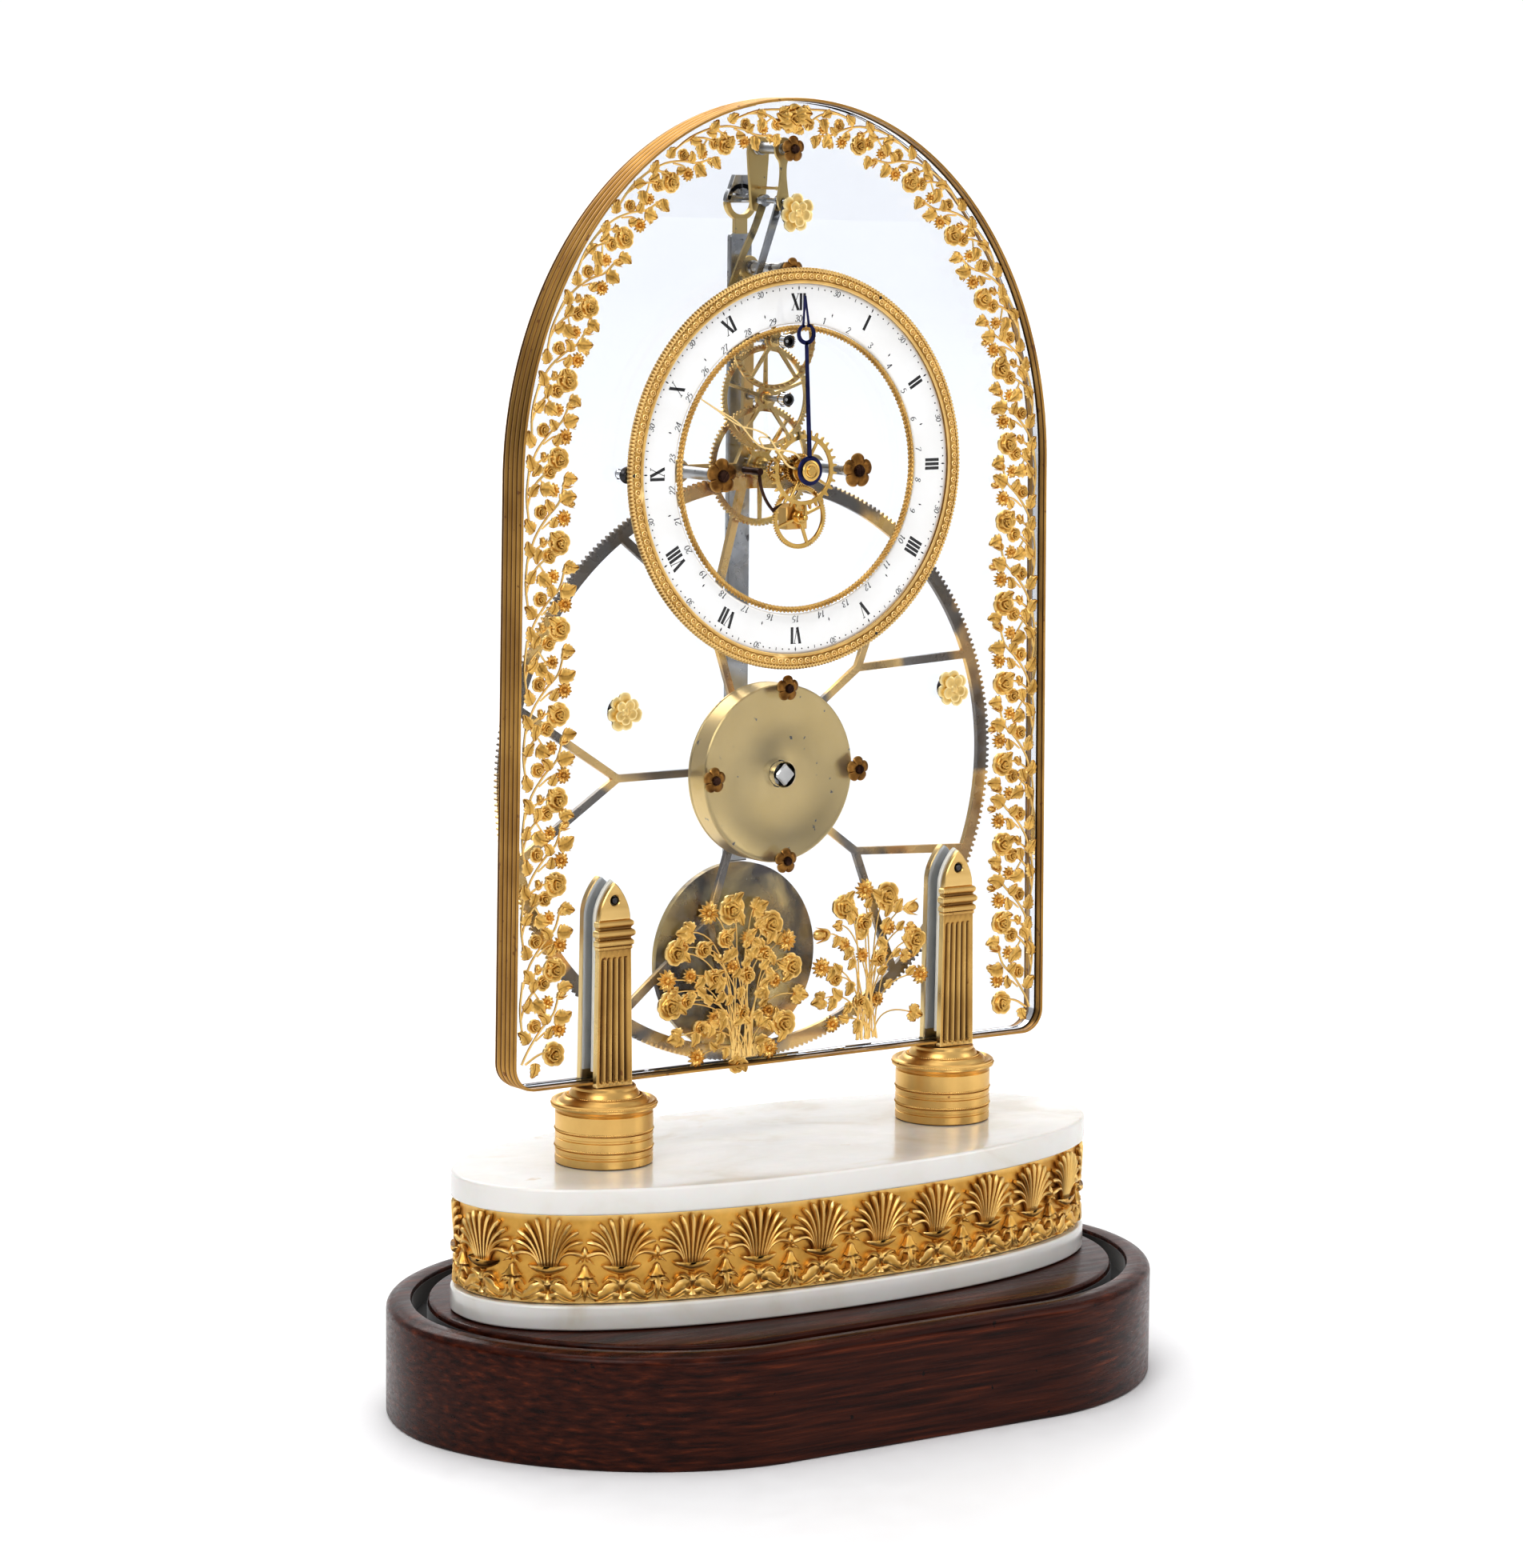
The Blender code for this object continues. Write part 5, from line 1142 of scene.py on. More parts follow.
INK_FRONT = ENAMEL_FRONT - 0.05
INK_BACK = ENAMEL_FRONT + 0.06
ROMAN_R, ROMAN_H = 58.5, 5.7
MARKS_R = 63.3                  # lozenges, dots and quarter strokes outside the hours
INNER_MARKS_R = 55.3
THIRTY_R, THIRTY_H = 63.1, 2.1
DAYS_R, DAYS_H = 52.7, 2.3
ITALIC = 0.15


def stroke(start, end, half):
    return strip([Vector(start), Vector(end)], half, INK_FRONT, INK_BACK)


def roman(text, height):
    """A Roman numeral in thick and thin strokes with hairline serifs."""
    thick, thin, serif = 0.52, 0.1, 0.09
    widths = {"I": 1.5, "V": 3.0, "X": 3.2}
    x = -sum(widths[c] for c in text) / 2
    forms = []
    low, high = -height / 2, height / 2
    for c in text:
        end = x + widths[c]
        middle = x + widths[c] / 2
        if c == "I":
            strokes = [((middle, low), (middle, high), thick)]
            caps = [(middle, low, 0.5), (middle, high, 0.5)]
        elif c == "V":
            strokes = [((x + 0.35, high), (middle + 0.05, low), thick),
                       ((end - 0.3, high), (middle + 0.1, low), thin)]
            caps = [(x + 0.4, high, 0.6), (end - 0.35, high, 0.5)]
        else:
            strokes = [((x + 0.35, high), (end - 0.35, low), thick), ((end - 0.35, high), (x + 0.35, low), thin)]
            caps = [(x + 0.4, high, 0.6), (end - 0.4, high, 0.5), (x + 0.4, low, 0.5), (end - 0.4, low, 0.6)]
        strokes += [((cap_x - half, z), (cap_x + half, z), serif) for cap_x, z, half in caps]
        forms += [stroke(*line) for line in strokes]
        x = end
    return forms


def number(text, height):
    """A number in pen strokes, thick where they run up and down."""
    forms = []
    advance = 0.66 * height
    x = -advance * len(text) / 2 + 0.03 * height
    for c in text:
        path = [Vector((x + px * height, (py - 0.5) * height)) for px, py in DIGITS[c]]
        half = lambda t, along: height * (0.022 + 0.055 * abs(along[1]) ** 1.5)
        forms.append(strip(smooth(path, 5), half, INK_FRONT, INK_BACK))
        x += advance
    return forms


def lozenge(half_w, half_h):
    return plate([[(half_w, 0), (0, half_h), (-half_w, 0), (0, -half_h)]], INK_FRONT, INK_BACK, 0.01)


def build_enamel():
    front, back, inner = ENAMEL_FRONT, ENAMEL_BACK, ENAMEL_INNER_R
    face = [(ENAMEL_R, back), (ENAMEL_R, front + 0.35), (ENAMEL_R - 0.5, front + 0.08), (ENAMEL_R - 1.2, front),
            (inner + 0.9, front), (inner + 0.3, front + 0.1), (inner, front + 0.4), (inner, back)]
    piece("enamel_dial", Shape().add(turned(face, 0, DIAL_Z, 180, closed=True)), ENAMEL, "dial_ring")


def build_numerals():
    bold, fine = Shape(), Shape()
    for k, text in enumerate(ROMAN):
        degrees = 30 * (k + 1)
        for form in roman(text, ROMAN_H):
            bold.add(on_dial(ROMAN_R, degrees, form))
        bold.add(on_dial(MARKS_R, degrees, lozenge(0.3, 0.85)))
        bold.add(on_dial(INNER_MARKS_R, degrees + 15, lozenge(0.26, 0.75)))
        for form in number("30", THIRTY_H):
            fine.add(on_dial(THIRTY_R, degrees + 15, form, ITALIC))
        for m in range(1, 12):
            if m in (3, 9):
                bold.add(on_dial(MARKS_R, degrees + 2.5 * m, stroke((0, -0.55), (0, 0.55), 0.11)))
            elif m != 6:
                dot = plate([circle(0.27, 10)], INK_FRONT, INK_BACK, 0.01)
                bold.add(on_dial(MARKS_R, degrees + 2.5 * m, dot))
    for day in range(1, 31):
        for form in number(str(day), DAYS_H):
            fine.add(on_dial(DAYS_R, 12 * day, form, ITALIC))
    piece("dial_numerals", bold, INK, body="root", slot="dial_ink", crease=60)
    piece("calendar_numerals", fine, PALE_INK, body="root", slot="dial_ink", crease=60)


BEZEL_BEADS = 330
BEZEL_PEARLS = 146
RIM_STRANDS = 196


def build_bezel():
    """The bezel's mouldings, its beaded edge, and a ring of pearls in small loops."""
    front, back = BEZEL.low.y, BEZEL.high.y
    r = ENAMEL_R + 0.3
    profile = [(r, back), (r, front + 0.6), (r - 0.6, front + 0.55), (r - 0.55, front + 0.25), (r, front + 0.05),
               (r + 0.5, front + 0.2), (r + 0.7, front + 0.42), (r + 1.6, front + 0.18), (r + 2.2, front + 0.14),
               (r + 3.0, front + 0.3), (r + 3.5, front + 0.5), (r + 3.7, front + 0.25), (r + 4.0, front + 0.2),
               (BEZEL_R - 0.8, front + 0.5), (BEZEL_R - 0.8, back)]
    shape = Shape().add(turned(profile, 0, DIAL_Z, 240, closed=True))
    edge_y = (front + back) / 2
    milled = [(BEZEL_R - 1.1, front + 0.25), (BEZEL_R - 0.5, front + 0.3), (BEZEL_R, front + 0.9),
              (BEZEL_R, edge_y + 0.3), (BEZEL_R - 0.3, back - 0.5), (BEZEL_R - 0.9, back - 0.2)]
    wave = lambda a, h: 1 - 0.009 * (1 - abs(cos(BEZEL_BEADS / 2 * a)))
    shape.add(turned(milled, 0, DIAL_Z, BEZEL_BEADS * 4, closed=True, ripple=wave))
    loop = rope(0.86, 0.27, 0, 12, sides=5)
    pearl = dome(lambda a: 0.44, lambda s, a: 0.62 * (1 - s * s), -0.3, 2, 7)
    for i in range(BEZEL_PEARLS):
        x, z = polar(r + 1.95, 360 * i / BEZEL_PEARLS, (0, DIAL_Z))
        shape.add(loop, facing(x, z, front + 0.1))
        shape.add(pearl, facing(x, z, front + 0.15))
    piece("milled_bezel", shape, MATTE_GILT, "dial_bezel", crease=50)


def build_inner_rim():
    twist = rope(RIM_OUTER_R - RIM_THICK, RIM_THICK, RIM_STRANDS, RIM_STRANDS * 6, 4, 0.3, 12)
    shape = Shape().add(twist, facing(0, DIAL_Z, RIM.low.y + RIM_THICK))
    piece("rope_twist_rim", shape, MATTE_GILT, "dial_inner_rim", crease=60)


def build_dial_pillars():
    for name in ("left", "upper", "lower"):
        box = Extent(name + "_dial_pillar")
        x, z, near, far = box.mid.x, box.mid.z, box.low.y, box.high.y
        ball = [(0, near), (1.4, near + 0.15), (2.4, near + 0.75), (2.95, near + 1.6), (2.7, near + 2.3),
                (2.2, near + 2.8), (2.1, GLASS_SEAT), (1.0, GLASS_SEAT), (1.0, far), (0, far)]
        shape = Shape().add(turned(ball, x, z, 28))
        slotted_head(x, z, BEZEL.low.y + 0.4, 0.62, 0.35, shape)
        piece(name + "_ball_pillar", shape, DARK_STEEL, name + "_dial_pillar")


# ---------------------------------------------------------------- hands

HOUR_HAND_LAG = 2.6             # degrees before XII
HOUR_HAND_FRONT, HOUR_HAND_BACK = -16.6, -16.0
HOUR_HAND_RING_Z, HOUR_HAND_TIP_Z = 47.8, 61.0
DATE = 25
DATE_HAND_KNOTS = ((1.5, 3.7), (2.5, 8.5), (0.2, 15), (-2.1, 21), (-1.7, 26.5), (0.15, 33), (0.45, 38.5), (0.12, 44),
                   (0.03, 52))


def build_hour_hand():
    """A thin shaft, an open ring and a tip of two joined legs, all above a round boss."""
    front, back, ring = HOUR_HAND_FRONT, HOUR_HAND_BACK, HOUR_HAND_RING_Z
    shape = Shape().add(plate([circle(5.2, 48), circle(2.4, 24)], front, back, 0.2, z=DIAL_Z))
    up = at(0, 0, DIAL_Z) @ Matrix.Rotation(radians(-HOUR_HAND_LAG), 4, "Y")
    shaft = course(((0, 4.6), (0, 20), (0, 34), (0, ring - 3.0)), 4)
    shape.add(strip(shaft, lambda t, d: 0.78 - 0.22 * t, front, back), up)
    path = [Vector(p) for p in arc(3.15, -248, 68, 40, (0, ring))]
    path = [path[0] + Vector((0.75, -0.35))] + path + [path[-1] + Vector((-0.75, -0.35))]
    shape.add(strip(path, lambda t, d: 0.3 + 0.4 * sin(pi * t) ** 0.5, front, back), up)
    for side in (-1, 1):
        leg = course(((1.3, ring + 2.2), (0.95, ring + 5), (0.5, ring + 9), (0.06, HOUR_HAND_TIP_Z)), 5, side)
        shape.add(strip(leg, lambda t, d: 0.34 - 0.16 * t, front, back), up)
    piece("blued_hour_hand", shape, BLUED_STEEL, "hour_hand")


def build_hand_collet():
    front, back = HOUR_HAND_FRONT, HOUR_HAND_BACK
    profile = [(0, back + 0.1), (2.6, back + 0.1), (3.2, front - 0.1), (3.6, front - 0.25), (3.7, front - 0.5),
               (3.4, front - 0.75), (2.3, front - 0.85), (2.0, front - 0.7), (0, front - 0.7)]
    collet = Shape().add(turned(profile, 0, DIAL_Z, 48))
    slotted_head(0, DIAL_Z, front - 0.7, 1.75, abs(Extent("hour_hand").low.y - front) - 0.75, collet, turn=-38)
    piece("hour_hand_collet", collet, WHEEL_BRASS, body="hour_hand", slot="polished_brass")


def build_date_hand():
    """Two thin arms that cross, with a small bow between them."""
    front, back = ends("date_hand", 1)
    degrees = 360 * DATE / 30
    hand = Shape().add(plate([circle(4.2, 40), circle(2.65, 32)], front, back, 0.1, z=DIAL_Z))
    for side in (-1, 1):
        lift = 0.06 * (side > 0)
        arm = strip(course(DATE_HAND_KNOTS, 6, side), lambda t, d: 0.36 - 0.16 * t, front + lift, back - 0.06 + lift)
        hand.add(on_dial(0, degrees, arm))
    bow = course(((-2.2, 20), (-0.6, 23.5), (0.6, 23.5), (2.2, 20)), 6)
    hand.add(on_dial(0, degrees, strip(bow, 0.22, front, back)))
    piece("pierced_date_hand", hand, MATTE_GILT, "date_hand")


# ---------------------------------------------------------------- barrel and great wheel

BARREL = Extent("barrel_drum")
BARREL_Z = BARREL.mid.z
BARREL_R = BARREL.size.x / 2
GREAT = Extent("great_wheel")


def flower_nut(name, r, x, z, slot, behind, k=1):
    """A five-petalled nut, ribbed from its middle, held by a slotted screw."""
    depth = GLASS_SEAT - Extent(name).low.y

    def reach(a):
        return r * (1 - 0.26 * (1 - abs(cos(2.5 * a)) ** 0.5))

    def rise(s, a):
        rib = 0.12 * cos(35 * a) * s * (1 - s) * 4
        return depth * (0.28 + 0.26 * sin(pi * min(1, s * 1.05)) + 0.1 * rib) * (1 - 0.75 * s ** 8)

    petals = Shape().add(dome(reach, rise, 0.0, 9, 120), facing(x, z, GLASS_SEAT, pi / 2))
    piece(name + "_petals", petals, BROWN_BRASS, name)
    screw = Shape().add(turned(behind, x, z, 20))
    slotted_head(x, z, GLASS_SEAT - depth * 0.3, r * 0.36, depth * 0.66, screw, turn=55 + 40 * k)
    piece(name + "_screw", screw, BROWN_STEEL, body="root", slot=slot)


def shank(far):
    """A screw's shank from its seat on the glass to a depth along Y."""
    return [(0, GLASS_SEAT), (1.1, GLASS_SEAT), (1.1, far), (0, far)]


BARREL_BORE = 3.7
BARREL_WALL = 1.6
SMALL_NUT_R = 4.65
RATCHET_TEETH = 24
RATCHET_FRONT, RATCHET_BACK = 16, 17.6


def build_barrel():
    front, cover = BARREL.low.y, BARREL.high.y
    bore, r, inside = BARREL_BORE, BARREL_R, BARREL_R - BARREL_WALL
    drum = [(bore, front), (bore + 3.2, front), (bore + 3.6, front + 0.15), (r - 2.2, front + 0.15),
            (r - 1.9, front), (r - 0.4, front), (r, front + 0.4), (r, cover - 0.25), (r - 0.3, cover),
            (inside, cover), (inside, front + 1.3), (bore, front + 1.3)]
    piece("spring_barrel", Shape().add(turned(drum, 0, BARREL_Z, 180, closed=True)), PALE_BRASS, "barrel_drum")
    near, far = ends("barrel_cover", 1)
    lid = [(bore, near), (r - 0.3, near), (r, near + 0.25), (r, far - 0.35), (r - 0.4, far), (9.2, far),
           (9.0, far - 0.3), (8.4, far - 0.3), (8.2, far), (bore, far)]
    piece("barrel_lid", Shape().add(turned(lid, 0, BARREL_Z, 180, closed=True)), PALE_BRASS, "barrel_cover")
    for k, side in enumerate(("top", "right", "bottom", "left")):
        name = "barrel_nut_" + side
        box = Extent(name)
        flower_nut(name, SMALL_NUT_R, box.mid.x, box.mid.z, "dark_brass", shank(box.high.y), k)


def build_winding_arbor():
    """The arbor with its winding square in front and its ratchet behind."""
    low, high = ends("winding_arbor", 1)
    arbor = Shape().add(turned([(0, 2.9), (4.0, 2.9), (4.0, 3.3), (3.0, 3.6), (3.0, high - 0.4), (2.7, high),
                                (0, high)], 0, BARREL_Z, 40))
    square = []
    for corner in range(4):
        square += arc(1.5, 90 * corner - 22, 90 * corner + 22, 5, polar(2.45, 90 * corner))
    arbor.add(plate([square], low, 3.1, 0.5, 0, BARREL_Z))
    arbor.add(turned([(0, -0.6), (3.75, -0.6), (3.95, -0.3), (3.95, 3.0), (0, 3.0)], 0, BARREL_Z, 40))
    teeth = []
    for i in range(RATCHET_TEETH):
        teeth += [polar(r, 15 * i + degrees) for r, degrees in ((7.8, 0.5), (8.95, 12.2), (8.85, 13.2))]
    arbor.add(plate([teeth], RATCHET_FRONT, RATCHET_BACK, 0.12, 0, BARREL_Z))
    piece("winding_square", arbor, BRIGHT_STEEL, "winding_arbor")


def forked_windows(hub, fork, rim, arms, spread, half, phase):
    """The openings of a wheel whose arms split in two before the rim."""

    def edge(start, end, shift):
        """A line moved sideways by the shift: a point on it and its direction."""
        start, end = Vector(start), Vector(end)
        along = (end - start).normalized()
        return start + Vector((-along.y, along.x)) * shift, along

    def crossing(p, u, q, v):
        return p + u * ((q - p).cross(v) / u.cross(v))

    made = []
    pitch = 360 / arms
    for i in range(arms):
        middle = phase + pitch * i
        following = middle + pitch
        here, there = polar(fork, middle), polar(fork, following)
        left, right = polar(rim, middle + spread), polar(rim, middle - spread)
        margin = half_angle(half, rim) * 1.2
        apex = crossing(*edge(here, left, -half), *edge(here, right, half))
        reach = spread - margin
        made.append([tuple(apex)] + arc(rim, middle - reach, middle + reach, 16))
        corner = crossing(*edge((0, 0), here, half), *edge(here, left, half))
        next_end = polar(rim, following - spread)
        next_corner = crossing(*edge((0, 0), there, -half), *edge(there, next_end, -half))
        near = half_angle(half, hub)
        made.append([tuple(corner)] + arc(rim, middle + spread + margin, following - spread - margin, 24)
                    + [tuple(next_corner)] + arc(hub, following - near, middle + near, 14))
    return made


GREAT_PITCH_R, GREAT_PITCH = 105.23, 2.12
GREAT_TEETH = 312
GREAT_ROOT_R = GREAT_PITCH_R - 0.42 * GREAT_PITCH
GREAT_TIP_R = GREAT_PITCH_R + 0.17 * GREAT_PITCH
GREAT_RIM_W = 4.2
GREAT_HUB_R, GREAT_FORK_R = 17.0, 57.0
CLICK_X, CLICK_RISE = 11.5, 8.5         # from the barrel's middle


def build_great_wheel():
    outlines = [gear(GREAT_TEETH, GREAT_ROOT_R, GREAT_TIP_R)]
    outlines += forked_windows(GREAT_HUB_R, GREAT_FORK_R, GREAT_ROOT_R - GREAT_RIM_W, 5, 15, 1.35, 180)
    outlines.append(circle(3.35, 32))
    piece("great_wheel_casting", Shape().add(plate(outlines, GREAT.low.y, GREAT.high.y, 0.1, 0, BARREL_Z)),
          PATCHY_BRASS, "great_wheel")


def build_click():
    low, high = ends("click", 1)
    angle = atan2(CLICK_RISE, CLICK_X)
    nose = (9.45 * cos(angle - 0.62) - CLICK_X, 9.45 * sin(angle - 0.62) - CLICK_RISE)
    outline = [nose, (nose[0] + 1.3, nose[1] - 0.5)] + arc(2.15, -60, 120, 16)
    z = BARREL_Z + CLICK_RISE
    shape = Shape().add(plate([outline], RATCHET_FRONT, RATCHET_BACK, 0.15, CLICK_X, z))
    shape.add(turned([(0, low), (0.8, low), (1.1, low + 0.25), (1.1, high), (0, high)], CLICK_X, z, 20))
    piece("ratchet_click", shape, SPOTTED_STEEL, "click")


# ---------------------------------------------------------------- going train

FRONT_PIVOT_R, REAR_PIVOT_R, PIVOT_TIP_R = 0.6, 0.8, 0.5
REAR_PLATE_Y = 24.1


def pinion(r, pitch, leaves, front, back, phase, x, z):
    return plate([gear(leaves, r - 0.34 * pitch, r + 0.19 * pitch, phase, 0.42)], front, back, 0.05, x, z)


def train_wheel(r, pitch, teeth, hub, arms, half, front, back, phase, spoke_phase, z, x=0.0, rim=1.4):
    root = r - 0.42 * pitch
    outlines = [gear(teeth, root, r + 0.16 * pitch, phase)]
    outlines += spokes(hub, root - rim, arms, half, half * 0.7, spoke_phase)
    return plate(outlines, front, back, 0.08, x, z)


def rear_end(high):
    """An arbor's end behind: its shoulder at the rear plate and its pivot."""
    return [(REAR_PIVOT_R, REAR_PLATE_Y), (REAR_PIVOT_R, high - 0.2), (PIVOT_TIP_R, high), (0, high)]


def build_center_arbor():
    z = Extent("center_arbor").mid.z
    low, high = ends("center_arbor", 1)
    steel = Shape().add(turned([(0, low), (FRONT_PIVOT_R, low), (0.8, low + 0.3), (0.8, -3.4), (1.6, -2.8),
                                (1.6, REAR_PLATE_Y)] + rear_end(high), 0, z, 24))
    steel.add(pinion(3.37, 2.12, 10, 19.4, 22.4, -90 + 18, 0, z))
    steel.add(pinion(1.5, 1.18, 8, -5.6, -4.4, 180 + 22.5, 0, z))
    piece("center_arbor_pinion", steel, BRIGHT_STEEL, "center_arbor")
    wheel = Shape().add(train_wheel(21.33, 1.675, 80, 5.2, 5, 0.8, 16.4, 17.6, 90, 54, z, rim=1.6))
    wheel.add(turned([(0, 15.2), (2.6, 15.2), (3.0, 15.5), (3.0, 18.6), (0, 18.6)], 0, z, 32))
    piece("center_wheel", wheel, WHEEL_BRASS, body="center_arbor", slot="polished_brass")


def third_wheel(z, front, back):
    return Shape().add(train_wheel(18.55, 1.457, 80, 4.2, 5, 0.7, front, back, 90, 18, z))


ESCAPE_R = 17.5
ESCAPE_PINS = 45


def escape_wheel(z, front, back):
    """A plain rim with pins standing on its front."""
    outlines = [circle(ESCAPE_R, 120)] + spokes(3.6, ESCAPE_R - 1.9, 5, 0.7, 0.5, 18)
    wheel = Shape().add(plate(outlines, front, back, 0.12, 0, z))
    pin = [(0, 7.25), (0.25, 7.25), (0.4, 7.4), (0.4, 8.9), (0, 8.9)]
    for i in range(ESCAPE_PINS):
        wheel.add(turned(pin, *polar(ESCAPE_R - 1.0, 8 * (i + 0.5), (0, z)), 10))
    return wheel


TRAIN_ARBORS = (                # name, pinion radius, pitch, leaves, depths; wheel and its depths
    ("third_wheel", 2.67, 1.675, 10, (15.8, 18.2), third_wheel, (13.4, 14.6)),
    ("escape_wheel", 1.85, 1.457, 8, (12.9, 15.1), escape_wheel, (8.6, 9.8)))


def build_train():
    build_center_arbor()
    for name, pinion_r, pitch, leaves, pinion_ys, make_wheel, (front, back) in TRAIN_ARBORS:
        z = Extent(name).mid.z
        low, high = ends(name, 1)
        steel = Shape().add(turned([(0, low), (FRONT_PIVOT_R, low), (0.8, low + 0.2), (0.8, 3.8), (1.1, 4.0),
                                    (1.1, REAR_PLATE_Y)] + rear_end(high), 0, z, 20))
        steel.add(pinion(pinion_r, pitch, leaves, *pinion_ys, -90 + 180 / leaves, 0, z))
        piece(name + "_arbor", steel, BRIGHT_STEEL, name)
        wheel = make_wheel(z, front, back)
        near, far = front - 0.9, back + 0.3
        wheel.add(turned([(0, near), (2.0, near), (2.4, near + 0.3), (2.4, far), (0, far)], 0, z, 28))
        piece(name + "_brass", wheel, WHEEL_BRASS, body=name, slot="polished_brass")
        sleeve = [(1.55, -2.75), (2.1, -2.75), (2.15, 2.75), (1.55, 2.75)]
        piece(name + "_glass_bush", Shape().add(turned(sleeve, 0, z, 28, closed=True)), DARK_STEEL, body="root",
              slot="steel")


PLATE_LEFT, PLATE_RIGHT, PLATE_TOP = (-29.0, 328.3), (29.0, 328.3), (0.0, 399.5)
PLATE_EYE_R = 4.2
PLATE_ARM_HALF_W = 2.2
PLATE_LEAN = 32                 # degrees at which the arms meet the eyes


def build_rear_plate():
    """A three-armed plate with an eye at each end."""
    front, back = ends("rear_movement_plate", 1)
    left, right, top = PLATE_LEFT, PLATE_RIGHT, PLATE_TOP
    r, half, lean = PLATE_EYE_R, PLATE_ARM_HALF_W, PLATE_LEAN
    outline = arc(r, lean, 360 - lean, 30, left) + [(0, left[1] - half - 1.6)]
    outline += arc(r, 180 + lean, 540 - lean, 30, right) + [(5.2, right[1] + half), (half, right[1] + half + 6)]
    outline += arc(r, -90 + lean, 270 - lean, 30, top) + [(-half, left[1] + half + 6), (-5.2, left[1] + half)]
    holes = [circle(1.2, 16, p) for p in (left, right, top)]
    holes += [circle(1.05, 16, (0, Extent(n).mid.z)) for n in ("center_arbor", "third_wheel", "escape_wheel")]
    piece("rear_plate", Shape().add(plate([outline] + holes, front, back, 0.3)), PALE_BRASS, "rear_movement_plate")


def build_movement_pillars():
    column = [(0, 3.3), (2.5, 3.3), (2.6, 3.5), (2.6, 4.8), (2.15, 5.2), (2.15, 22.6), (2.6, 23.0),
              (2.6, REAR_PLATE_Y), (0.8, REAR_PLATE_Y), (0.8, 26.7), (0.5, 26.9), (0, 26.9)]
    for k, (side, nut_r) in enumerate((("left", 6.25), ("right", 6.25), ("top", 4.3))):
        name = side + "_movement_pillar"
        middle = Extent(name).mid
        flower_nut(name, nut_r, middle.x, middle.z, "dark_brass", shank(3.3), k)
        piece(name + "_column", Shape().add(turned(column, middle.x, middle.z, 32)), SPOTTED_STEEL, body="root",
              slot="dark_brass")


# ---------------------------------------------------------------- motion work and date work

HOUR_GEAR_YS = (-10.6, -9.4)
STAR_YS = (-13.0, -12.1)
JUMPER_FOOT_X = -18.8


def pipe(outer, inner, box, x, z, steps):
    """An open tube as long as a node's box."""
    near, far = box.low.y, box.high.y
    return turned([(outer, near), (outer, far), (inner, far), (inner, near)], x, z, steps, closed=True)


def stud(box, x, z, tip_r, r, chamfer, steps):
    near, far = box.low.y, box.high.y
    return turned([(0, near), (tip_r, near), (r, near + chamfer), (r, far), (0, far)], x, z, steps)


def build_minute_wheel():
    box = Extent("minute_wheel")
    x, z = box.mid.x, box.mid.z
    shape = Shape().add(stud(box, x, z, 0.5, 0.8, 0.2, 18))
    shape.add(train_wheel(4.5, 1.18, 24, 1.6, 4, 0.3, -5.4, -4.6, 0, 20, z, x, rim=0.5))
    shape.add(pinion(1.2, 1.257, 6, -7.7, -5.3, 30, x, z))
    piece("minute_wheel_brass", shape, WHEEL_BRASS, "minute_wheel")


def build_hour_wheel():
    box = Extent("hour_wheel")
    x, z = box.mid.x, box.mid.z
    shape = Shape().add(pipe(2.2, 1.4, box, x, z, 32))
    shape.add(plate([gear(24, 4.8 - 0.53, 4.8 + 0.2, 180), circle(1.8, 24)], -7.4, -6.7, 0.06, x, z))
    shape.add(plate([gear(36, 5.53 - 0.4, 5.53 + 0.15, -85), circle(1.8, 24)], *HOUR_GEAR_YS, 0.08, x, z))
    piece("hour_pipe", shape, WHEEL_BRASS, "hour_wheel")


def build_day_wheel():
    """The wheel that turns once a day, with the finger that moves the date."""
    box = Extent("day_wheel")
    z = box.mid.z
    shape = Shape().add(stud(box, 0, z, 0.6, 0.9, 0.3, 20))
    shape.add(turned([(0, -12.3), (1.8, -12.3), (2.1, -12.0), (2.1, -8.9), (0, -8.9)], 0, z, 28))
    outlines = [gear(72, 11.07 - 0.4, 11.07 + 0.15)] + spokes(2.7, 9.55, 4, 0.5, 0.42, 20)
    shape.add(plate(outlines, *HOUR_GEAR_YS, 0.08, 0, z))
    finger = [(-0.78, -0.9), (0.78, -0.9), (0.3, 4.4), (-0.3, 4.4)]
    shape.add(plate([finger], -14.2, -13.4, 0.08, 0, z))
    piece("day_wheel_brass", shape, WHEEL_BRASS, "day_wheel")


def build_date_wheel():
    box = Extent("date_wheel")
    z = box.mid.z
    shape = Shape().add(pipe(3.7, 2.6, box, 0, z, 36))
    outlines = [gear(30, 12.3, 14.0, fill=0.3)] + spokes(4.6, 10.9, 4, 0.5, 0.42, 60) + [circle(2.95, 32)]
    shape.add(plate(outlines, *STAR_YS, 0.06, 0, z))
    piece("date_star_wheel", shape, WHEEL_BRASS, "date_wheel")


def build_date_cock():
    box = Extent("date_cock")
    block = [(4.45, -4.45), (4.45, 3.2), (3.0, 4.45), (-3.0, 4.45), (-4.45, 3.2), (-4.45, -4.45)]
    shape = Shape().add(plate([block, circle(1.3, 20)], box.low.y, box.high.y, 0.35, box.mid.x, box.mid.z))
    piece("date_cock_block", shape, TURNED_GILT, "date_cock")


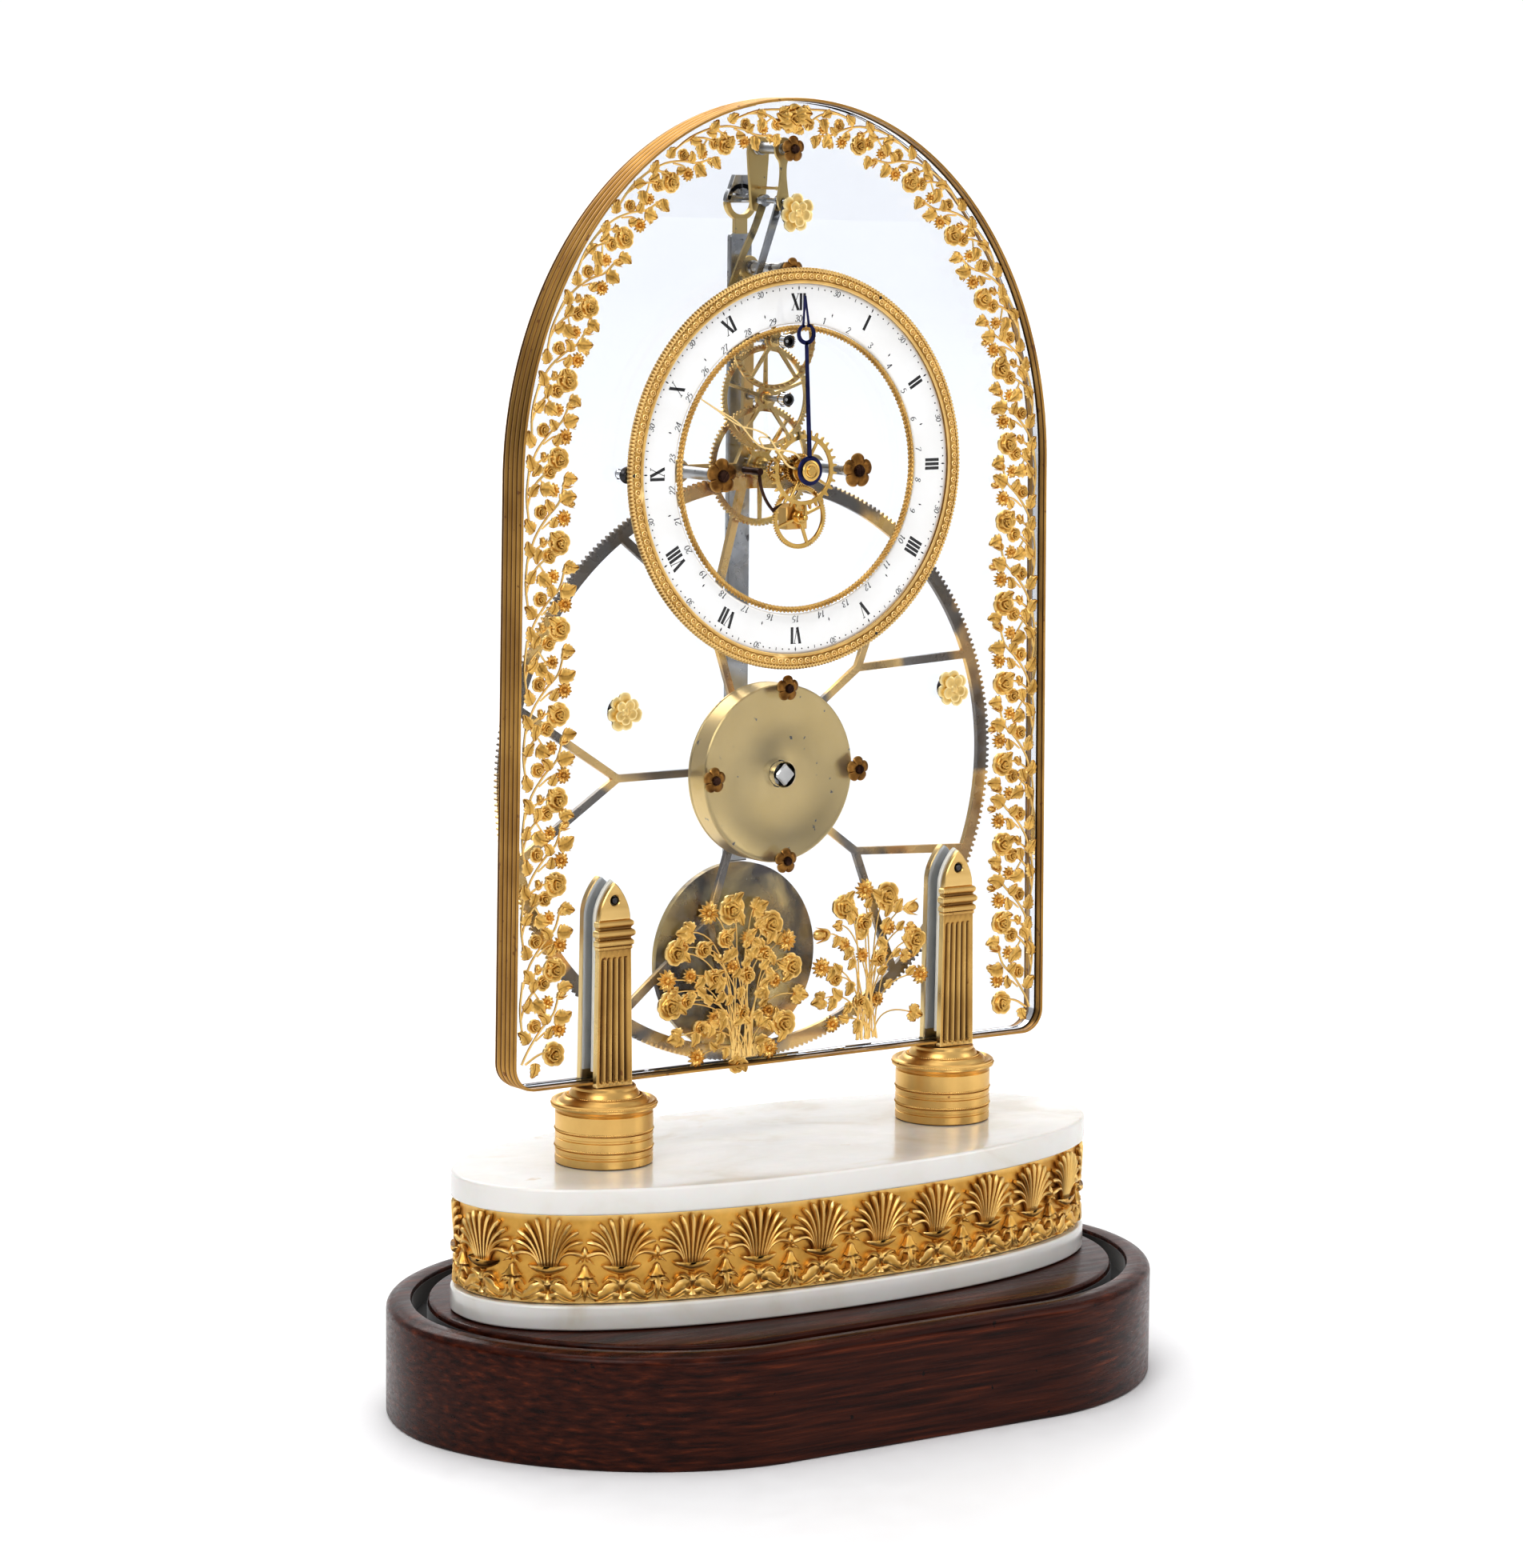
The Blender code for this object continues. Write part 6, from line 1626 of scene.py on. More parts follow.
def build_date_jumper():
    """A bent spring on a post, whose end rests between two points of the star."""
    low, high = ends("date_jumper", 1)
    centre = Extent("date_wheel").mid.z
    ribbon = arc(19.25, 180, 228, 30) + [polar(14.7, 231)] + arc(18.35, 225, 180, 30)
    shape = Shape().add(plate([ribbon], *STAR_YS, 0.1, 0, centre))
    post = [(0, low), (0.9, low), (1.3, low + 0.3), (1.3, -5.0), (1.3, high), (0, high)]
    shape.add(turned(post, JUMPER_FOOT_X, centre, 24))
    piece("jumper_spring", shape, BROWN_STEEL, "date_jumper")


def build_motion_work():
    build_minute_wheel()
    build_hour_wheel()
    build_day_wheel()
    build_date_wheel()
    build_date_cock()
    build_date_jumper()


# ---------------------------------------------------------------- pallets and pendulum

SWING_Z = 423.2
BRACKET_COLUMN = [(0, 3.3), (1.9, 3.3), (2.0, 3.5), (2.0, 5.3), (2.6, 5.4), (2.8, 5.7), (2.8, 6.5), (2.6, 6.8),
                  (2.0, 6.9), (2.0, 17.9), (2.4, 18.0), (2.4, 18.9), (2.0, 19.0), (2.0, 21.3), (1.7, 21.6), (0, 21.6)]
SLENDER_HALF = ((0.0, 419.8), (1.4, 420.2), (2.4, 423.5), (1.7, 428.5), (1.3, 432.5), (1.6, 436.5), (3.35, 439.2),
                (3.55, 442.5), (2.0, 444.8), (0.0, 445.4))
BROAD_HALF = ((0.0, 419.2), (2.4, 419.6), (3.0, 422.0), (3.8, 431.0), (4.45, 440.0), (3.9, 444.8), (0.0, 445.6))
TIE_Z = 427.6


def build_bracket():
    middle = Extent("pallet_bracket").mid
    flower_nut("pallet_bracket", SMALL_NUT_R, middle.x, middle.z, "polished_brass", shank(3.3))
    piece("pallet_bracket_column", Shape().add(turned(BRACKET_COLUMN, middle.x, middle.z, 32)), SPOTTED_STEEL,
          body="root", slot="polished_brass")


def build_hangers():
    """The slender hanger in front with its tie rod, and the broad one behind."""
    holes = [circle(2.25, 24, (0, Extent("pallet_bracket").mid.z)), circle(1.05, 16, (0, SWING_Z))]
    curve = [(max(0.0, p.x), p.y) for p in course(SLENDER_HALF, 5)]
    front = Extent("front_hanger").low.y
    shape = Shape().add(plate([mirrored(curve)] + holes, front, front + 1.1, 0.15))
    tie = [(0, front + 0.9), (0.5, front + 0.9), (0.5, 8.0), (0.72, 8.3), (0.5, 8.8), (0.5, 16.8), (0.75, 17.0),
           (0.5, 17.6), (0.5, 19.1), (0, 19.1)]
    shape.add(turned(tie, 0.0, TIE_Z, 14))
    piece("slender_hanger", shape, PALE_BRASS, "front_hanger")
    near, far = ends("rear_hanger", 1)
    piece("tapered_hanger", Shape().add(plate([mirrored(BROAD_HALF)] + holes, near, far, 0.2)), PALE_BRASS,
          "rear_hanger")


def bowed_arm(tip, bow):
    """An arm from the pallet arbor to its tip, given from the arbor, with a wavy course."""
    tip = Vector(tip)
    side = Vector((-tip.y, tip.x)).normalized()
    return smooth([Vector((0, 0)), tip * 0.3 + side * bow, tip * 0.62 - side * bow * 0.8, tip], 8)


def build_pallets():
    low, high = ends("pallets", 1)
    arbor = [(0, low), (0.6, low), (0.8, low + 0.2), (0.8, 5.4), (2.1, 5.4), (2.2, 5.5), (2.2, 6.9), (1.0, 7.1),
             (1.0, 14.8), (2.1, 14.8), (2.2, 15.0), (2.2, 17.0), (2.0, 17.2), (0.8, 17.3), (0.8, high - 0.3),
             (0.5, high), (0, high)]
    shape = Shape().add(turned(arbor, 0, SWING_Z, 24))
    shape.add(strip(bowed_arm((-13.7, -39.2), 0.0), lambda t, d: 1.5 - 0.5 * t, 5.65, 6.75), at(0, 0, SWING_Z))
    piece("pallet_arbor_and_steel_arm", shape, BRIGHT_STEEL, "pallets")
    brass = Shape().add(strip(bowed_arm((-15, -33), 0.35), lambda t, d: 1.25 - 0.35 * t, 15.3, 16.5),
                        at(0, 0, SWING_Z))
    nib = [(0, 10.3), (0.35, 10.3), (0.5, 10.5), (0.5, 15.6), (0, 15.6)]
    brass.add(turned(nib, -14.7, SWING_Z - 32.2, 14))
    piece("brass_pallet_arm", brass, STAINED_BRASS, body="pallets", slot="polished_brass")


PENDULUM_FRONT, PENDULUM_BACK = 29.8, 32.2
RING_Z = 422.5
RING_OUTER_R, RING_INNER_R = 6.6, 4.6
ROD_HALF_W = 4.7
ROD_TOP_Z = 411.5
ROD_CORNER_R = 1.6
BOB_EDGE = 1.3


def block(half_w, low, high):
    return [(-half_w, low), (half_w, low), (half_w, high), (-half_w, high)]


def build_rod():
    """The flat rod, and above it the steel half of the ring with its two horns."""
    box = Extent("pendulum_rod")
    front, back = PENDULUM_FRONT, PENDULUM_BACK
    shoulder = arc(ROD_CORNER_R, 0, 90, 7, (ROD_HALF_W - ROD_CORNER_R, ROD_TOP_Z - ROD_CORNER_R))
    rod = Shape().add(plate([mirrored([(ROD_HALF_W, box.low.z)] + shoulder)], front, back, 0.45))
    top = box.high.z - 0.1
    for side in (-1, 1):
        horn = ((0.35, RING_Z + 2.2), (5.2, RING_Z + 3.6), (2.9, top), (0.02, top), (0.02, top - 3.4))
        rod.add(plate([[(side * x, z) for x, z in horn]], front, back, 0.12))
    upper = arc(RING_OUTER_R, 2, 178, 40, (0, RING_Z)) + arc(RING_INNER_R, 172, 8, 34, (0, RING_Z))
    rod.add(plate([upper], front, back, 0.25))
    rod.add(plate([block(6.2, RING_Z - 0.4, RING_Z + 2.4)], front, back, 0.3))
    piece("steel_pendulum_rod", rod, SPOTTED_STEEL, "pendulum_rod")


def build_tab_ring():
    front, back = PENDULUM_FRONT, PENDULUM_BACK
    lower = arc(RING_OUTER_R, 181, 359, 40, (0, RING_Z)) + arc(RING_INNER_R, 355, 185, 34, (0, RING_Z))
    brass = Shape().add(plate([lower], front + 0.02, back - 0.02, 0.25))
    brass.add(plate([block(2.6, 411.0, RING_Z - 5.0)], front + 0.1, back - 0.1, 0.2))
    piece("pendulum_tab_ring", brass, PALE_BRASS, body="pendulum", slot="polished_brass")


def build_bob():
    """A lens-shaped disc with a flat edge."""
    box = Extent("pendulum_bob")
    r, deep, y = box.size.z / 2, box.size.y / 2, box.mid.y
    steps = 12
    swell = [(deep - BOB_EDGE) * (i / steps) ** 2.6 for i in range(steps + 1)]
    profile = [(0, y - deep)] + [(r * (i / steps), y - deep + swell[i]) for i in range(1, steps + 1)]
    profile += [(r, y + BOB_EDGE)] + [(r * (i / steps), y + deep - swell[i]) for i in range(steps - 1, 0, -1)]
    profile.append((0, y + deep))
    piece("pendulum_disc", Shape().add(turned(profile, box.mid.x, box.mid.z, 128)), STAINED_BRASS, "pendulum_bob")


# ---------------------------------------------------------------- flowers

GARLAND_FRONT, GARLAND_BACK = ends("rose_garland", 1)
RELIEF = GARLAND_BACK - GARLAND_FRONT
BORDER_MARGIN = 0.5
BORDER_SMOOTHING = 6            # points to each side that give the line's direction
GARLAND_UNITS = 13              # up each side
GARLAND_FOOT, GARLAND_CROWN = 3.5, 6
ROOT_V = 1.5                    # how far inside the line the lowest stems run
GARLAND_STEMS = (               # (along, inside, lift) knots and radius
    (((-6, 1.5, 0.6), (2, 4, 0.9), (9, 9, 1.0), (14, 14, 0.9), (20, 16, 0.7)), 0.42),
    (((-3, 3, 0.6), (0, 8, 0.9), (1, 13, 0.9)), 0.42),
    (((12, 0.8, 0.6), (19, 3, 0.9), (24, 8, 1.0), (25.5, 13.5, 0.8)), 0.42),
    (((6, 2, 0.6), (16, 0.5, 0.8), (26, 1.5, 0.7)), 0.42),
    (((5, 7, 0.8), (8, 11, 0.9), (9, 15, 0.8)), 0.34),
    (((22, 6, 0.8), (17, 10, 0.9), (16, 13, 0.8)), 0.34))
GARLAND_LEAVES = (              # along, inside, length, half width, degrees
    (13.5, 14.6, 6.2, 2.9, 75), (22.5, 15.8, 5.2, 2.4, 95), (27.5, 12.6, 4.6, 2.1, 20), (4.2, 3.4, 5.4, 2.4, -30),
    (18.6, 5.6, 5.8, 2.7, 118), (25.4, 3.4, 5.2, 2.3, -25), (-2.6, 6.2, 4.8, 2.1, 200), (5.2, 11.2, 4.2, 1.9, 20),
    (10.8, 11.6, 4.6, 2.1, -35), (16.0, 1.6, 5.0, 2.1, 30), (30.0, 14.6, 4.8, 2.2, -60))


def cupped_petal(length, half, high, low=0.0, sectors=16):
    """A broad petal with a raised, curling rim; it starts at the origin and points along X."""
    middle = length * 0.55

    def reach(a):
        r = hypot(half * sin(a), length * 0.5 * cos(a))
        notch = 0.1 * exp(-(a / 0.35) ** 2) + 0.1 * exp(-((a - TURN) / 0.35) ** 2)
        return r * (1 - notch)

    def rise(s, a):
        outward = max(0.0, cos(a))
        return low + (high - low) * (0.5 + 0.12 * s + 0.38 * s * s * outward) * (1 - 0.4 * s ** 8)

    points, faces = dome(reach, rise, 0.0, 4, sectors)
    return [Vector((p[0] + middle, p[1], p[2])) for p in points], faces


def spun(form, degrees):
    return form, Matrix.Rotation(radians(degrees), 4, "Z")


def rose(r, high, dice):
    """A full rose: five cupped outer petals round a heart whose petals wind in like a spiral."""
    shape = Shape()
    turn = dice.uniform(0, 72)
    for i in range(5):
        size = r * dice.uniform(0.93, 1.03)
        petal = cupped_petal(size, 0.6 * size, high * 0.5, high * 0.05)
        shape.add(*spun(petal, turn + 72 * i + dice.uniform(-6, 6)))
    start = radians(turn)

    def rise(s, a):
        winding = 2.7 * s - a / TURN + 0.16 * sin(3 * a + start)
        step = (1 - (winding - floor(winding))) ** 1.5 * min(1.0, 3 * s)
        return high * (1 - 0.45 * s * s - 0.26 * step) * (1 - 0.5 * s ** 12)

    shape.add(dome(lambda a: 0.72 * r * (1 + 0.05 * cos(5 * a + start)), rise, 0.0, 15, 30))
    return shape.form()


def daisy(r, high, petals, dice):
    """Narrow pointed petals round a button."""
    shape = Shape()
    turn = dice.uniform(0, 30)
    half = 0.62 * pi * r / petals
    width = lambda t: half * (0.35 + 0.75 * sin(pi * min(1, t * 0.92)) ** 0.8) * (1 - 0.75 * t ** 6)
    for i in range(petals):
        reach = r * dice.uniform(0.94, 1.03)
        path = [Vector((reach * (0.2 + 0.8 * t / 5), 0, high * (0.3 + 0.35 * sin(pi * t / 5)))) for t in range(6)]
        shape.add(*spun(blade(path, width, high * 0.25, high * 0.18, 5, high * 0.16), turn + 360 * i / petals))
    shape.add(dome(lambda a: r * 0.27 * (1 + 0.06 * cos(8 * a)),
                   lambda s, a: high * (0.85 - 0.35 * s * s + 0.06 * cos(8 * a) * s), 0.0, 4, 16))
    return shape.form()


def vine_leaf(length, half, lift, teeth=4, bend=0.12):
    """A serrated leaf along X with a sunken midrib and a lifted tip."""
    path = []
    last = 4 * teeth
    for i in range(last + 1):
        t = i / last
        rise = 0.5 + 0.5 * sin(pi * (0.15 + 0.7 * t))
        path.append(Vector((length * t, length * bend * sin(pi * t), lift * rise)))

    def width(t):
        body = half * sin(pi * t ** 0.62) ** 0.54 if 0 < t < 1 else 0.0
        tooth = (t * teeth) % 1.0
        return max(0.04 * half, body * (0.72 + 0.34 * tooth) * (1 - 0.25 * t ** 4))

    return blade(path, width, lift * 0.3, lift * 0.25, 7, lift * 0.3)


def flower_bud(length, half, high):
    """A closed bud along X with two sepals clasping it."""
    shape = Shape()
    bud = dome(lambda a: hypot(length * 0.5 * cos(a), half * sin(a)),
               lambda s, a: high * (1 - 0.75 * s ** 2.5) * (1 + 0.05 * cos(5 * a)), 0.0, 4, 16)
    shape.add(bud, at(length * 0.5, 0, 0))
    for side in (-1, 1):
        path = smooth([Vector((-0.1 * length, 0, high * 0.5)), Vector((length * 0.15, side * half * 0.8, high * 0.8)),
                       Vector((length * 0.5, side * half * 1.15, high * 0.7)),
                       Vector((length * 0.85, side * half * 1.5, high * 0.45))], 3)
        shape.add(blade(path, lambda t: half * 0.36 * (1 - t) + 0.05, high * 0.25, high * 0.12, 5))
    return shape.form()


class Border:
    """The line that the garland follows inside the edge band; u runs from the left foot."""

    def __init__(self, inset, count=500):
        self.line = Polyline([Vector(arch_point(inset, i / count)) for i in range(count + 1)])
        self.total = self.line.total

    def clamp(self, u):
        return min(self.total - BORDER_MARGIN, max(BORDER_MARGIN, u))

    def place(self, u, v, turn=0.0, lift=0.0, scale=1.0):
        """The matrix for a form at u along the line and v inside it; its X points along the line."""
        points = self.line.points
        low, share = self.line.find(u)
        before = points[max(0, low - BORDER_SMOOTHING)]
        after = points[min(len(points) - 1, low + 1 + BORDER_SMOOTHING)]
        along = (after - before).normalized()
        centre = points[low].lerp(points[low + 1], share) + Vector((along.y, -along.x)) * v
        spin = atan2(along.y, along.x) + turn
        return facing(centre.x, centre.y, GARLAND_BACK - lift, spin, scale)


def garland_unit(shape, border, u, way, dice, reach):
    """One repeat of the garland; way is 1 or -1 for the side that it grows towards."""

    def put(form, du, v, degrees, lift=0.0):
        turn = radians(-degrees) if way > 0 else pi + radians(degrees)
        spot = border.place(border.clamp(u + way * du), ROOT_V + v * reach, turn, lift, 0.5 + 0.5 * reach)
        shape.add(form, spot)

    for knots, r in GARLAND_STEMS:
        path = [border.place(border.clamp(u + way * du), ROOT_V + v * reach) @ Vector((0, 0, lift))
                for du, v, lift in knots]
        shape.add(tube(smooth(path, 4), r, 6))
    jitter = lambda a: dice.uniform(-a, a)
    for du, v, length, half, degrees in GARLAND_LEAVES:
        leaf = vine_leaf(length * dice.uniform(1.0, 1.18), half * 1.1, 1.7, 4, jitter(0.18))
        put(leaf, du + jitter(0.5), v + jitter(0.5), degrees + jitter(14), 0.1)
    put(rose(4.4, 3.0, dice), 0.0 + jitter(0.5), 14.4, jitter(40))
    put(rose(2.6, 2.4, dice), 10.4 + jitter(0.5), 6.6, jitter(40))
    put(rose(2.8, 2.4, dice), 24.8 + jitter(0.4), 10.0, jitter(40))
    put(daisy(3.1, 2.3, 12, dice), 8.4, 16.4 + jitter(0.4), jitter(20))
    put(daisy(2.6, 2.0, 10, dice), 18.2, 11.6, jitter(20))
    for length, half, high, du, v, degrees in ((4.2, 1.25, 2.1, 19.6, 15.8, 55), (3.2, 1.0, 1.8, 28.6, 7.2, 10),
                                               (3.0, 0.95, 1.7, 13.0, 18.0, 90)):
        put(flower_bud(length, half, high), du, v, degrees + jitter(12))


def build_garland():
    """Units up each side, smaller and closer to the band along the arch, and a rose at the crown."""
    border = Border(BAND_T + 0.5)
    middle = border.total / 2
    pitch = (middle - GARLAND_CROWN) / GARLAND_UNITS
    for word, way in (("left", 1), ("right", -1)):
        dice = random.Random(41 + way)
        side, arch = Shape(), Shape()
        for i in range(GARLAND_UNITS):
            u = GARLAND_FOOT + pitch * i
            arched = max(0.0, (i / (GARLAND_UNITS - 1) - 0.45) / 0.55)
            shape = side if i < GARLAND_UNITS / 2 else arch
            garland_unit(shape, border, u if way > 0 else border.total - u, way, dice, 1 - 0.4 * arched)
        piece(word + "_garland_side", side, FLOWER_GILT, body="root", slot="ormolu", crease=55)
        piece(word + "_garland_arch", arch, FLOWER_GILT, body="root", slot="ormolu", crease=55)
    crown = Shape()
    for turn in (-165, -15, 12, 168):
        crown.add(vine_leaf(7.6, 2.8, 2.0, 4), border.place(middle, 5.6, radians(turn), 0.2))
    crown.add(rose(4.9, 3.0, dice), border.place(middle, 5.6))
    piece("garland_crown_rose", crown, FLOWER_GILT, "rose_garland", crease=55)


def add_head(shape, kind, size, outer, x, z, outward, dice):
    """One rose, daisy, bud or spray of leaves of a bouquet, turned away from the stems' foot."""
    spin = facing(x, z, GARLAND_BACK, outward)
    if kind == "rose":
        shape.add(rose(size, RELIEF, dice), spin)
        for turn in (150, 255) if outer else (205,):
            turn = radians(turn + dice.uniform(-18, 18))
            shape.add(vine_leaf(size * 1.45, size * 0.5, 1.5, 4), facing(x, z, GARLAND_BACK, outward + turn))
    elif kind == "daisy":
        shape.add(daisy(size, RELIEF * 0.8, 12, dice), spin)
    elif kind == "bud":
        shape.add(flower_bud(size * 1.5, size * 0.5, 2.2), spin)
    else:
        for turn, length in ((-44, 1.0), (0, 1.35), (44, 1.0)):
            shape.add(vine_leaf(size * length, size * 0.62, 1.7, 4, 0.05 * turn / 44),
                      facing(x, z, GARLAND_BACK - 0.2, outward + radians(turn)))


STEM_STEPS = 12
STEM_LEAVES = ((0.52, 1), (0.7, -1), (0.86, 1))         # share of the stem and side


def build_bouquet(word, seed, lean, heads):
    """Flowers on thin stems that fan out from where they are tied, which leans off the middle."""
    box = Extent(word + "_bouquet")
    dice = random.Random(seed)
    middle, foot = box.mid.x, box.low.z
    half, height = box.size.x / 2 - 0.6, box.size.z
    tie = (middle + lean, foot + 1.2)
    shape = Shape()
    for share, degrees, kind, size in heads:
        outer = share > 0.9
        size *= 1.08 if outer else 0.8
        a = radians(degrees)
        x = middle + (half - size) * share * cos(a)
        z = foot + height * 0.44 + (height * 0.58 - size * 0.8) * share * sin(a)
        start = Vector((tie[0] + dice.uniform(-5.5, 5.5), GARLAND_BACK - 1.1, tie[1] - dice.uniform(0, 0.8)))
        pull = Vector((tie[0] + (x - tie[0]) * 0.22, GARLAND_BACK - 1.3, tie[1] + (z - tie[1]) * 0.86 + 6.0))
        path = bezier(start, pull, Vector((x, GARLAND_BACK - 0.8, z)), STEM_STEPS)
        shape.add(tube(path, lambda t: 0.3 - 0.04 * t, 6))
        outward = atan2(z - pull.z, x - pull.x)
        add_head(shape, kind, size, outer, x, z, outward, dice)
        for t, side in STEM_LEAVES:
            if dice.random() < 0.5:
                continue
            p = path[int(t * STEM_STEPS)]
            length = dice.uniform(4.2, 5.8)
            turn = outward + side * radians(dice.uniform(38, 62))
            shape.add(vine_leaf(length, length * 0.42, 1.4, 3), facing(p.x, p.z, GARLAND_BACK - 0.2, turn))
    piece(word + "_flower_bouquet", shape, FLOWER_GILT, word + "_bouquet", crease=55)


LEFT_HEADS = (                  # share of the way out, degrees, kind, size
    (1.0, -8, "leaf", 4.2), (0.98, 12, "rose", 4.4), (1.0, 31, "daisy", 3.9), (0.98, 50, "rose", 4.8),
    (1.0, 70, "leaf", 4.4), (0.97, 90, "rose", 4.9), (1.0, 111, "daisy", 4.0), (0.98, 131, "leaf", 4.6),
    (1.0, 150, "rose", 4.4), (1.0, 170, "daisy", 3.8), (0.98, 188, "rose", 4.8), (0.64, 4, "daisy", 3.6),
    (0.98, -30, "rose", 4.6), (0.96, -52, "daisy", 3.6), (0.9, -84, "rose", 4.0), (0.94, 212, "leaf", 4.0),
    (0.92, 236, "daisy", 3.4), (0.62, -28, "daisy", 3.4), (0.6, 222, "rose", 3.2),
    (0.62, 36, "rose", 4.0), (0.62, 68, "daisy", 3.8), (0.6, 98, "rose", 4.4), (0.64, 130, "rose", 3.9),
    (0.64, 162, "daisy", 3.6), (0.66, 188, "rose", 3.6), (0.28, 30, "rose", 4.2), (0.26, 88, "daisy", 3.8),
    (0.3, 150, "rose", 4.2), (0.34, -60, "rose", 4.0), (0.4, -128, "daisy", 4.0), (0.82, 60, "bud", 3.2),
    (0.84, 141, "bud", 3.2), (0.82, 20, "bud", 3.0), (0.8, 178, "bud", 3.0))
RIGHT_HEADS = (
    (1.0, -6, "daisy", 3.4), (0.98, 20, "rose", 4.2), (1.0, 46, "bud", 3.8), (0.98, 70, "rose", 4.9),
    (1.0, 98, "daisy", 3.8), (0.99, 124, "rose", 4.4), (1.0, 150, "bud", 3.6), (0.99, 174, "daisy", 3.6),
    (1.0, 196, "leaf", 3.8), (0.98, -34, "leaf", 3.8), (0.94, 218, "daisy", 3.0), (0.62, 14, "leaf", 4.0),
    (0.6, 56, "daisy", 3.8), (0.6, 104, "rose", 4.5), (0.62, 146, "daisy", 3.4), (0.66, 184, "rose", 3.4),
    (0.22, 40, "rose", 3.8), (0.26, 130, "daisy", 3.4),
    (0.36, -70, "daisy", 3.6), (0.4, -120, "rose", 3.4), (0.84, 34, "leaf", 3.4), (0.82, 136, "leaf", 3.2))


def build_flowers():
    build_garland()
    build_bouquet("left", 7, 5.0, LEFT_HEADS)
    build_bouquet("right", 12, -2.0, RIGHT_HEADS)


ROSETTE_LOWER_Y, ROSETTE_UPPER_Y = -6.3, -7.2
ROSETTE_RINGS = (               # petals, length, half width, depth along Y, height
    (7, 7.1, 2.5, ROSETTE_LOWER_Y, 1.2), (5, 4.9, 2.1, ROSETTE_UPPER_Y, 1.35))


def build_rosette(name):
    """Two rings of uneven petals round a button, on a dark boss."""
    box = Extent(name)
    x, z, front, back = box.mid.x, box.mid.z, box.low.y, box.high.y
    dice = random.Random(len(name))
    lower, upper = ROSETTE_LOWER_Y, ROSETTE_UPPER_Y
    shape = Shape()
    for count, length, half, base, high in ROSETTE_RINGS:
        for i in range(count):
            size = dice.uniform(0.88, 1.06)
            petal = cupped_petal(length * size, half * size, high * dice.uniform(0.85, 1.1), high * 0.35, 18)
            turn = radians(360 * i / count + 12 * count + dice.uniform(-7, 7))
            shape.add(petal, facing(x, z, base, turn))
    shape.add(dome(lambda a: 1.7 * (1 + 0.1 * cos(5 * a)), lambda s, a: (upper - front) * (1 - 0.45 * s * s),
                   0.0, 4, 20), facing(x, z, upper))
    piece(name + "_petals", shape, ROSETTE_GILT, name, crease=50)
    boss = [(0, lower), (2.8, lower), (4.0, lower + 0.6), (4.55, lower + 1.8), (4.6, GLASS_SEAT), (1.1, GLASS_SEAT),
            (1.1, back), (0, back)]
    piece(name + "_boss", Shape().add(turned(boss, x, z, 36)), DARK_STEEL, body="root", slot="ormolu")


def build_rosettes():
    for name in frame["nodes"]:
        if name.endswith("rosette"):
            build_rosette(name)


# ---------------------------------------------------------------- floor, light and camera

def area_light(name, place, target, size, power):
    data = bpy.data.lights.new(name, "AREA")
    data.shape = "RECTANGLE"
    data.size, data.size_y = size
    data.energy = power
    light = bpy.data.objects.new(name, data)
    light.location = place
    light.rotation_euler = (Vector(target) - Vector(place)).to_track_quat("-Z", "Y").to_euler()
    bpy.context.scene.collection.objects.link(light)


FLOOR_HALF_W = 16
FLOOR_ROWS = ((-14, 0), (1.2, 0), (1.8, 0.06), (2.3, 0.3), (2.6, 0.8), (2.7, 1.6), (2.7, 5))   # metres: (back, up)
SKY = ((0.0, (0.3, 0.3, 0.31)), (0.5, (0.09, 0.09, 0.1)), (0.57, (0.13, 0.135, 0.14)), (0.72, (0.57, 0.57, 0.575)),
       (1.0, (0.84, 0.84, 0.86)))                               # from straight down to straight up
VIEW_GAMMA = 0.8
CLOCK_MIDDLE = (0, 0, 0.25)
LIGHTS = (                      # name, place, target, size, power
    ("key", (-1.9, -1.3, 1.9), CLOCK_MIDDLE, (1.3, 1.6), 24),
    ("fill", (2.3, -1.55, 1.1), CLOCK_MIDDLE, (1.0, 1.8), 12),
    ("front", (-0.5, -3.2, 0.8), CLOCK_MIDDLE, (1.8, 0.8), 12),
    ("top", (0.0, 0.3, 2.4), CLOCK_MIDDLE, (1.6, 1.2), 13),
    ("back", (0.6, 2.0, 1.7), CLOCK_MIDDLE, (2.2, 0.8), 18),
    ("floor_glow", (2.3, -3.2, 1.3), (2.3, -3.2, 0), (2.4, 2.0), 14),
    ("backdrop", (0.6, 0.9, 2.9), (1.5, 2.2, 0.9), (3.4, 0.6), 6))


def build_floor():
    """A pale floor that curves up behind the clock, square to the camera."""
    mesh = bpy.data.meshes.new("floor")
    turn = Matrix.Rotation(radians(-CAMERA_AZIMUTH), 4, "Z")
    points = [turn @ Vector((x, y, z)) for y, z in FLOOR_ROWS for x in (-FLOOR_HALF_W, FLOOR_HALF_W)]
    mesh.from_pydata(points, [], [(2 * i, 2 * i + 1, 2 * i + 3, 2 * i + 2) for i in range(len(FLOOR_ROWS) - 1)])
    mesh.shade_smooth()
    floor = bpy.data.objects.new("floor", mesh)
    bpy.context.scene.collection.objects.link(floor)
    mesh.materials.append(finish("paper_floor", [(0.3, (0.93, 0.93, 0.93)), (0.7, (0.96, 0.96, 0.96))], 3,
                                 rough=(0.5, 0.7), bump=0.02))


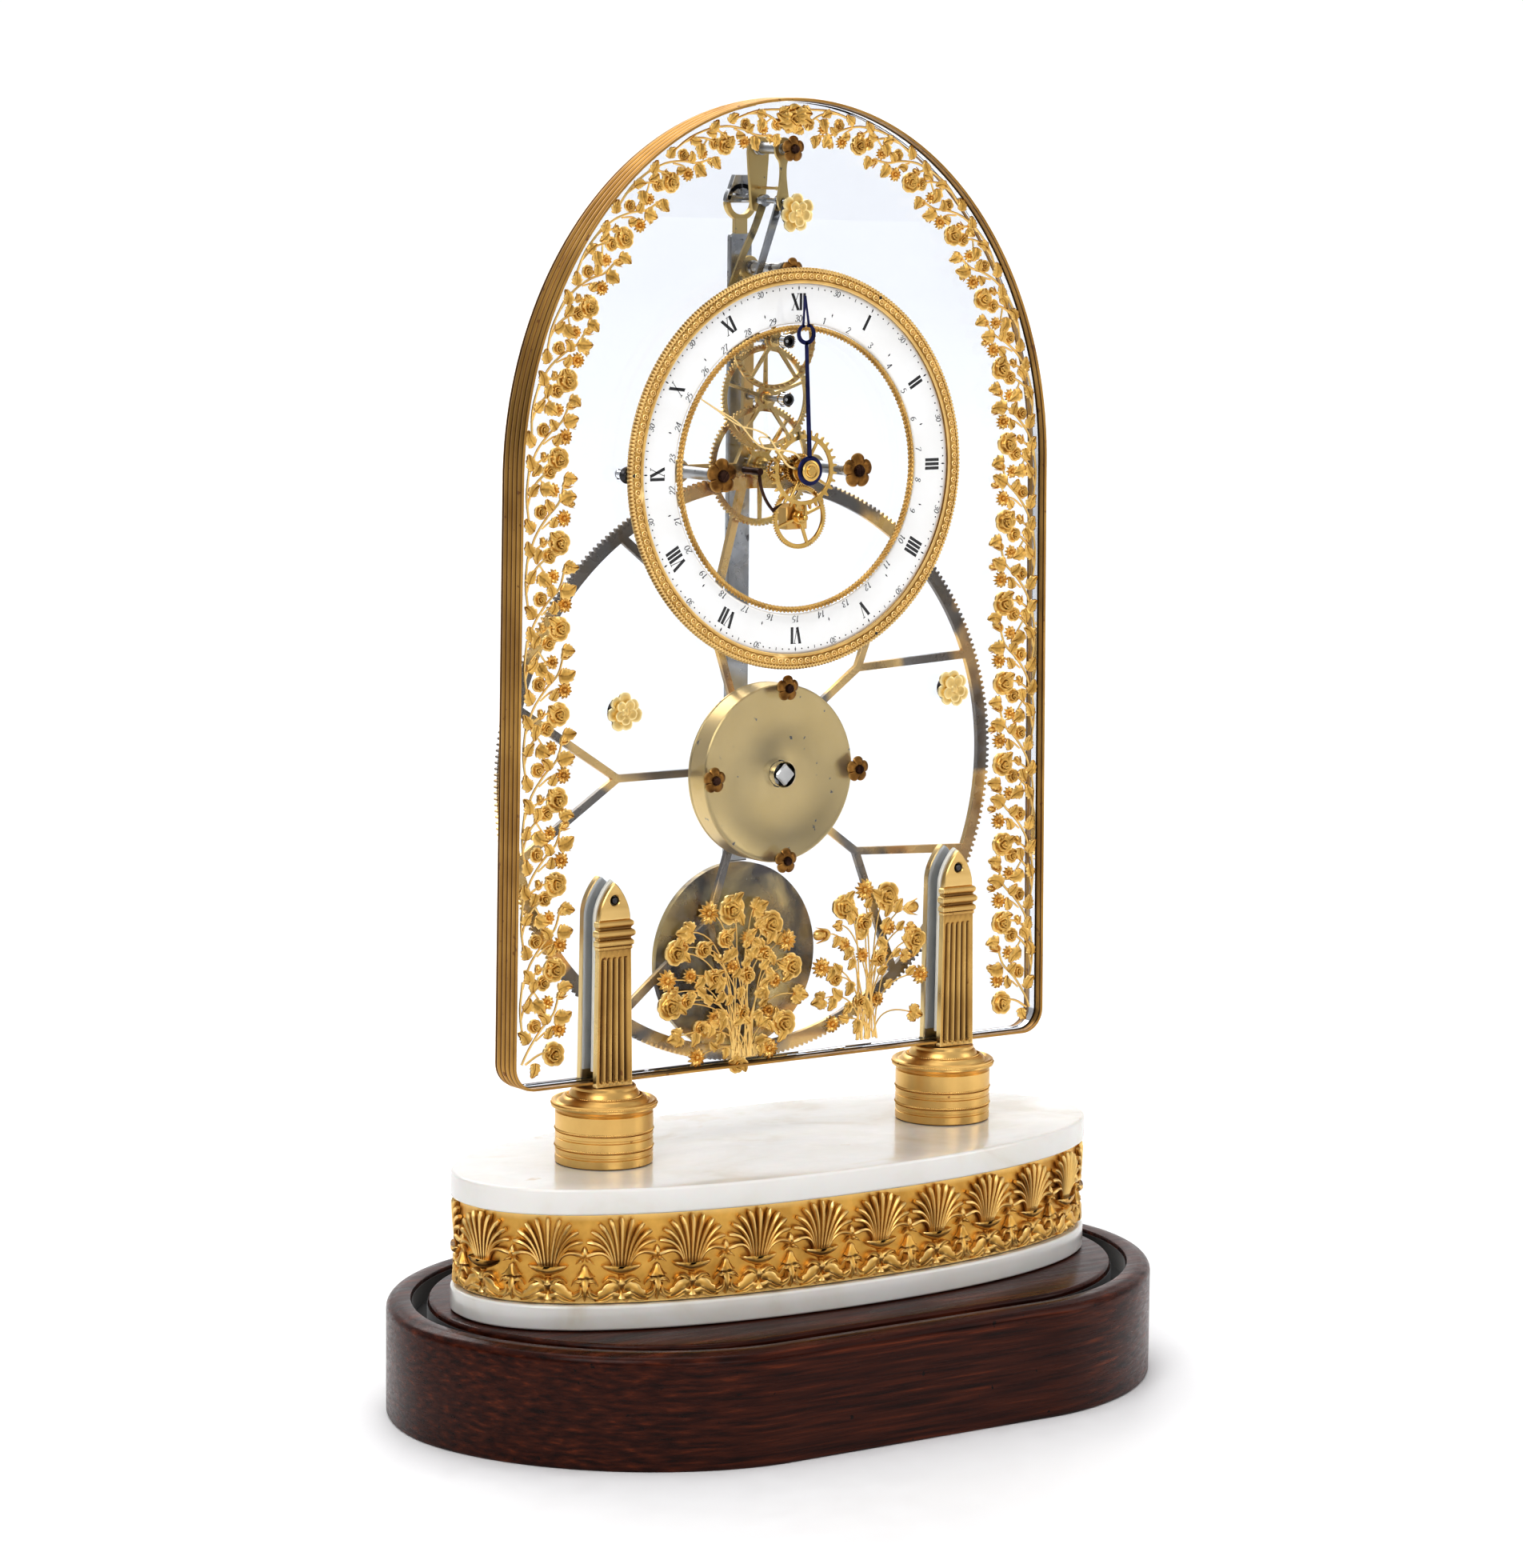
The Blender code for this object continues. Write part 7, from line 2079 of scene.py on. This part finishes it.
def build_sky():
    world = bpy.data.worlds.new("studio")
    world.use_nodes = True
    tree = world.node_tree
    height = node(tree, "SeparateXYZ", Vector=node(tree, "TexCoord").outputs["Generated"]).outputs["Z"]
    sky = ramp(tree, spread(tree, height, -1.0, 1.0), SKY)
    tree.links.new(sky, tree.nodes["Background"].inputs["Color"])
    bpy.context.scene.world = world


def build_stage():
    build_floor()
    build_sky()
    bpy.context.scene.view_settings.view_transform = "Standard"
    bpy.context.scene.view_settings.gamma = VIEW_GAMMA
    for light in LIGHTS:
        area_light(*light)


CAMERA_PLACE = (-1.01816, -1.47396, 0.46068)
CAMERA_AZIMUTH = 34.64          # to the right of +Y
CAMERA_PITCH = -7.72
CAMERA_ROLL = 0.58
CAMERA_LENS = 117.03
CAMERA_SHIFT = -0.0122


def build_camera():
    data = bpy.data.cameras.new("camera")
    data.lens = CAMERA_LENS
    data.sensor_width = 36
    data.shift_x = CAMERA_SHIFT
    data.clip_start = 0.05
    camera = bpy.data.objects.new("camera", data)
    aim = Matrix.Rotation(radians(-CAMERA_AZIMUTH), 4, "Z") @ Matrix.Rotation(radians(90 + CAMERA_PITCH), 4, "X")
    camera.matrix_world = Matrix.Translation(CAMERA_PLACE) @ aim @ Matrix.Rotation(radians(CAMERA_ROLL), 4, "Z")
    bpy.context.scene.collection.objects.link(camera)
    bpy.context.scene.camera = camera


# ---------------------------------------------------------------- whole clock

def build_clock():
    dress_frame()
    for build in (build_plinth, build_groove_lining, build_marble, build_frieze, build_pedestals):
        build()
    for word, side in SIDES:
        build_front_pilaster(word, side)
        build_rear_pilaster(word, side)
    for build in (build_clamps, build_edge_band, build_glass, build_flowers, build_rosettes,
                  build_enamel, build_numerals, build_bezel, build_inner_rim, build_dial_pillars,
                  build_hour_hand, build_hand_collet, build_date_hand,
                  build_barrel, build_winding_arbor, build_great_wheel, build_click, build_train,
                  build_rear_plate, build_movement_pillars, build_motion_work,
                  build_bracket, build_hangers, build_pallets, build_rod, build_tab_ring, build_bob,
                  build_stage, build_camera):
        build()


build_clock()
